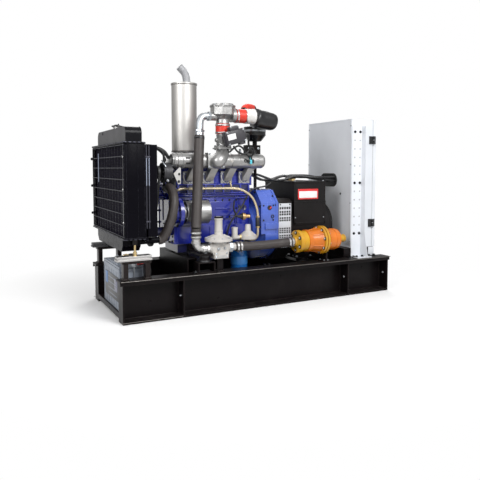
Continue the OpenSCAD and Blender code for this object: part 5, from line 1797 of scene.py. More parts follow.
    def _head(self) -> None:
        """Head gasket, port bosses and head bolts."""
        gasket = self.work()
        gasket.block((self.front + 9, self.near + 3, self.deck - 1.4),
                     (self.rear - 9, self.far - 3, self.deck + 1.8), 0.5)
        gasket.done("head_gasket", GASKET_GREY)
        bosses = self.work()
        bosses.block((self.rear + 1, self.near + 8, self.deck - 30),
                     (self.rear + 9, self.far - 8, self.head_top - 6), 3.0)
        bolts = self.work()
        for x in BORES:
            for spot in ((x + 58, self.near + 14), (x - 52, self.far - 14)):
                bosses.rod((*spot, self.deck + 2), (*spot, self.head_top + 4), 11.0, 20)
                bolts.bolt((*spot, self.head_top + 3), (0, 0, 1), 14.0)
            bosses.rod((x, self.far - 9, self.deck + 40), (x, self.far + 3, self.deck + 40), 24.0, 24)
        for z in (self.deck + 22, self.deck + 74):
            bosses.block((self.front + 22, self.near + 2, z - 4), (self.rear - 22, self.near + 8, z + 4), 2.0)
        bosses.done("head_bosses", ENGINE_BLUE)
        bolts.bolts(((self.front + 10, y, self.deck + z) for y in (300.0, 436.0) for z in (22.0, 74.0)),
                    (-1, 0, 0), 12.0)
        bolts.done("head_bolts", BOLT_BLACK)

    def _head_fittings(self) -> None:
        """Lifting eyes, and the thermostat housing with its clamp, bolts and bypass."""
        eyes = self.work()
        y, z = self.eye
        for x in (self.front + 2, self.rear - 10):
            outline = [(y - 21, z - 94), (y + 21, z - 94)]
            outline += [(y + 21 * math.cos(a), z + 21 * math.sin(a)) for a in spread(0.0, math.pi, 9)]
            eyes.slab(outline, Axis.X, x, 8.0, 1.5)
            eyes.hoop((x + 4, y, z), (1, 0, 0), 12.0, 4.6)
        eyes.done("lifting_eyes", BOLT_BLACK)
        outlet = self.work()
        outlet.turned((self.front + 12, 428.0, self.deck + 50), (-1, 0, 0), (
            (0, 44), (12, 44), (14, 34), (22, 30), (24, 30)), 40)
        outlet.block((self.front - 2, 390.0, self.deck + 14), (self.front + 12, 466.0, self.deck + 86), 6.0)
        outlet.done("thermostat_housing", CAST_SILVER)
        clamps = self.work()
        clamps.clamp((self.front - 26, 430.5, self.deck + 53), (-1, 0.06, 0.12), 27.6)
        clamps.bolts(((self.front - 2, y, self.deck + z) for y, z in ((397.0, 22.0), (459.0, 78.0))),
                     (-1, 0, 0), 11.0)
        for start, end, radius, sides in ((12, -14, 8.0, 6), (-12, -30, 6.0, 16)):
            clamps.rod((self.front + start, *self.bypass), (self.front + end, *self.bypass), radius, sides)
        clamps.done("thermostat_fittings", ZINC)

    def _valve_cover(self) -> None:
        """Ribs, rim, screws, breather and filler cap of the valve cover."""
        low, high = self.site.corners("valve_cover")
        top = self.cover_top
        cover = self.work()
        cover.block((low.x - 5, low.y - 5, low.z), (high.x + 5, high.y + 5, low.z + 9), 3.0)
        for x in spread(low.x + 60, high.x - 60, 7):
            cover.block((x - 5, low.y + 12, top - 1), (x + 5, high.y - 12, top + 5), 2.5)
            for y in (low.y - 3, high.y - 2):
                cover.block((x - 4, y, low.z + 8), (x + 4, y + 5, top - 10), 1.5)
        cover.block((low.x + 12, low.y + 46, top - 1), (high.x - 12, low.y + 54, top + 5), 2.5)
        cover.turned((*self.filler, top), (0, 0, 1), ((0, 32), (4, 30), (8, 26), (22, 25)), 36)
        cover.done("valve_cover_ribs", ENGINE_BLUE)
        screws = self.work()
        for x in spread(low.x + 14, high.x - 14, 6):
            screws.bolts(((x, y, low.z + 8) for y in (low.y - 0.3, high.y + 0.3)), (0, 0, 1), 8.0)
        screws.done("valve_cover_screws", BOLT_BLACK)
        cap = self.work()
        profile = ((18, 0), (18, 27), (20, 29), (30, 29), (33, 25), (33, 0))
        cap.turned((*self.filler, top), (0, 0, 1), profile, 12)
        x, y = self.filler
        cap.block((x - 8, y - 24, top + 31), (x + 8, y + 24, top + 39), 4.0)
        cap.tube(((914.0, 330.0, top - 6), (914.0, 330.0, top + 16), (928.0, 318.0, top + 30),
                  (958.0, 290.0, top + 18), (975.0, 262.0, 905.0), (960.0, 226.0, 940.0)), 9.0, 12)
        cap.done("filler_cap_and_breather", BLACK_PLASTIC)

    def _ignition(self) -> None:
        """Coil over each cylinder, its lead and the loom along the head."""
        top = self.cover_top
        coils, leads = self.work(), self.work()
        y = self.coils
        for x in BORES:
            coils.block((x - 22, y - 19, top + 2), (x + 22, y + 19, top + 26), 4.0)
            coils.rod((x, y, top + 24), (x, y, top + 34), 11.0, 20)
            coils.block((x + 20, y - 9, top + 6), (x + 38, y + 9, top + 20), 2.0)
            leads.tube(((x, y, top + 30), (x, y - 9, top + 40), (x + 4, y - 29, top + 24),
                        (x + 8, y - 47, top - 20), (x + 8, y - 53, self.head_top + 8)), 4.0, 10)
            leads.tube(((x + 36, y, top + 13), (x + 52, y + 3, top + 15), (x + 66, y + 25, top + 14)), 3.0, 8)
        leads.tube(self.loom, 7.0)
        leads.tube(self.harness, 5.5)
        coils.done("ignition_coils", BLACK_PLASTIC)
        leads.done("ignition_leads", BLACK_RUBBER)
        ties = self.work()
        for x in (560.0, 690.0, 824.0):
            ties.hoop((x, 351.0, top + 14.4), (1, 0, 0), 7.6, 1.2)
        ties.done("loom_ties", LABEL_WHITE)

    def _gear_case(self) -> None:
        """Rim, screws and crank seal of the front case."""
        low, high = self.site.corners("gear_case")
        rim = self.work()
        face = self.case_face
        rim.turned((face, *CRANK_AXIS), (-1, 0, 0),
                   ((-2, 74), (0, 74), (5, 68), (7, 46), (14, 42), (15, 31)), 48)
        rim.turned((face - 16, *SIDE_DRIVE_AXIS), (-1, 0, 0), (
            (-4, 54), (2, 54), (4, 48), (4, 20), (8, 18), (8, 0)), 48)
        for y0, y1, z0, z1 in self.case_folds:
            rim.block((face - 5, y0, z0), (face + 3, y1, z1), 2.0)
        rim.block((low.x + 19, low.y + 130, low.z), (low.x + 40, high.y - 4, low.z + 6), 2.0)
        rim.done("gear_case_ribs", ENGINE_BLUE)
        bolts = self.work()
        bolts.bolts(((face - 5, *spot) for spot in self.case_bolts), (-1, 0, 0), 11.0)
        bolts.bolt_ring((face, *SIDE_DRIVE_AXIS), (-1, 0, 0), 84.0, 8, 11.0, 0.3)
        bolts.bolt_ring((face - 5, *CRANK_AXIS), (-1, 0, 0), 56.0, 6, 9.0)
        bolts.done("gear_case_bolts", BOLT_BLACK)

    def _sump(self) -> None:
        """Flange, screws, cooling ribs and drain plug of the sump."""
        low, high = self.site.corners("oil_sump")
        rim, screws = self.work(), self.work()
        top = self.sump_top
        for y0, side, first in ((low.y, -1, low.x + 60), (high.y, 1, low.x + 20)):
            rim.block((low.x, y0, top - 10), (high.x, y0 + side * 14, top - 1), 2.0)
            for x in spread(first, high.x - 20, 9):
                screws.bolt((x, y0 + side * 7, top - 10), (0, 0, -1), 9.0)
            for x in spread(540.0, 920.0, 8):
                rim.block((x - 3, y0, 356.0), (x + 3, y0 + side * 5, 404.0), 2.0)
        rim.done("sump_flange", ENGINE_DARK)
        screws.turned((high.x - 60, CRANK_AXIS[0], low.z), (0, 0, -1),
                      ((-2, 18), (3, 18), (4, 13), (13, 13)), 6)
        screws.turned((890.0, low.y + 22, low.z + 22), (0, -0.87, -0.5),
                      ((0, 17), (4, 17), (4.2, 12), (14, 12)), 6)
        screws.done("sump_screws", BOLT_BLACK)

    def _flywheel_housing(self) -> None:
        """Ribs along the rear flange and the sides, inspection cover, a dark disc and ring of painted shade
        at the sight hole, and bolts.
        """
        y, z = CRANK_AXIS
        face = self.joint
        ribs = self.work()
        for a, b in zip(self.housing_outline, self.housing_outline[1:]):
            ribs.rod((face + 6, *a), (face + 6, *b), 5.0, 12)
        for spot in self.housing_ribs:
            inward = (spot[0] - (spot[0] - y) * 0.02, spot[1] - (spot[1] - z) * 0.02)
            ribs.rod((994.0, *inward), (1108.0, *inward), 5.5, 12)
        ribs.block((1000.0, 131.5, 548.0), (1092.0, 134.0, 664.0), 1.5)
        ribs.block((1018.0, 122.0, 492.0), (1124.0, 140.0, 536.0), 4.0)
        ribs.done("housing_ribs", LIT_HOUSING_BLUE)
        # Dark disc and ring at the sight hole: painted shade.
        sight_shade, pin = self.work(), self.work()
        sight_shade.turned((1054.0, 131.0, 640.0), (0, -1, 0),
                     ((-1, 17), (1.2, 17), (1.4, 14), (0.4, 13), (0.4, 0)), 32)
        sight_shade.hoop((1077.0, 129.0, 580.0), (0, 1, 0), 10.0, 3.0)
        sight_shade.done("housing_sight_hole_shade", HOLE_SHADE)
        pin.rod((1056.0, 131.0, 634.0), (1068.0, 129.6, 646.0), 4.0, 12)
        pin.done("housing_pointer", LABEL_RED)
        bolts = self.work()
        for dy, dz in self.housing_bolts:
            bolts.bolt((face - 0.5, y + dy * 1.012, z + dz * 1.01), (-1, 0, 0), 13.0)
        for turn in (-150, -120, -90, -60, -30):
            spot = Vector((face, y, z)) + around(Axis.X, math.radians(turn)) * 232
            bolts.bolt(spot, (-1, 0, 0), 13.0)
        for dy, dz in self.front_bolts:
            bolts.bolt((990.0, y + dy * 0.97, z + dz * 0.97), (-1, 0, 0), 12.0)
        for x in (1008.0, 1084.0):
            bolts.bolts(((x, 131.5, h) for h in (556.0, 656.0)), (0, -1, 0), 8.0)
        bolts.bolts(((x, 300.0, 758.0) for x in (1004.0, 1060.0)), (0, 0, 1), 13.0)
        bolts.done("housing_bolts", BOLT_BLACK)

    def _starter(self) -> None:
        """Starter motor's and solenoid's caps, bolts and terminals."""
        motor = self.work()
        y, z = self.solenoid
        motor.turned((812.0, *self.starter), (-1, 0, 0), (
            (-4, 41.5), (4, 41.5), (12, 38), (18, 20), (20, 20), (20, 0)), 40)
        motor.turned((990.0, *self.starter), (-1, 0, 0),
                     ((-20, 52), (4, 52), (8, 44), (44, 43), (48, 41.5)), 40)
        motor.turned((842.0, y, z - 2), (-1, 0, 0), ((-4, 27.5), (6, 27.5), (9, 22), (9, 0)), 32)
        motor.done("starter_caps", CAST_SILVER)
        bits = self.work()
        bits.bolt_ring((792.6, *self.starter), (-1, 0, 0), 28.0, 2, 8.0, 0.8)
        for side in (y - 12, y + 12):
            bits.rod((833.0, side, z), (812.0, side, z), 4.0, 12)
            bits.turned((828.0, side, z), (-1, 0, 0), ((0, 8), (6, 8)), 6)
        bits.done("starter_terminals", BRASS)

    def _mounts(self) -> None:
        """Rubber cones, washers and bolts of the engine and generator mounts."""
        rubber, bolts = self.work(), self.work()
        x = self.mount
        for y in self.both(50.0):
            rubber.turned((x, y, 324.0), (0, 0, 1),
                          ((0, 37.5), (6, 37.5), (12, 33), (30, 29.4), (34, 31), (40, 31)), 40)
            bolts.turned((x, y, 378.0), (0, 0, 1), ((0, 20), (3, 20), (3.2, 13), (15, 13)), 6)
            bolts.rod((x, y, 390.0), (x, y, 400.0), 7.0)
            bolts.bolts(((x + dx, y, DECK + 6) for dx in (-60, 60)), (0, 0, 1), 11.0)
        x = self.generator_mount
        for y in self.both(196.0):
            rubber.turned((x, y, DECK - 6), (0, 0, 1),
                          ((0, 41), (3, 41), (6, 38), (12, 38), (15, 41), (18, 41)), 40)
            bolts.bolts(((x + dx, y + dy, DECK + 22) for dy in (-22, 22) for dx in (-58, 58)),
                        (0, 0, 1), 13.0)
        rubber.done("mount_rubbers", BLACK_RUBBER)
        bolts.done("mount_bolts", ZINC)

    def _oil_filter(self) -> None:
        """Rolled seam, fluted end and bare label of the oil filter."""
        low, high = self.site.corners("oil_filter")
        x, y, radius = (low.x + high.x) / 2, (low.y + high.y) / 2, (high.x - low.x) / 2
        can = self.work()
        can.turned((x, y, low.z), (0, 0, 1), ((0, 0), (1, radius - 20), (2, radius - 8), (8, radius - 1),
                                              (16, radius + 0.4), (138, radius + 0.4), (140, radius + 1.6),
                                              (145, radius + 1.6), (147, radius - 2), (158, radius - 12)), 64)
        can.spokes(14, Axis.Z, ((x, y, low.z + 6), radius - 4), ((x, y, low.z + 24), radius - 0.4), 3.0)
        can.done("oil_filter_can", FILTER_BLUE)
        band = self.work()
        band.turned((x, y, low.z + 52), (0, 0, 1),
                    ((0, radius + 0.5), (0.3, radius + 0.9), (51.7, radius + 0.9), (52, radius + 0.5)), 64)
        band.done("oil_filter_label", LABEL_BLUE)

    def _side_drive(self) -> None:
        """Flanges, through bolts and plug of the side drive."""
        y, z = SIDE_DRIVE_AXIS
        body = self.work()
        for x, radius in ((448.0, 75.0), (536.0, 78.0), (600.0, 77.0)):
            body.turned((x, y, z), (1, 0, 0),
                        ((0, radius - 3), (1.5, radius), (8.5, radius), (10, radius - 3)), 56)
        body.spokes(10, Axis.X, ((482, y, z), 60), ((534, y, z), 66), 4.0, 8, 3)
        body.turned((606.0, y, z), (1, 0, 0), ((-2, 56), (2, 56), (6, 44), (8, 20), (8, 0)), 48)
        body.done("side_drive_flanges", CAST_SILVER)
        bolts = self.work()
        for x, way in ((448.0, -1), (606.0, 1)):
            bolts.bolt_ring((x, y, z), (way, 0, 0), 66.0, 6, 9.0, 0.5)
        for angle in turns(5, 0.25):
            way = around(Axis.X, angle) * 70
            bolts.rod(Vector((458, y, z)) + way, Vector((536, y, z)) + way, 3.2, 10)
        bolts.rod((520.0, y - 66, z + 20), (520.0, y - 82, z + 24), 9.0, 6)
        bolts.rod((520.0, y - 80, z + 24), (520.0, y - 92, z + 27), 6.0, 14)
        bolts.done("side_drive_bolts", ZINC)

    def _dipstick(self) -> None:
        """Guide tube and ring of the dipstick, and the rail's clips."""
        stick = self.work()
        stick.tube(self.stick, 4.2, 10)
        stick.hoop((598.0, 516.0, 784.0), (1, 0, 0), 11.0, 2.2)
        stick.rod((792.0, 183.0, 774.0), (792.0, 212.0, 822.0), 7.5, 20)
        stick.turned((792.0, 183.0, 774.0), (1, 0, -0.03), ((-14, 9), (-13, 12), (13, 12), (14, 9)), 24)
        for x, y, z in ((600.0, 192.0, 775.0), (744.0, 183.0, 773.0)):
            stick.block((x - 8, y - 2, z + 7), (x + 8, 246.0, z + 10), 0.6)
            stick.hoop((x, y, z), (1, 0, -0.05), 10.6, 1.8)
        stick.done("dipstick_and_clips", YELLOW_ZINC)


@dataclass
class Intake(Assembly):
    """Log, throttle, mixer, filter, bowl and the hose clamps between them."""

    stack: tuple[float, float] = (710.0, 150.0)
    log: tuple[float, float, float] = (195.0, 957.0, 48.0)
    side: float = 1252.0
    mixer: float = 1235.0
    spindle: float = 1090.0
    foot: float = 848.0
    wall: float = 234.0
    ends: tuple[float, float] = (384.0, 1019.0)
    plug_x: float = 860.0
    horn: tuple[Point, ...] = ((710, 150, 1040), (708, 146, 1016), (695, 130, 990), (674, 111, 968),
                               (658, 106, 952), (655, 128, 948), (655, 152, 948))
    actuator: Point = (752.0, 59.0, 1108.0)
    actuator_lean: float = -14.0
    actuator_leads: tuple[tuple[Point, ...], ...] = (
        ((716.0, 108.0, 1058.0), (735.0, 110.0, 1014.0), (768.0, 106.0, 1038.0), (800.0, 102.0, 1054.0),
         (832.0, 106.0, 1042.0), (858.0, 112.0, 1010.0), (882.0, 124.0, 992.0), (908.0, 140.0, 988.0)),
        ((762.0, 96.0, 1052.0), (792.0, 98.0, 1018.0), (838.0, 104.0, 1002.0), (870.0, 106.0, 1014.0),
         (888.0, 106.0, 1042.0), (914.0, 112.0, 1042.0), (926.0, 126.0, 1010.0), (916.0, 144.0, 986.0)))
    filter_lean: float = 8.0
    filter_start: tuple[float, float] = (940.0, 1244.0)
    adapter: float = 870.0
    bowl_top: float = 1197.0
    hose: float = 46.8
    arch: tuple[Point, ...] = (
        (896.0, 202.0, 1286.0), (906.0, 218.0, 1312.0), (940.0, 240.0, 1326.0), (990.0, 272.0, 1326.0),
        (1022.0, 294.0, 1306.0), (1029.0, 298.0, 1268.0), (1029.0, 298.0, 1224.0))

    def build(self) -> None:
        """Make the pieces."""
        self._log()
        self._log_fittings()
        self._horn()
        self._throttle()
        self._actuator()
        self._mixer()
        self._filter()
        self._bowl()
        self._clamps()

    def _log(self) -> None:
        """End caps, runner flanges with dark panes of painted shade in their pockets, end slots filled with
        dark tubes of painted shade, plugs and bolts of the log.
        """
        y, z, radius = self.log
        log_piece, pocket_shade, slot_shade = self.work(), self.work(), self.work()
        for x, way in zip(self.ends, (-1, 1)):
            log_piece.turned((x, y, z), (way, 0, 0), ((-4, radius + 0.6), (4, radius - 1), (12, radius - 8),
                                                      (15, radius - 22), (15, 0)), 56)
            log_piece.turned((x + way * 2, y, z), (way, 0, 0), ((0, 20), (14, 20), (17, 17), (17, 0)), 40)
        for x in BORES:
            log_piece.turned((x + 32, y, z), (1, 0, 0),
                             ((-30, radius), (-28, radius + 2.4), (28, radius + 2.4), (30, radius)), 56)
            log_piece.slab(self._bracket(x - 3, 43.0), Axis.Y, self.wall + 0.4, 12.0, 2.0)
            # Dark pane inside each flange: painted shade in its pocket.
            pocket_shade.slab(self._bracket(x - 3, 33.0), Axis.Y, self.wall - 0.6, 3.0, 0.6)
            for dx in (-38, 32):
                log_piece.rod((x + dx, self.wall + 13, self.foot + 24),
                              (x + dx, self.wall, self.foot + 24), 8.0, 20)
        for x in (409.0, 441.0):
            log_piece.turned((x, y, z), (1, 0, 0), ((-7, radius), (-5, radius + 3.4), (5, radius + 3.4),
                                                    (7, radius)), 56)
        log_piece.block((598.0, 131.0, 908.0), (716.0, 139.0, 1012.0), 3.0)
        # Dark tubes in the end's slots: painted shade.
        for turn in (20, 70, 160, 200, 250, 290, 340):
            way = around(Axis.X, math.radians(turn)) * (radius - 4)
            slot_shade.tube([Vector((x, y, z)) + way for x in (454.0, 468.0, 482.0)], 7.0, 12, 3)
        slot_shade.done("intake_end_slot_shade", HOLE_SHADE)
        pocket_shade.done("runner_pocket_shade", ENGINE_DARK)
        plug_x = self.plug_x
        log_piece.rod((plug_x, y, z + 44), (plug_x, y, z + 54), 14.0, 20)
        log_piece.done("intake_log_ends", CAST_SILVER)
        bolts = self.work()
        for x in BORES:
            bolts.bolts(((x + dx, self.wall, self.foot + 24) for dx in (-38, 32)), (0, -1, 0), 9.0)
            bolts.bolt((x - 3, self.wall + 3, self.foot - 34), (0, -1, 0), 9.0)
        bolts.bolts(((x, 131.0, h) for x in (608.0, 706.0) for h in (918.0, 1002.0)), (0, -1, 0), 10.0)
        bolts.rod((plug_x, y, z + 53), (plug_x, y, z + 64), 11.0, 6)
        bolts.rod((plug_x, y, z + 64), (plug_x, y, z + 82), 8.0, 18)
        bolts.done("intake_log_bolts", ZINC)

    def _log_fittings(self) -> None:
        """Boss and sensor plug on the log's near side."""
        y, z, radius = self.log
        boss, plug, band = self.work(), self.work(), self.work()
        boss.turned((776.0, y - radius + 2, z + 1), (0, -1, 0), ((0, 13), (3, 13), (5, 10), (6, 0)), 32)
        boss.done("intake_log_boss", REGULATOR_BEIGE)
        plug.hoop((878.0, y - radius - 3, z + 2), (0.3, 1, 0), 9.0, 3.6)
        plug.block((892.0, y - radius - 9, z - 16), (938.0, y - radius + 6, z + 12), 4.0)
        plug.rod((915.0, y - radius - 2, z + 8), (915.0, y - radius - 2, z + 40), 11.0, 20)
        plug.done("intake_log_plug", BLACK_PLASTIC)
        band.block((906.0, y - radius - 11, z - 20), (922.0, y - radius + 4, z + 24), 3.0)
        band.done("intake_plug_band", PLUG_BLUE)

    def _bracket(self, x: float, half: float) -> list[tuple[float, float]]:
        """Outline of a runner's flange: straight sides over a round foot.

        Args:
            x: the flange's middle.
            half: half of its width.

        Returns:
            The outline's corners along the skid and up.
        """
        top = self.foot + 2 + half * 0.9
        arc = [(x - half * math.cos(a), self.foot - half * math.sin(a)) for a in spread(0.0, math.pi, 13)]
        return [(x - half, top), *arc, (x + half, top)]

    def _horn(self) -> None:
        """Curved horn that leads down from the throttle into the log."""
        horn = self.work()
        line = smooth([Vector(spot) for spot in self.horn], 6)
        horn.loft(line, [41.0 + 3.0 * math.sin(math.pi * i / (len(line) - 1)) for i in range(len(line))], 40)
        x, y = self.stack
        horn.block((x - 52, y - 46, 1033.0), (x + 48, y + 46, 1042.0), 3.0)
        horn.done("intake_horn", CAST_SILVER, instead_of=("intake_elbow",))

    def _throttle(self) -> None:
        """Flanges, spindle boss and bolts of elbow and throttle."""
        x, y = self.stack
        z = self.spindle
        body = self.work()
        body.turned((x, y, 1034.0), (0, 0, 1),
                    ((0, 47), (2, 49), (10, 49), (12, 43), (20, 41), (60, 41), (62, 43), (66, 43), (68, 40.6),
                     (82, 40.6), (86, 42.4), (90, 42.4), (92, 40.5)), 56)
        body.slab([(x + dx, y + dy) for dx, dy in (
            (-46, -34), (-38, -42), (38, -42), (46, -34), (46, 34), (38, 42), (-38, 42), (-46, 34))],
            Axis.Z, 1042.4, 10.0, 1.5)
        body.rod((x - 52, y, z), (x + 54, y, z), 13.0, 24)
        body.done("throttle_flanges", CAST_SILVER)
        bolts = self.work()
        for height, way in ((1052.4, 1), (1034.0, -1)):
            bolts.bolts(((x + dx, y + dy, height) for dx in (-38, 38) for dy in (-34, 34)), (0, 0, way), 10.0)
        bolts.rod((x + 52, y, z), (x + 64, y, z), 6.0, 16)
        bolts.bolt((x + 60, y, z), (1, 0, 0), 11.0)
        bolts.done("throttle_bolts", ZINC)

    def _actuator(self) -> None:
        """Ribbed box of the actuator with its screws, plug and lead."""
        turn = Matrix.Rotation(math.radians(self.actuator_lean), 3, "Y")
        centre = Vector(self.actuator)

        def at(dx: float, dy: float, dz: float) -> Vector:
            """Place on the tilted box."""
            return centre + turn @ Vector((dx, dy, dz))

        def box(work: Work, low: Point, high: Point, edge: float) -> None:
            """Block that is tilted with the actuator.

            Args:
                work: the work that it is added to.
                low: its lowest corner before the tilt, from the actuator's middle.
                high: its highest corner.
                edge: radius of its edges.
            """
            middle = [(a + b) / 2 for a, b in zip(low, high)]
            half = [(b - a) / 2 for a, b in zip(low, high)]
            spot = at(*middle)
            work.block(spot - Vector(half), spot + Vector(half), edge, turn)

        shell, plate = self.work(), self.work()
        box(shell, (-72, -26, -41), (66, 27, 43), 6.0)
        box(shell, (-75, -8, -44), (69, 8, 46), 3.0)
        box(shell, (-66, -30, -34), (52, -24, 36), 7.0)
        box(shell, (-30, -20, 43), (34, 24, 70), 4.0)
        box(shell, (20, -18, -56), (60, 20, -40), 4.0)
        shell.done("throttle_actuator_box", ACTUATOR_GREY, instead_of=("throttle_actuator",))
        box(plate, (-62, -31.4, -12), (-4, -29.6, 24), 0.6)
        plate.done("actuator_bare_plate", LABEL_WHITE)
        screws = self.work()
        for dx in (-58, 58):
            for dz in (-36, 36):
                screws.bolt(at(dx, -26, dz), turn @ Vector((0, -1, 0)), 8.0)
        screws.bolts((at(dx, -20, 66) for dx in (-22, 26)), turn @ Vector((0, -1, 0)), 6.0)
        screws.rod((710.0, 87.0, 1094.0), (710.0, 96.0, 1094.0), 18.0, 24)
        screws.done("throttle_actuator_screws", ZINC)
        plug = self.work()
        box(plug, (64, -14, -20), (82, 14, 14), 4.0)
        for path in self.actuator_leads:
            plug.tube(path, 6.0)
        plug.tube((at(80, 0, -4), at(100, 0, -8), (866.0, 84.0, 1066.0), (905.0, 130.0, 1040.0),
                   (960.0, 210.0, 1012.0), (985.0, 252.0, 1000.0)), 7.0, 12)
        plug.done("throttle_actuator_lead", BLACK_RUBBER)

    def _mixer(self) -> None:
        """Cover, ribs and screws of the mixer, and its gas inlet nut."""
        x, y = self.stack
        z = self.mixer
        body = self.work()
        body.turned((x, y, z + 70), (0, 0, 1), ((0, 81), (2, 83.6), (8, 83.6), (9, 80), (12, 70), (17.6, 62),
                                               (17.8, 30), (17.9, 0)), 56)
        for angle in turns(8, 0.5):
            way = around(Axis.Z, angle) * 72.5
            body.rod(Vector((x, y, z + 22)) + way, Vector((x, y, z + 68)) + way, 7.0, 16)
        body.turned((x, y, z - 40), (0, 0, 1), ((0, 43), (3, 44.6), (6, 42.4), (30, 42.6), (42, 55)), 48)
        body.done("mixer_cover", CAST_SILVER)
        screws = self.work()
        screws.bolt_ring((x, y, z + 78), (0, 0, 1), 74.0, 8, 9.0, math.tau / 16)
        screws.bolt((x, y, z + 80), (0, 0, 1), 14.0, 7.0)
        screws.done("mixer_screws", ZINC)
        nut = self.work()
        nut.turned((x - 106, y, z + 6), (1, 0, 0), ((0, 30), (2, 33), (16, 33), (18, 30)), 6)
        nut.done("mixer_inlet_nut", ZINC)

    def _filter(self) -> None:
        """Air filter's can and rubber neck, and the rims of its adapter."""
        lean = math.radians(self.filter_lean)
        axis = Vector((math.cos(lean), 0, -math.sin(lean)))
        y, (x, z) = self.stack[1], self.filter_start
        can = self.work()
        profile = [(2, 48), (6, 56), (10, 64), (14, 66), (24, 66), (26, 65), (60, 64.5), (110, 61.5)]
        profile += [(122 + 43 * math.sin(a), 61 - 22 * (1 - math.cos(a)))
                    for a in spread(0.0, math.pi / 2, 9)]
        profile += [(165.4, 24), (165.4, 0)]
        can.turned((x, y, z), axis, profile, 64)
        can.done("air_filter_can", BLACK_PLASTIC, instead_of=("air_filter",))
        neck = self.work()
        neck.turned((x - 6, y, self.side), (1, 0, 0), ((0, 47.5), (2, 50), (14, 50), (20, 56)), 48)
        neck.done("air_filter_neck", BLACK_RUBBER)
        adapter = self.work()
        adapter.turned((self.adapter, y, self.side), (1, 0, 0), (
            (0, 48), (4, 50), (8, 50), (10, 48.6), (56, 48.8), (60, 51), (68, 51), (70, 48)), 56)
        adapter.turned((self.adapter + 30, y, self.side), (0, 62, 44),
                       ((30, 23), (52, 22.8), (56, 24.4), (62, 24.4), (64, 22.6), (76, 22.4)), 40)
        adapter.done("filter_adapter_rims", ADAPTER_WHITE)

    def _bowl(self) -> None:
        """Bowl's shell, its band clamp with two bolts, and the gauge."""
        low, high = self.site.corners("air_cleaner_bowl")
        x, y = (low.x + high.x) / 2, (low.y + high.y) / 2
        top = self.bowl_top
        bowl = self.work()
        bowl.turned((x, y, top - 100), (0, 0, 1),
                    ((-2, 30), (0, 44.5), (38, 75), (40, 77), (44, 77), (46, 75.4), (92, 75.4), (95, 78),
                     (99, 78), (101, 72), (106, 40), (108, 34.6), (120, 34.4)), 64)
        bowl.done("air_cleaner_shell", BLACK_PLASTIC)
        band = self.work()
        band.turned((x, y, top - 34), (0, 0, 1), ((0, 75.8), (0.8, 77.4), (13.2, 77.4), (14, 75.8)), 64)
        band.block((x - 10, y - 88, top - 33), (x + 10, y - 74, top - 21), 2.0)
        band.rod((x - 18, y - 82, top - 27), (x + 18, y - 82, top - 27), 3.0, 12)
        band.bolts(((x + dx, y - 28, top - 150) for dx in (-60, 14)), (0, -1, 0), 11.0)
        band.done("air_cleaner_band", ZINC)
        gauge = self.work()
        gauge.turned((x - 23, y - 28, top - 176), (0, -1, 0),
                     ((0, 17), (10, 17), (12, 15), (12, 13), (10.6, 12.6), (10.6, 0)), 32)
        gauge.done("air_cleaner_gauge", BLACK_PLASTIC)

    def _clamps(self) -> None:
        """Red silicone hoses with their clamps."""
        x, y = self.stack
        red, dark, bright = self.work(), self.work(), self.work()
        red.turned((x, y, 1130.0), (0, 0, 1), ((0, 44), (0.5, 46.5), (65, 46.5), (65.5, 44)), 56)
        red.turned((797.0, y, self.side), (1, 0, 0), ((0, 44), (0.5, 46.5), (86.5, 46.5), (87, 44)), 56)
        red.tube(self.arch, 23.5, 28)
        red.done("red_hoses", HOSE_RED, instead_of=("charge_hoses",))
        for z in (1138.0, 1187.0):
            bright.clamp((x, y, z), (0, 0, 1), self.hose, 12.0)
        for spot in (807.0, 872.0):
            bright.clamp((spot, y, self.side), (1, 0, 0), self.hose, 12.0)
        dark.clamp((898.5, 206.0, 1293.0), (0.3, 0.55, 0.8), 24.0, 12.0)
        dark.clamp((999.0, 278.0, 1322.0), (0.75, 0.55, -0.35), 24.0, 14.0)
        dark.clamp((1029.0, 298.0, 1236.0), (0, 0, 1), 24.0, 12.0)
        bright.done("red_hose_clamps", STEEL)
        dark.done("arch_hose_clamps", BOLT_BLACK)


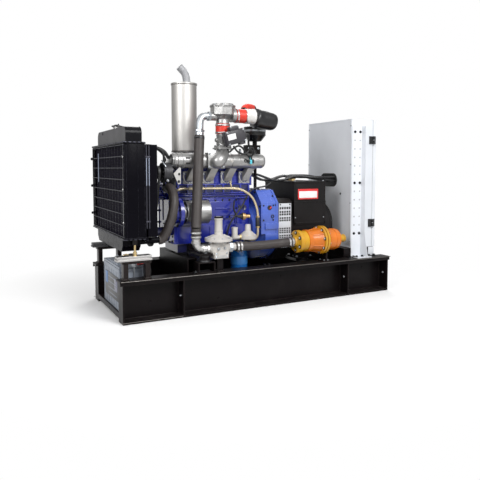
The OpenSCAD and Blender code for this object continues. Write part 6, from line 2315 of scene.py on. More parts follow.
@dataclass
class Exhaust(Assembly):
    """Manifold flanges, silencer seams and the tail pipe's clamp."""

    line: tuple[float, float, float] = (528.0, 862.0, 32.0)
    ends: tuple[float, float] = (462.0, 957.0)
    outlet: float = 591.0
    tail: float = 610.0

    def build(self) -> None:
        """Make the pieces."""
        self._manifold()
        self._silencer()

    def _manifold(self) -> None:
        """Flanges, end covers, outlet and bolts of the manifold."""
        y, z, radius = self.line
        iron = self.work()
        for x in BORES:
            iron.turned((x, y, z), (1, 0, 0),
                        ((-26, radius), (-24, radius + 4), (24, radius + 4), (26, radius)), 40)
            iron.block((x - 36, 474.0, z - 30), (x + 36, 486.0, z + 30), 5.0)
        for x, way in zip(self.ends, (-1, 1)):
            iron.turned((x, y, z), (way, 0, 0),
                        ((-12, radius), (-10, radius + 8), (0, radius + 8), (1, radius + 4),
                         (3, 20), (3, 0)), 40)
        iron.turned((self.outlet, y, z + 26), (0, 0, 1),
                    ((0, 36), (6, 36), (8, 44), (20, 44), (21, 30.8), (60, 30.8), (61, 44), (71, 44),
                     (72, 30.6), (142, 30.6)), 40)
        iron.done("exhaust_manifold_flanges", EXHAUST_IRON)
        bolts = self.work()
        for x in BORES:
            bolts.bolts(((x + dx, 486.0, z + dz) for dx, dz in ((-28, 20), (28, -20))), (0, 1, 0), 11.0)
        bolts.bolt_ring((self.outlet, y, z + 97), (0, 0, 1), 37.0, 4, 9.0, 0.8)
        bolts.done("exhaust_bolts", BOLT_BLACK)

    def _silencer(self) -> None:
        """Seam, rolled rims darkened with painted shade, and the tail pipe's collar of the silencer."""
        low, high = self.site.corners("silencer")
        x, y = (low.x + high.x) / 2, self.line[0]
        can, rims = self.work(), self.work()
        can.block((x - 4, y + 87.0, low.z + 12), (x + 4, y + 89.6, high.z - 14), 1.0)
        can.turned((x, y, high.z - 3), (0, 0, 1), ((0, 82), (2.6, 80), (2.6, 60)), 72)
        can.done("silencer_seam", SILENCER_STEEL)
        # Rims in dark steel: painted shade.
        for z0, way in ((low.z, 1), (high.z, -1)):
            rims.turned((x, y, z0), (0, 0, way),
                        ((0, 84), (0.6, 90), (4, 92), (9, 92), (12, 88.6), (14, 88.2)), 72)
        rims.hoop((x, y, high.z - 1.5), (0, 0, 1), 88.0, 3.0)
        rims.done("silencer_rim_shade", RIM_SHADE_AND_SHEEN)
        tail = self.work()
        tail.turned((self.tail, y, high.z), (0, 0, 1), ((-1, 34), (2, 34), (4, 28.6), (9, 28)), 40)
        tail.done("tail_pipe_collar", SILVER_PAINT)


@dataclass
class GasLine(Assembly):
    """Hoses, clamps, regulators and the flame arrester's fastenings."""

    riser: float = 478.0
    riser_top: Point = (541.0, 136.0, 1115.0)
    regulator: float = 632.0
    zero_regulator: Point = (872.0, 105.0, 443.0)
    stop_valve: Point = (832.0, 112.0, 592.0)
    rail: tuple[float, float] = (958.0, 126.0)
    stop_lead: tuple[Point, ...] = ((806.0, 118.0, 592.0), (796.0, 122.0, 600.0), (800.0, 170.0, 640.0),
                                    (824.0, 208.0, 690.0))
    arrester: Point = (1222.0, 60.0, 407.0)
    flange: float = 1406.0
    flange_bolts: float = 86.0
    foot: float = DECK + 0.2

    def build(self) -> None:
        """Make the pieces."""
        self._riser()
        self._regulator()
        self._zero_regulator()
        self._supply()
        self._arrester()

    def _riser(self) -> None:
        """Lower bend, and the nuts and clamps at both ends of the riser hose."""
        y, z = GAS_AXIS
        x = self.riser
        knee, top = Vector((x, y, z + 124)), Vector(self.riser_top)
        way = (top - knee).normalized()
        fittings, bend, sleeve = self.work(), self.work(), self.work()
        bend.tube(((x, y, z + 132), (x, y, z + 66), (x + 2, y, z + 34), (x + 16, y, z + 10), (x + 42, y, z),
                   (x + 74, y, z), (x + 100, y, z)), 25.5, 32, 6)
        bend.turned((x, y, z + 36), (0, 0, 1), ((0, 26), (2, 30), (16, 30), (18, 26)), 40)
        bend.turned((x + 36, y, z), (1, 0, 0), ((0, 26), (2, 30), (16, 30), (18, 26)), 40)
        bend.turned((x + 68, y, z), (1, 0, 0), ((0, 27), (1, 31), (16, 31), (17, 27)), 8)
        bend.done("lower_riser_bend", ALUMINIUM, instead_of=("gas_lower_elbow",))
        sleeve.turned((x, y, z + 66), (0, 0, 1), ((0, 27), (1, 30), (62, 30.2), (66, 30.6)), 48)
        sleeve.done("riser_hose_end", HOSE_GREY)
        fittings.turned(top + way * 22, way, ((0, 29), (2, 31.5), (14, 31.5), (16, 29)), 6)
        fittings.done("riser_pipe_nuts", ZINC)
        clamps = self.work()
        for height in (z + 78, z + 104):
            clamps.clamp((x, y, height), (0, 0, 1), 30.8, 12.0)
        clamps.done("riser_clamps", STEEL)
        upper = self.work()
        upper.clamp(top - way * 16, way, 31.4, 15.0)
        upper.done("riser_upper_clamp", CAST_DARK)

    def _regulator(self) -> None:
        """Diaphragm bolts, cap, plugs, bare plate and bracket of the pressure regulator."""
        x, (y, z) = self.regulator, GAS_AXIS
        body = self.work()
        body.turned((x, y, z + 42), (0, 0, 1), ((0, 60), (2, 84), (4, 89.4), (20, 89.4), (22, 84), (24, 78),
                                                (32, 52), (40, 32), (42, 27), (60, 26), (62, 25.4)), 64)
        body.spokes(8, Axis.Z, ((x, y, z + 66), 74), ((x, y, z + 84), 34), 3.0, 8, 2, 0.5)
        for height in (z + 104, z + 178):
            body.turned((x, y, height), (0, 0, 1), ((0, 25.4), (1, 27.5), (9, 27.5), (10, 25.4)), 48)
        body.turned((x + 58, y, z), (1, 0, 0), ((-6, 40), (0, 40), (2, 34), (12, 30)), 40)
        body.turned((x - 58, y, z), (-1, 0, 0), ((-6, 40), (0, 40), (2, 34), (8, 30)), 40)
        body.done("regulator_diaphragm", REGULATOR_BEIGE)
        bolts = self.work()
        for height, way, radius, across in ((z + 62, 1, 80.0, 10.0), (z + 46, -1, 78.0, 9.0)):
            bolts.bolt_ring((x, y, height), (0, 0, way), radius, 10, across, 0.2)
        bolts.bolts(((x + dx, y - 48, z + dz) for dx in (-36, 36) for dz in (-52, -30)), (0, -1, 0), 9.0)
        bolts.rod((x - 20, y - 40, z), (x - 20, y - 52, z), 10.0, 6)
        bolts.rod((x + 24, y - 40, z + 2), (x + 24, y - 50, z + 2), 8.0, 6)
        bolts.done("regulator_bolts", ZINC)
        plate = self.work()
        plate.block((x - 24, y - 49.5, z - 60), (x + 24, y - 47.5, z - 40), 0.4)
        plate.done("regulator_bare_plate", ALUMINIUM)
        foot = self.work()
        foot.block((x - 20.6, y - 24.8, self.foot), (x + 20.6, y - 17.4, z - 61.6), 1.0)
        foot.block((x - 24.6, y - 40.6, self.foot), (x + 24.6, y + 20.6, self.foot + 6.4), 1.0)
        foot.turned((x, y, z + 190), (0, 0, 1), ((0, 26), (2, 26.6), (8, 26.6), (9.8, 24), (9.8, 0)), 40)
        foot.done("regulator_foot_and_cap", FRAME_BLACK)

    def _zero_regulator(self) -> None:
        """Bolts, cap, valve and joint of the zero pressure regulator."""
        x, y, z = self.zero_regulator
        body = self.work()
        body.turned((x, y, z - 2), (0, 0, 1), ((0, 40), (3, 55), (5, 59.4), (24, 59.4), (26, 56), (36, 40),
                                               (52, 25), (54, 21), (62, 20), (88, 19), (90, 16),
                                               (97.5, 14), (97.5, 0)), 56)
        body.turned((x - 98, y, z + 6), (0, 0, 1),
                    ((0, 18), (2, 21), (24, 21), (26, 18), (60, 17), (62, 21), (74, 21),
                     (76, 14), (76, 0)), 40)
        body.done("zero_regulator_body", REGULATOR_BEIGE)
        bolts = self.work()
        bolts.bolt_ring((x, y, z + 22), (0, 0, 1), 52.0, 8, 8.0, 0.2)
        bolts.bolt_ring((x, y, z), (0, 0, -1), 50.0, 8, 7.0, 0.2)
        bolts.turned((x - 66, y, z + 12), (1, 0, 0), ((0, 17), (1, 19), (14, 19), (15, 17)), 6)
        bolts.turned((x + 28, y + 46, z + 12), (0, 1, 0), ((0, 15), (1, 17), (12, 17), (13, 15)), 6)
        bolts.done("zero_regulator_bolts", BRASS)
        valve, knob, cone = self.work(), self.work(), self.work()
        knob.turned(self.stop_valve, (1, -0.2, 0), ((0, 20), (3, 25), (12, 25), (14, 22), (22, 22), (24, 14),
                                                          (34, 12), (52, 12), (54, 6)), 20)
        knob.done("stop_valve_knob", VALVE_TAN)
        cone.turned(self.stop_valve, (-1, 0.2, 0), ((-2, 17), (4, 17), (20, 9), (28, 9)), 24)
        cone.tube(self.stop_lead, 6.0, 10)
        cone.done("stop_valve_lead", BLACK_RUBBER)
        for height in (508.0, 578.0):
            valve.turned((*self.rail, height), (0, 0, 1), ((0, 13), (1, 15), (11, 15), (12, 13)), 6)
        valve.done("brass_valve_and_nuts", BRASS)
        joint = self.work()
        joint.turned((*self.rail, 518.0), (0, 0, 1), ((0, 12), (3, 14), (57, 14), (60, 12)), 28)
        joint.done("rail_rubber_joint", BLACK_RUBBER)

    def _supply(self) -> None:
        """Clamps and unions of the supply hose."""
        y, z = GAS_AXIS
        clamps = self.work()
        for x, dy, dz in ((762.0, 0.6, 0.0), (786.0, 0.6, -0.3), (1186.0, 10.8, 2.0), (1162.0, 10.8, 1.4)):
            clamps.clamp((x, y + dy, z + dz), (1, 0, 0), 30.6)
        clamps.done("supply_hose_clamps", STEEL)
        union = self.work()
        union.turned((700.0, y, z), (1, 0, 0), ((0, 29), (2, 33), (24, 33), (26, 29)), 6)
        x, y, z = self.arrester
        union.turned((x - 23, y, z), (1, 0, 0), ((0, 26), (2, 30), (12, 30), (14, 26)), 6)
        union.done("supply_unions", ZINC)

    def _arrester(self) -> None:
        """Flange bolts with dark rings of painted shade round them, and the rims and ribs of the arrester's
        body.
        """
        x, y, z = self.arrester
        bolts, bolt_shade_rings = self.work(), self.work()
        back = self.flange + 40
        for x0, seat, way, radius, count, across, turn in (
                (self.flange, self.flange, -1, self.flange_bolts, 8, 14.0, 0.2),
                (back, back, 1, self.flange_bolts, 8, 14.0, 0.2),
                (x - 1, x - 0.6, -1, 60.0, 6, 12.0, 0.5)):
            bolts.bolt_ring((x0, y, z), (way, 0, 0), radius, count, across, turn)
            axis = frame_of((way, 0, 0))
            for angle in turns(count):
                spot = Vector((seat, y, z)) + axis @ (around(Axis.Z, angle + turn) * radius)
                # Dark ring round each bolt: painted shade.
                bolt_shade_rings.turned(spot, (way, 0, 0), ((-0.4, 13.5), (1.6, 13.5), (2.2, 11)), 24)
        bolt_shade_rings.done("arrester_bolt_shade", HOLE_SHADE)
        for angle in turns(8):
            spot = Vector((self.flange + 4, y, z)) + around(Axis.X, angle + 0.2) * self.flange_bolts
            bolts.rod(spot, spot + Vector((32, 0, 0)), 5.5, 12)
        for x0 in (self.flange + 34, self.flange + 62):
            bolts.bolts(((x0, y + dy, DECK + 6) for dy in (-30, 18)), (0, 0, 1), 11.0)
        bolts.done("arrester_bolts", ZINC)
        body = self.work()
        body.turned((x + 70, y, z), (1, 0, 0), ((0, 72), (2, 76.6), (28, 76.6), (30, 72)), 64)
        body.spokes(6, Axis.X, ((x + 104, y, z), 70), ((x + 182, y, z), 84), 4.5, 8, 3, 0.4)
        for x0 in (self.flange + 58, self.flange + 112):
            body.turned((x0, y, z), (1, 0, 0), ((0, 74), (1, 76.5), (7, 76.5), (8, 74)), 64)
        body.done("arrester_rims", ARRESTER_ORANGE)
        self._arrester_ends()

    def _arrester_ends(self) -> None:
        """Flanges and gasket, foot, and the capped nozzle at the arrester's rear."""
        x, y, z = self.arrester
        rings, foot = self.work(), self.work()
        rings.turned((x, y, z), (1, 0, 0),
                     ((-0.5, 0), (-0.5, 74), (1.5, 76.8), (24, 76.8), (26, 71), (69.6, 70.8)), 64)
        rings.turned((x - 1, y, z), (-1, 0, 0), ((0, 44), (4, 42), (8, 33), (20, 29)), 56)
        foot.block((self.flange + 39.2, y - 46.8, self.foot), (self.flange + 48.8, y + 46.8, 346.0), 1.0)
        foot.block((self.flange + 19.2, y - 46.8, self.foot),
                   (self.flange + 76.8, y + 34.8, self.foot + 6.6), 1.0)
        foot.done("arrester_foot", FRAME_BLACK)
        for x0 in (self.flange, self.flange + 22):
            rings.turned((x0, y, z), (1, 0, 0), ((-0.3, 94), (1.5, 98.6), (16.5, 98.6), (18.3, 94)), 72)
        rings.done("arrester_flanges", ARRESTER_YELLOW)
        screen = self.work()
        screen.turned((self.flange + 18, y, z), (1, 0, 0), ((0, 78), (0.2, 80), (3.8, 80), (4, 78)), 64)
        screen.done("arrester_gasket", BLACK_RUBBER)
        end = self.work()
        x1 = self.flange + 150
        end.turned((x1, y, z), (1, 0, 0), ((0, 40), (4, 40), (6, 36), (18, 36), (20, 27), (62, 26.4),
                                           (64, 28.5), (74, 28.5), (77.6, 26.2)), 56)
        end.bolt_ring((x1 + 2, y, z), (1, 0, 0), 56.0, 6, 9.0)
        end.done("inlet_nozzle_rings", ARRESTER_YELLOW)


@dataclass
class Generator(Assembly):
    """Drive end grille, barrel bands, terminal box fittings and feet."""

    face: float = 142.0
    barrel: tuple[float, float] = (1241.0, 1601.0)
    barrel_radius: float = 201.4
    bare_plate: tuple[float, float] = (1420.0, 196.0)
    cover_corner: tuple[float, ...] = (226.0, 92.0, 182.0, 204.0)
    end_bolts: tuple[tuple[float, float], ...] = (
        (-200, -60), (-206, 60), (206, 60), (200, -60), (-120, 188), (120, 188))
    seam: float = 664.0
    label: tuple[float, ...] = (1303.0, 1475.0, 689.0, 762.0)
    grille: tuple[float, float, float, float] = (1131.0, 1236.0, 345.0, 666.0)
    groups: tuple[tuple[float, float], ...] = ((377.0, 395.0), (410.0, 446.0), (458.0, 496.0), (541.0, 570.0),
                                               (582.0, 614.0), (624.0, 641.0))

    def build(self) -> None:
        """Make the pieces."""
        for side in (-1, 1):
            self._grille(side)
        self._drive_end()
        self._barrel()
        self._box()
        self._glands()

    def _grille(self, side: int) -> None:
        """Louvred plate on a flat side of the drive end, with groups of slots.

        Args:
            side: -1 on the near side, 1 on the far side.
        """
        x0, x1, z0, z1 = self.grille
        y = self.face if side < 0 else self.site.width - self.face
        near, far = sorted((y + side * 0.2, y + side * 2.2))
        plate = self.work()
        edges = [z0 + 20, *(edge for group in self.groups for edge in group), z1]
        for low, high in zip(edges[::2], edges[1::2]):
            plate.block((x0, near, low), (x1, far, high), 0.4)
        for low, high in self.groups:
            count = max(1, round((high - low) / 13))
            for i in range(1, count):
                z = low + (high - low) * i / count
                plate.block((x0, near, z - 2.2), (x1, far, z + 2.2), 0.4)
            for i, x in enumerate(spread(x0 + 4, x1 - 4, 6)):
                half = 4.0 if i in (0, 5) else 2.6
                plate.block((x - half, near, low - 1), (x + half, far, high + 1), 0.4)
        for x in spread(x0 + 10, x1 - 10, 6):
            plate.turned((x, near, z0 + 21), (0, 1, 0), ((0, 9), (far - near, 9)), 20)
        plate.done(f"drive_end_grille_{'near' if side < 0 else 'far'}", GRILLE_WHITE)
        screws = self.work()
        screws.bolts(((x, y + side * 2, z) for x in (x0 + 14, x1 - 14) for z in (z0 + 16, z1 - 8)),
                     (0, side, 0), 7.0)
        screws.done(f"grille_screws_{'near' if side < 0 else 'far'}", BOLT_BLACK)

    def _drive_end(self) -> None:
        """Flange rims, top ribs and bolts of the drive end."""
        y, z = CRANK_AXIS
        low, high = self.site.corners("generator_drive_end")
        rim = self.work()
        half, cut, near_top, top = self.cover_corner
        outline = [(-half, -half + cut), (-half + cut, -half), (half - cut, -half), (half, -half + cut),
                   (half, near_top), (half - 40, top), (40 - half, top), (-half, near_top)]
        for x in (low.x + 0.2, high.x - 9.8):
            rim.slab([(y + dy * 1.012, z + dz * 1.012) for dy, dz in outline], Axis.X, x, 9.6, 2.0)
        for dy in (-60.0, 0.0, 60.0):
            rim.block((low.x + 10, y + dy - 4, z + 200), (high.x - 10, y + dy + 4, z + 207), 2.0)
        rim.done("drive_end_rims", GENERATOR_BLACK)
        bolts = self.work()
        bolts.bolts(((high.x, y + dy, z + dz) for dy, dz in self.end_bolts), (1, 0, 0), 14.0)
        bolts.done("drive_end_bolts", BOLT_BLACK)

    def _barrel(self) -> None:
        """Bands, rear cowl with its ribs and bolts, and the bare plate of the barrel."""
        y, z = CRANK_AXIS
        x0, x1 = self.barrel
        bands = self.work()
        for x, width in ((x0, 12.0), (x1 - 14, 14.0)):
            bands.turned((x, y, z), (1, 0, 0),
                         ((0, 198), (1.5, 202.5), (width - 1.5, 202.5), (width, 199)), 96)
        bands.turned((x1, y, z), (1, 0, 0),
                     ((0, 171), (6, 172), (28, 172), (34, 168), (36, 150), (36, 60), (35, 0)), 80)
        bands.spokes(18, Axis.X, ((x1 + 35.4, y, z), 66), ((x1 + 35.4, y, z), 146), 3.2, 6, 3)
        bands.done("barrel_bands", GENERATOR_BLACK)
        bolts = self.work()
        bolts.bolt_ring((x1, y, z), (1, 0, 0), 186.0, 8, 12.0, 0.39)
        bolts.turned((x1 + 35, y, z), (1, 0, 0), ((0, 50), (3, 50), (5, 46), (5, 0)), 40)
        bolts.done("barrel_bolts", BOLT_BLACK)
        plate = self.work()
        x, angle = self.bare_plate[0], math.radians(self.bare_plate[1])
        spot = Vector((x, y, z)) + around(Axis.X, angle) * self.barrel_radius
        half = Vector((52, 1.2, 30))
        plate.block(spot - half, spot + half, 0.5, Matrix.Rotation(angle - math.pi, 3, "X"))
        plate.done("generator_bare_plate", ALUMINIUM)

    def _box(self) -> None:
        """Lid, seam, screws and the bare red-edged label of the terminal box."""
        low, high = self.site.corners("terminal_box")
        seam = self.seam
        box = self.work()
        for z0, z1, edge in ((seam, seam + 10, 1.5), (high.z - 14, high.z + 2, 3.0)):
            box.block((low.x - 2.5, low.y - 2.5, z0), (high.x + 2.5, high.y + 2.5, z1), edge)
        box.block((low.x - 0.5, low.y - 2, low.z + 6), (high.x + 0.5, low.y + 1, low.z + 18), 1.0)
        for x in (low.x + 5, high.x - 5):
            box.block((x - 7, low.y - 2, low.z), (x + 7, low.y + 1, seam), 1.0)
        box.block((low.x + 16, low.y - 1.6, seam + 14), (high.x - 16, low.y + 1, high.z - 18), 1.0)
        box.done("terminal_box_lid", GENERATOR_BLACK)
        screws = self.work()
        screws.bolts(((x, low.y - 2, z) for x, z in ((1282.0, 560.0), (1524.0, 556.0))), (0, -1, 0), 6.0)
        screws.bolts(((x, y, high.z + 1.6) for x in (low.x + 12, high.x - 12)
                      for y in (low.y + 14, high.y - 14)), (0, 0, 1), 9.0)
        screws.done("terminal_box_screws", ZINC)
        x0, x1, z0, z1 = self.label
        edge, white = self.work(), self.work()
        edge.block((x0, low.y - 3.0, z0), (x1, low.y - 0.5, z1), 0.4)
        edge.done("terminal_box_label_edge", LABEL_RED)
        white.block((x0 + 9, low.y - 3.5, z0 + 9), (x1 - 9, low.y - 1.5, z1 - 16), 0.3)
        white.done("terminal_box_bare_label", LABEL_WHITE)

    def _glands(self) -> None:
        """Glands where the cables leave the box."""
        top = self.site.high("terminal_box").z
        glands = self.work()
        for y in spread(282.0, 384.0, 4):
            glands.turned((1343.0, y, top + 1), (0, 0, 1),
                          ((0, 15.5), (7, 15.5), (7.2, 13.5), (16, 12.6), (18, 11.4)), 6)
        glands.turned((1310.0, 250.0, top + 1), (0, 0, 1), ((0, 13), (8, 13), (8.2, 10), (15, 9)), 6)
        glands.done("cable_glands", BRASS)


@dataclass
class Wiring(Assembly):
    """Power cables and looms, which run from the generator and the engine into the cabinet."""

    cable: float = 11.0
    loom: float = 9.0
    deck: float = 790.0
    box_top: float = 815.0
    box_x: float = 1273.0
    entry: float = 815.5
    end: float = 1764.0
    slot: float = 775.0
    cabinet: float = 1722.0
    looms: tuple[tuple[float, float, float, float], ...] = (
        (334.0, 262.0, 292.0, 84.0), (432.0, 424.0, 426.0, 86.0), (456.0, 452.0, 450.0, 80.0))

    def build(self) -> None:
        """Make the pieces."""
        cables = self.work()
        x, top = self.box_x, self.box_top
        for y in spread(302.0, 404.0, 4):
            cables.tube((
                (x + 70, y - 20, top), (x + 70, y - 20, top + 12), (x + 84, y - 19, top + 30),
                (x + 120, y - 12, top + 38), (x + 210, y - 4, top + 36), (x + 330, y, top + 16),
                (self.cabinet - 30, y, self.entry), (self.end - 20, y, self.entry - 4),
                (self.end, y, self.entry - 4)), self.cable, 16)
        cables.done("power_cable_runs", BLACK_RUBBER, instead_of=("power_cables",))
        looms = self.work()
        for path in self.looms:
            looms.ribbed_tube(self._loom(path), self.loom)
        looms.done("loom_conduits", BLACK_PLASTIC)
        ties = self.work()
        for path in self.looms:
            line = smooth([Vector(p) for p in self._loom(path)], 10)
            for k in (18, 34, 50, 66):
                ties.hoop(line[k], line[k + 1] - line[k - 1], self.loom + 0.6, 1.3)
        ties.done("loom_ties_rear", BLACK_RUBBER)

    def _loom(self, path: Sequence[float]) -> list[Point]:
        """Route of one loom from the head to the cabinet's slot.

        Args:
            path: places across the skid at the head, over the generator and at the slot, and the height
                over the engine's deck.

        Returns:
            Points of its route.
        """
        start, over, into, height = path
        x, top = self.box_x, self.box_top
        return [(950.0, start, self.deck + height), (974.0, start, self.deck + height),
                (1070.0, start, self.deck + 74), (1161.0, over - 2, top + 10), (x - 16, over, top + 13),
                (x + 80, over, top + 36), (x + 230, over, top + 26),
                (self.cabinet - 60, into, self.slot + 66), (self.end - 20, into, self.slot + 66),
                (self.end, into, self.slot + 66)]


@dataclass
class Cabinet(Assembly):
    """Sheet seams, slot edging, door fittings, switchgear and stands."""

    side: float = 1722.0
    near: float = 94.0
    far: float = 642.0
    low: float = 322.0
    high: float = 1268.0
    door: float = 1922.0
    front: float = 1948.0
    slot: tuple[float, float, float, float] = (268.0, 468.0, 775.0, 865.0)
    hinges: tuple[float, float] = (501.7, 1116.6)
    hinge_axis: tuple[float, float] = (1919.5, 85.0)
    holes: int = 13
    plate: float = 1783.0
    stand_lines: tuple[float, float] = (1748.0, 1796.0)
    lamp_height: float = 956.0
    lamps: tuple[float, ...] = (300.0, 368.0, 436.0)
    switch: float = 518.0
    stop: tuple[float, float] = (368.0, 890.0)
    phases: tuple[float, ...] = (202.0, 248.0, 294.0)
    ducts: tuple[tuple[float, ...], ...] = (
        (118.0, 150.0, 380.0, 1210.0), (588.0, 620.0, 380.0, 1210.0), (152.0, 586.0, 700.0, 740.0),
        (152.0, 586.0, 570.0, 600.0))

    def build(self) -> None:
        """Make the pieces."""
        self._shell()
        self._slot()
        self._stands()
        self._door()
        self._controls()
        self._hinges()
        self._gear()
        self._gear_wires()

    def _shell(self) -> None:
        """Folds and screws of the shell's back, skirts under its sides, and a grey line of painted shade in
        the door's seam.
        """
        rims = self.work()
        for z0, z1 in ((self.low, self.low + 10), (self.high - 10, self.high)):
            rims.block((self.side - 1.2, self.near + 4, z0 + 0.3),
                       (self.side + 1, self.far - 4, z1 - 0.3), 0.6)
        for y0, y1 in ((self.near + 3, self.near + 13), (self.far - 13, self.far - 3)):
            rims.block((self.side - 1.2, y0, self.low + 8), (self.side + 1, y1, self.high - 8), 0.6)
        rims.done("cabinet_back_folds", CABINET_WHITE)
        screws = self.work()
        for z in spread(self.low + 50, self.high - 50, 4):
            screws.bolts(((self.side - 1.2, y, z) for y in (self.near + 8, self.far - 8)), (-1, 0, 0), 7.0)
        screws.done("cabinet_back_screws", ZINC)
        skirt = self.work()
        for y0, y1 in ((self.near - 9, self.near - 6), (self.far + 6, self.far + 9)):
            skirt.block((self.side + 160, y0, self.low - 65.5), (self.door + 14, y1, self.low - 0.5), 0.8)
        skirt.done("cabinet_skirts", CABINET_WHITE)
        # Grey line round the door: painted shade in its seam.
        gasket = self.work()
        x0, x1 = self.door - 5.5, self.door + 0.5
        for low, high in (((x0, self.near + 1, self.high - 5), (x1, self.far - 1, self.high - 1.5)),
                          ((x0, self.near + 1, self.low + 1.5), (x1, self.far - 1, self.low + 5)),
                          ((x0, self.near + 1.5, self.low + 2), (x1, self.near + 5, self.high - 2)),
                          ((x0, self.far - 5, self.low + 2), (x1, self.far - 1.5, self.high - 2))):
            gasket.block(low, high, 1.0)
        gasket.done("door_seam_shade", HOLE_SHADE_GREY)

    def _slot(self) -> None:
        """Rubber edging round the cable slot with a black sheet of painted shade across its opening, and the
        small hole below it as a dark disc of painted shade.
        """
        y0, y1, z0, z1 = self.slot
        radius = (z1 - z0) / 2
        path = []
        for middle, first in ((y1 - radius, -90), (y0 + radius, 90)):
            for angle in spread(first, first + 180, 13):
                path.append(Vector((self.side + 1.5, middle, z0 + radius))
                            + around(Axis.X, math.radians(angle)) * radius)
        edging_and_shade = self.work()
        edging_and_shade.tube([*path, path[0]], 6.6, 10, 3)
        # Black sheet across the slot's opening: painted shade.
        edging_and_shade.slab([(v, w) for _, v, w in path], Axis.X, self.side + 2.2, 1.6, 0.0)
        edging_and_shade.done("slot_edging_and_shade", BLACK_RUBBER)
        # Dark disc in the small hole: painted shade.
        hole_shade_disc = self.work()
        hole_shade_disc.turned((self.side + 0.4, 221.0, 718.0), (-1, 0, 0), ((0, 8), (1.4, 8), (1.6, 6), (0.8, 0)), 20)
        hole_shade_disc.done("side_hole_shade", HOLE_SHADE)

    def _stands(self) -> None:
        """Perforations as grey discs of painted shade, bolts and foot welds of the two stands."""
        # Grey discs in the perforations: painted shade.
        holes, bolts, welds = self.work(), self.work(), self.work()
        heights = spread(430.0, 1174.0, self.holes)
        profile = ((-1, 6.5), (0.3, 6.5), (0.4, 5.0), (0.3, 0))
        for side, y in zip((-1, 1), self.both(90.0)):
            for x in self.stand_lines:
                bolts.bolts(((x, y, z) for z in heights[::6]), (0, side, 0), 13.0)
                for i, z in enumerate(heights):
                    if i % 6:
                        holes.turned((x, y + side * 0.1, z), (0, side, 0), profile, 20)
            bolts.bolts(((x, y + side * 40, DECK + 6) for x in (1745.0, 1795.0)), (0, 0, 1), 15.0)
            welds.bead((1724.0, y + side * 1, 264.0), (1816.0, y + side * 1, 264.0))
        holes.done("stand_hole_shade", HOLE_SHADE_GREY)
        bolts.done("stand_bolts", BOLT_BLACK)
        welds.done("stand_welds", CABINET_WHITE)

    def _door(self) -> None:
        """Ventilation louvres and locks of the door."""
        x = self.front
        louvres = self.work()
        for z in spread(self.low + 90, self.low + 266, 9):
            louvres.wedge((x, self.near + 140, z), (x, self.far - 140, z + 13))
        louvres.done("door_louvres", CABINET_WHITE, DOOR)
        locks = self.work()
        for z in (500.0, 800.0, 1100.0):
            locks.turned((x - 1, self.far - 34, z), (1, 0, 0),
                         ((0, 17), (3, 17), (5, 14), (9, 13), (10, 11), (10, 0)), 36)
            locks.block((x + 8.6, self.far - 37, z - 9), (x + 12, self.far - 31, z + 9), 1.0)
        locks.done("door_locks", STEEL, DOOR)

    def _controls(self) -> None:
        """Screen, lamps, keys, switch and stop button on the door, without any words."""
        x = self.front
        dark, screen = self.work(), self.work()
        dark.block((x - 1, 288.0, 1010.0), (x + 9, 448.0, 1150.0), 4.0)
        dark.block((x - 1, 476.0, 1100.0), (x + 5, 560.0, 1150.0), 2.0)
        for y in spread(308.0, 428.0, 6):
            dark.block((x + 8, y - 7, 1026.0), (x + 12, y + 7, 1040.0), 2.0)
        dark.done("controller_face", BLACK_PLASTIC, DOOR)
        screen.block((x + 7, 312.0, 1060.0), (x + 10.4, 424.0, 1132.0), 1.0)
        screen.done("controller_screen", SCREEN_DARK, DOOR)
        z = self.lamp_height
        rings = self.work()
        for name, finish, y in zip(("green", "amber", "red"),
                                   (LAMP_GREEN, ARRESTER_YELLOW, LABEL_RED), self.lamps):
            lamp = self.work()
            lamp.turned((x + 4, y, z), (1, 0, 0), ((0, 10), (4, 10), (8, 8.5), (10.5, 5), (11, 0)), 32)
            lamp.done(f"door_lamp_{name}", finish, DOOR)
            rings.turned((x - 1, y, z), (1, 0, 0), ((0, 15), (4, 15), (6, 13), (6, 10)), 36)
        y = self.switch
        rings.turned((x - 1, y, z), (1, 0, 0), ((0, 17), (5, 17), (7, 14), (16, 13), (17, 0)), 36)
        rings.block((x + 14, y - 4, z - 12), (x + 22, y + 4, z + 12), 2.0)
        rings.done("door_lamp_rings", STEEL, DOOR)
        stop = self.work()
        stop.turned((x - 1, *self.stop), (1, 0, 0),
                    ((0, 9), (12, 9), (14, 20), (18, 21), (24, 19), (27, 12), (27.5, 0)), 40)
        stop.done("stop_button", LABEL_RED, DOOR)
        ring = self.work()
        ring.turned((x - 1, *self.stop), (1, 0, 0), ((0, 30), (2, 30), (3, 28), (3, 0)), 48)
        ring.done("stop_button_ring", ARRESTER_YELLOW, DOOR)

    def _hinges(self) -> None:
        """Both hinges: pins, leaves on the shell and on the door, and their screws."""
        pins, leaves = self.work(), self.work()
        x, y = self.hinge_axis
        for z in self.hinges:
            pins.block((x - 37.5, y + 1.5, z - 29), (x - 1.5, y + 8.8, z + 29), 2.0)
            pins.rod((x, y, z - 30), (x, y, z - 1), 7.4, 20)
            pins.turned((x, y, z - 36), (0, 0, 1), ((0, 5), (1, 7.6), (3, 7.6), (4, 6)), 24)
            pins.bolts(((x - 12.5, y + 4, height) for height in (z - 26, z - 12)), (0, -1, 0), 6.0)
            leaves.block((x + 1.9, y + 2, z - 29), (x + 21.5, y + 8.6, z + 29), 2.0)
            leaves.rod((x, y, z + 1), (x, y, z + 30), 7.4, 20)
            leaves.bolts(((x + 14.5, y + 2.4, height) for height in (z - 16, z + 16)), (0, -1, 0), 5.0)
        pins.done("hinge_pins", BLACK_PLASTIC)
        leaves.done("hinge_leaves", BLACK_PLASTIC, DOOR)

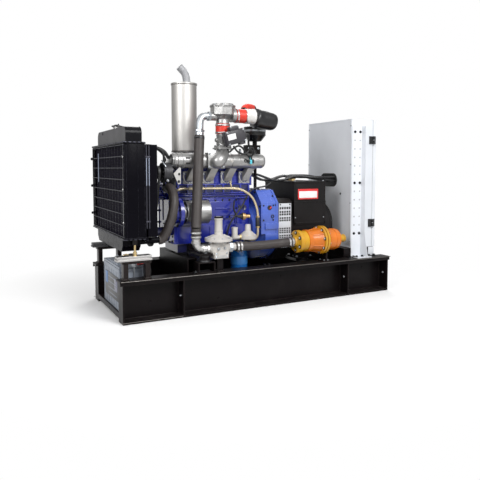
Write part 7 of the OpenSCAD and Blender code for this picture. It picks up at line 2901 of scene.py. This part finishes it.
    def _gear(self) -> None:
        """Breaker, contactors, terminals and ducts on the mounting plate."""
        x = self.plate
        grey, dark, pale, metal = (self.work() for _ in range(4))
        dark.block((x + 4, 172.0, 942.0), (x + 96, 324.0, 1154.0), 4.0)
        grey.block((x + 94, 196.0, 1004.0), (x + 100, 300.0, 1092.0), 3.0)
        dark.block((x + 98, 236.0, 1036.0), (x + 116, 260.0, 1060.0), 4.0)
        for y in self.phases:
            metal.bolts(((x + 90, y, z) for z in (956.0, 1140.0)), (1, 0, 0), 14.0)
        for y in spread(386.0, 510.0, 4):
            pale.block((x + 3, y, 972.0), (x + 74, y + 40, 1134.0), 3.0)
            dark.block((x + 70, y + 8, 1010.0), (x + 82, y + 32, 1096.0), 3.0)
            metal.bolts(((x + 73, y + dy, z) for dy in (9, 31) for z in (984.0, 1122.0)), (1, 0, 0), 6.0)
        for y in spread(164.0, 564.0, 34):
            pale.block((x + 10, y, 624.0), (x + 44, y + 9.5, 655.0), 1.0)
            metal.turned((x + 43.6, y + 4.7, 648.0), (1, 0, 0), ((0, 3.2), (1.2, 3.2), (1.2, 0)), 12)
        for y0, y1, z0, z1 in self.ducts:
            grey.block((x, y0, z0), (x + 42, y1, z1), 1.5)
            if z1 - z0 > y1 - y0:
                for z in spread(z0 + 0.02 * (z1 - z0), z0 + 0.98 * (z1 - z0), 60):
                    grey.block((x + 41, y0 - 0.6, z - 3), (x + 43, y1 + 0.6, z + 3), 0.5)
            else:
                for y in spread(y0 + 0.02 * (y1 - y0), y0 + 0.98 * (y1 - y0), 32):
                    grey.block((x + 41, y - 3, z0 - 0.6), (x + 43, y + 3, z1 + 0.6), 0.5)
        dark.block((x + 3, 202.0, 446.0), (x + 66, 294.0, 558.0), 4.0)
        for y in spread(396.0, 496.0, 4):
            dark.block((x + 3, y, 446.0), (x + 66, y + 26, 538.0), 3.0)
            metal.bolts(((x + 66, y + 13, z) for z in (456.0, 528.0)), (1, 0, 0), 6.0)
        grey.done("cabinet_ducts", ADAPTER_WHITE)
        dark.done("cabinet_switchgear", BLACK_PLASTIC)
        pale.done("cabinet_terminals", REGULATOR_BEIGE)
        metal.done("cabinet_terminal_screws", STEEL)

    def _gear_wires(self) -> None:
        """Wires from the terminals, and cables from the slot to the breaker."""
        x = self.plate
        wires = self.work()
        for y in spread(176.0, 560.0, 17):
            wires.tube(((x + 40, y, 655.0), (x + 46, y, 668.0), (x + 40, y + 4, 690.0),
                        (x + 24, y + 6, 706.0)), 2.0, 8, 4)
        for y in self.phases:
            over = y - self.phases[0]
            wires.tube(((x + 80, y, 946.0), (x + 82, y, 920.0), (x + 40, y + 24, 880.0),
                        (x + 2, 300.0 + over * 0.7, 836.0), (x - 18, 302.0 + over * 0.74, 812.0)), 7.0)
        wires.done("cabinet_wires", BLACK_RUBBER)


@dataclass
class Studio:
    """Floor, lamps, world and camera."""

    site: Site
    lens: float = 40.06
    shift: float = -0.078
    eye: Point = (-783.0, -3010.0, 908.0)
    yaw: float = 27.14
    pitch: float = 3.66
    soft_box: Point = (-0.30, -0.72, 0.62)
    spread: tuple[float, float] = (0.05, 0.85)
    bright: float = 0.85
    dim: float = 0.42
    room: float = 0.45
    sensor: float = 36.0
    target: tuple[float, float] = (1000.0, 500.0)
    floor_size: float = 60.0
    floor_drop: float = 0.0005
    shadow_reach: tuple[float, float] = (1.1, 2.1)
    floor_lit: Colour = (0.42, 0.42, 0.42)
    floor_seen: Colour = (0.96, 0.96, 0.96)
    lamps: tuple[tuple[str, Point, float, float], ...] = (
        ("key", (1500.0, -3800.0, 3400.0), 2.6, 205.0),
        ("fill", (-2800.0, -1300.0, 2600.0), 2.0, 80.0),
        ("back", (2600.0, 3400.0, 3200.0), 3.0, 70.0))

    def build(self) -> None:
        """Set the stage."""
        self._camera()
        self._world()
        self._floor()
        self._lamps()
        bpy.context.scene.view_settings.view_transform = "Standard"

    def _camera(self) -> None:
        """Put the camera where the photographer stood."""
        camera = bpy.data.cameras.new("camera")
        camera.lens = self.lens
        camera.sensor_width = self.sensor
        camera.shift_y = self.shift
        camera.clip_end = 200.0
        holder = bpy.data.objects.new("camera", camera)
        holder.location = self.site.metres(self.eye)
        holder.rotation_euler = (math.radians(90 - self.pitch), 0.0, math.radians(-self.yaw))
        bpy.context.scene.collection.objects.link(holder)
        bpy.context.scene.camera = holder

    def _world(self) -> None:
        """White for the camera, bright in front and darker at the sides for gloss, softer as a light."""
        r = Recipe("world", True)
        bpy.context.scene.world = r.material
        straight, gloss = r.rays()
        way = r.node("ShaderNodeTexCoord").outputs["Generated"]
        facing = r.node("ShaderNodeVectorMath", {"operation": "DOT_PRODUCT"}, {0: way, 1: self.soft_box})
        front = r.rises(Signal(r, facing.outputs["Value"]), *self.spread)
        room = gloss * (front * self.bright + self.dim) + (1.0 - gloss) * self.room
        strength = straight + (1.0 - straight) * room
        background = r.node("ShaderNodeBackground", {}, {0: (1.0, 1.0, 1.0, 1.0), 1: strength})
        r.node("ShaderNodeOutputWorld", {}, {0: background.outputs[0]})

    def _floor(self) -> None:
        """Pale floor that takes the shadow near the skid and turns into the white backdrop farther out."""
        mesh = bpy.data.meshes.new("floor")
        mesh.from_pydata([(x * self.floor_size, y * self.floor_size, -self.floor_drop)
                          for x, y in ((-1, -1), (1, -1), (1, 1), (-1, 1))], [], [(0, 1, 2, 3)])
        r = Recipe("floor")
        straight, gloss = r.rays()
        shown = straight.most(gloss)
        paint = r.shader(base_color=r.mix(shown, self.floor_lit, self.floor_seen), roughness=0.8,
                         specular_ior_level=0.1)
        away = r.node("ShaderNodeVectorMath", {"operation": "DISTANCE"}, {
            0: r.place(), 1: self.site.metres((self.target[0], self.site.middle, 0.0))})
        white = r.node("ShaderNodeEmission", {}, {"Color": (1.0, 1.0, 1.0, 1.0), "Strength": 1.0}).outputs[0]
        blend = r.node("ShaderNodeMixShader", {}, {
            0: r.rises(Signal(r, away.outputs["Value"]), *self.shadow_reach) * shown, 1: paint, 2: white})
        r.node("ShaderNodeOutputMaterial", {}, {"Surface": blend.outputs[0]})
        mesh.materials.append(r.material)
        floor = bpy.data.objects.new("floor", mesh)
        bpy.context.scene.collection.objects.link(floor)

    def _lamps(self) -> None:
        """Broad soft lamps in front, at the left and behind."""
        target = self.site.metres((self.target[0], self.site.middle, self.target[1]))
        for name, place, size, power in self.lamps:
            lamp = bpy.data.lights.new(name, "AREA")
            lamp.shape = "DISK"
            lamp.size = size
            lamp.energy = power
            holder = bpy.data.objects.new(name, lamp)
            holder.location = self.site.metres(place)
            holder.rotation_euler = (target - holder.location).to_track_quat("-Z", "Y").to_euler()
            bpy.context.scene.collection.objects.link(holder)


def dress_nodes(nodes: dict[str, bpy.types.Object]) -> None:
    """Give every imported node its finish.

    Args:
        nodes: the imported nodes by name.
    """
    for finish, names in NODE_FINISHES.items():
        for name in names:
            for slot in nodes[name].material_slots:
                slot.material = Paints.get(finish)


def main() -> None:
    """Build the scene."""
    logging.basicConfig(level=logging.INFO, format="%(name)s %(message)s")
    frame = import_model()
    site = Site()
    Studio(site).build()
    dress_nodes(frame["nodes"])
    for assembly in (Skid, Radiator, Battery, FanDrive, Engine, Intake, Exhaust, GasLine, Generator, Wiring,
                     Cabinet):
        log.info("building %s", assembly.__name__)
        assembly(site).build()


if __name__ == "__main__":
    main()
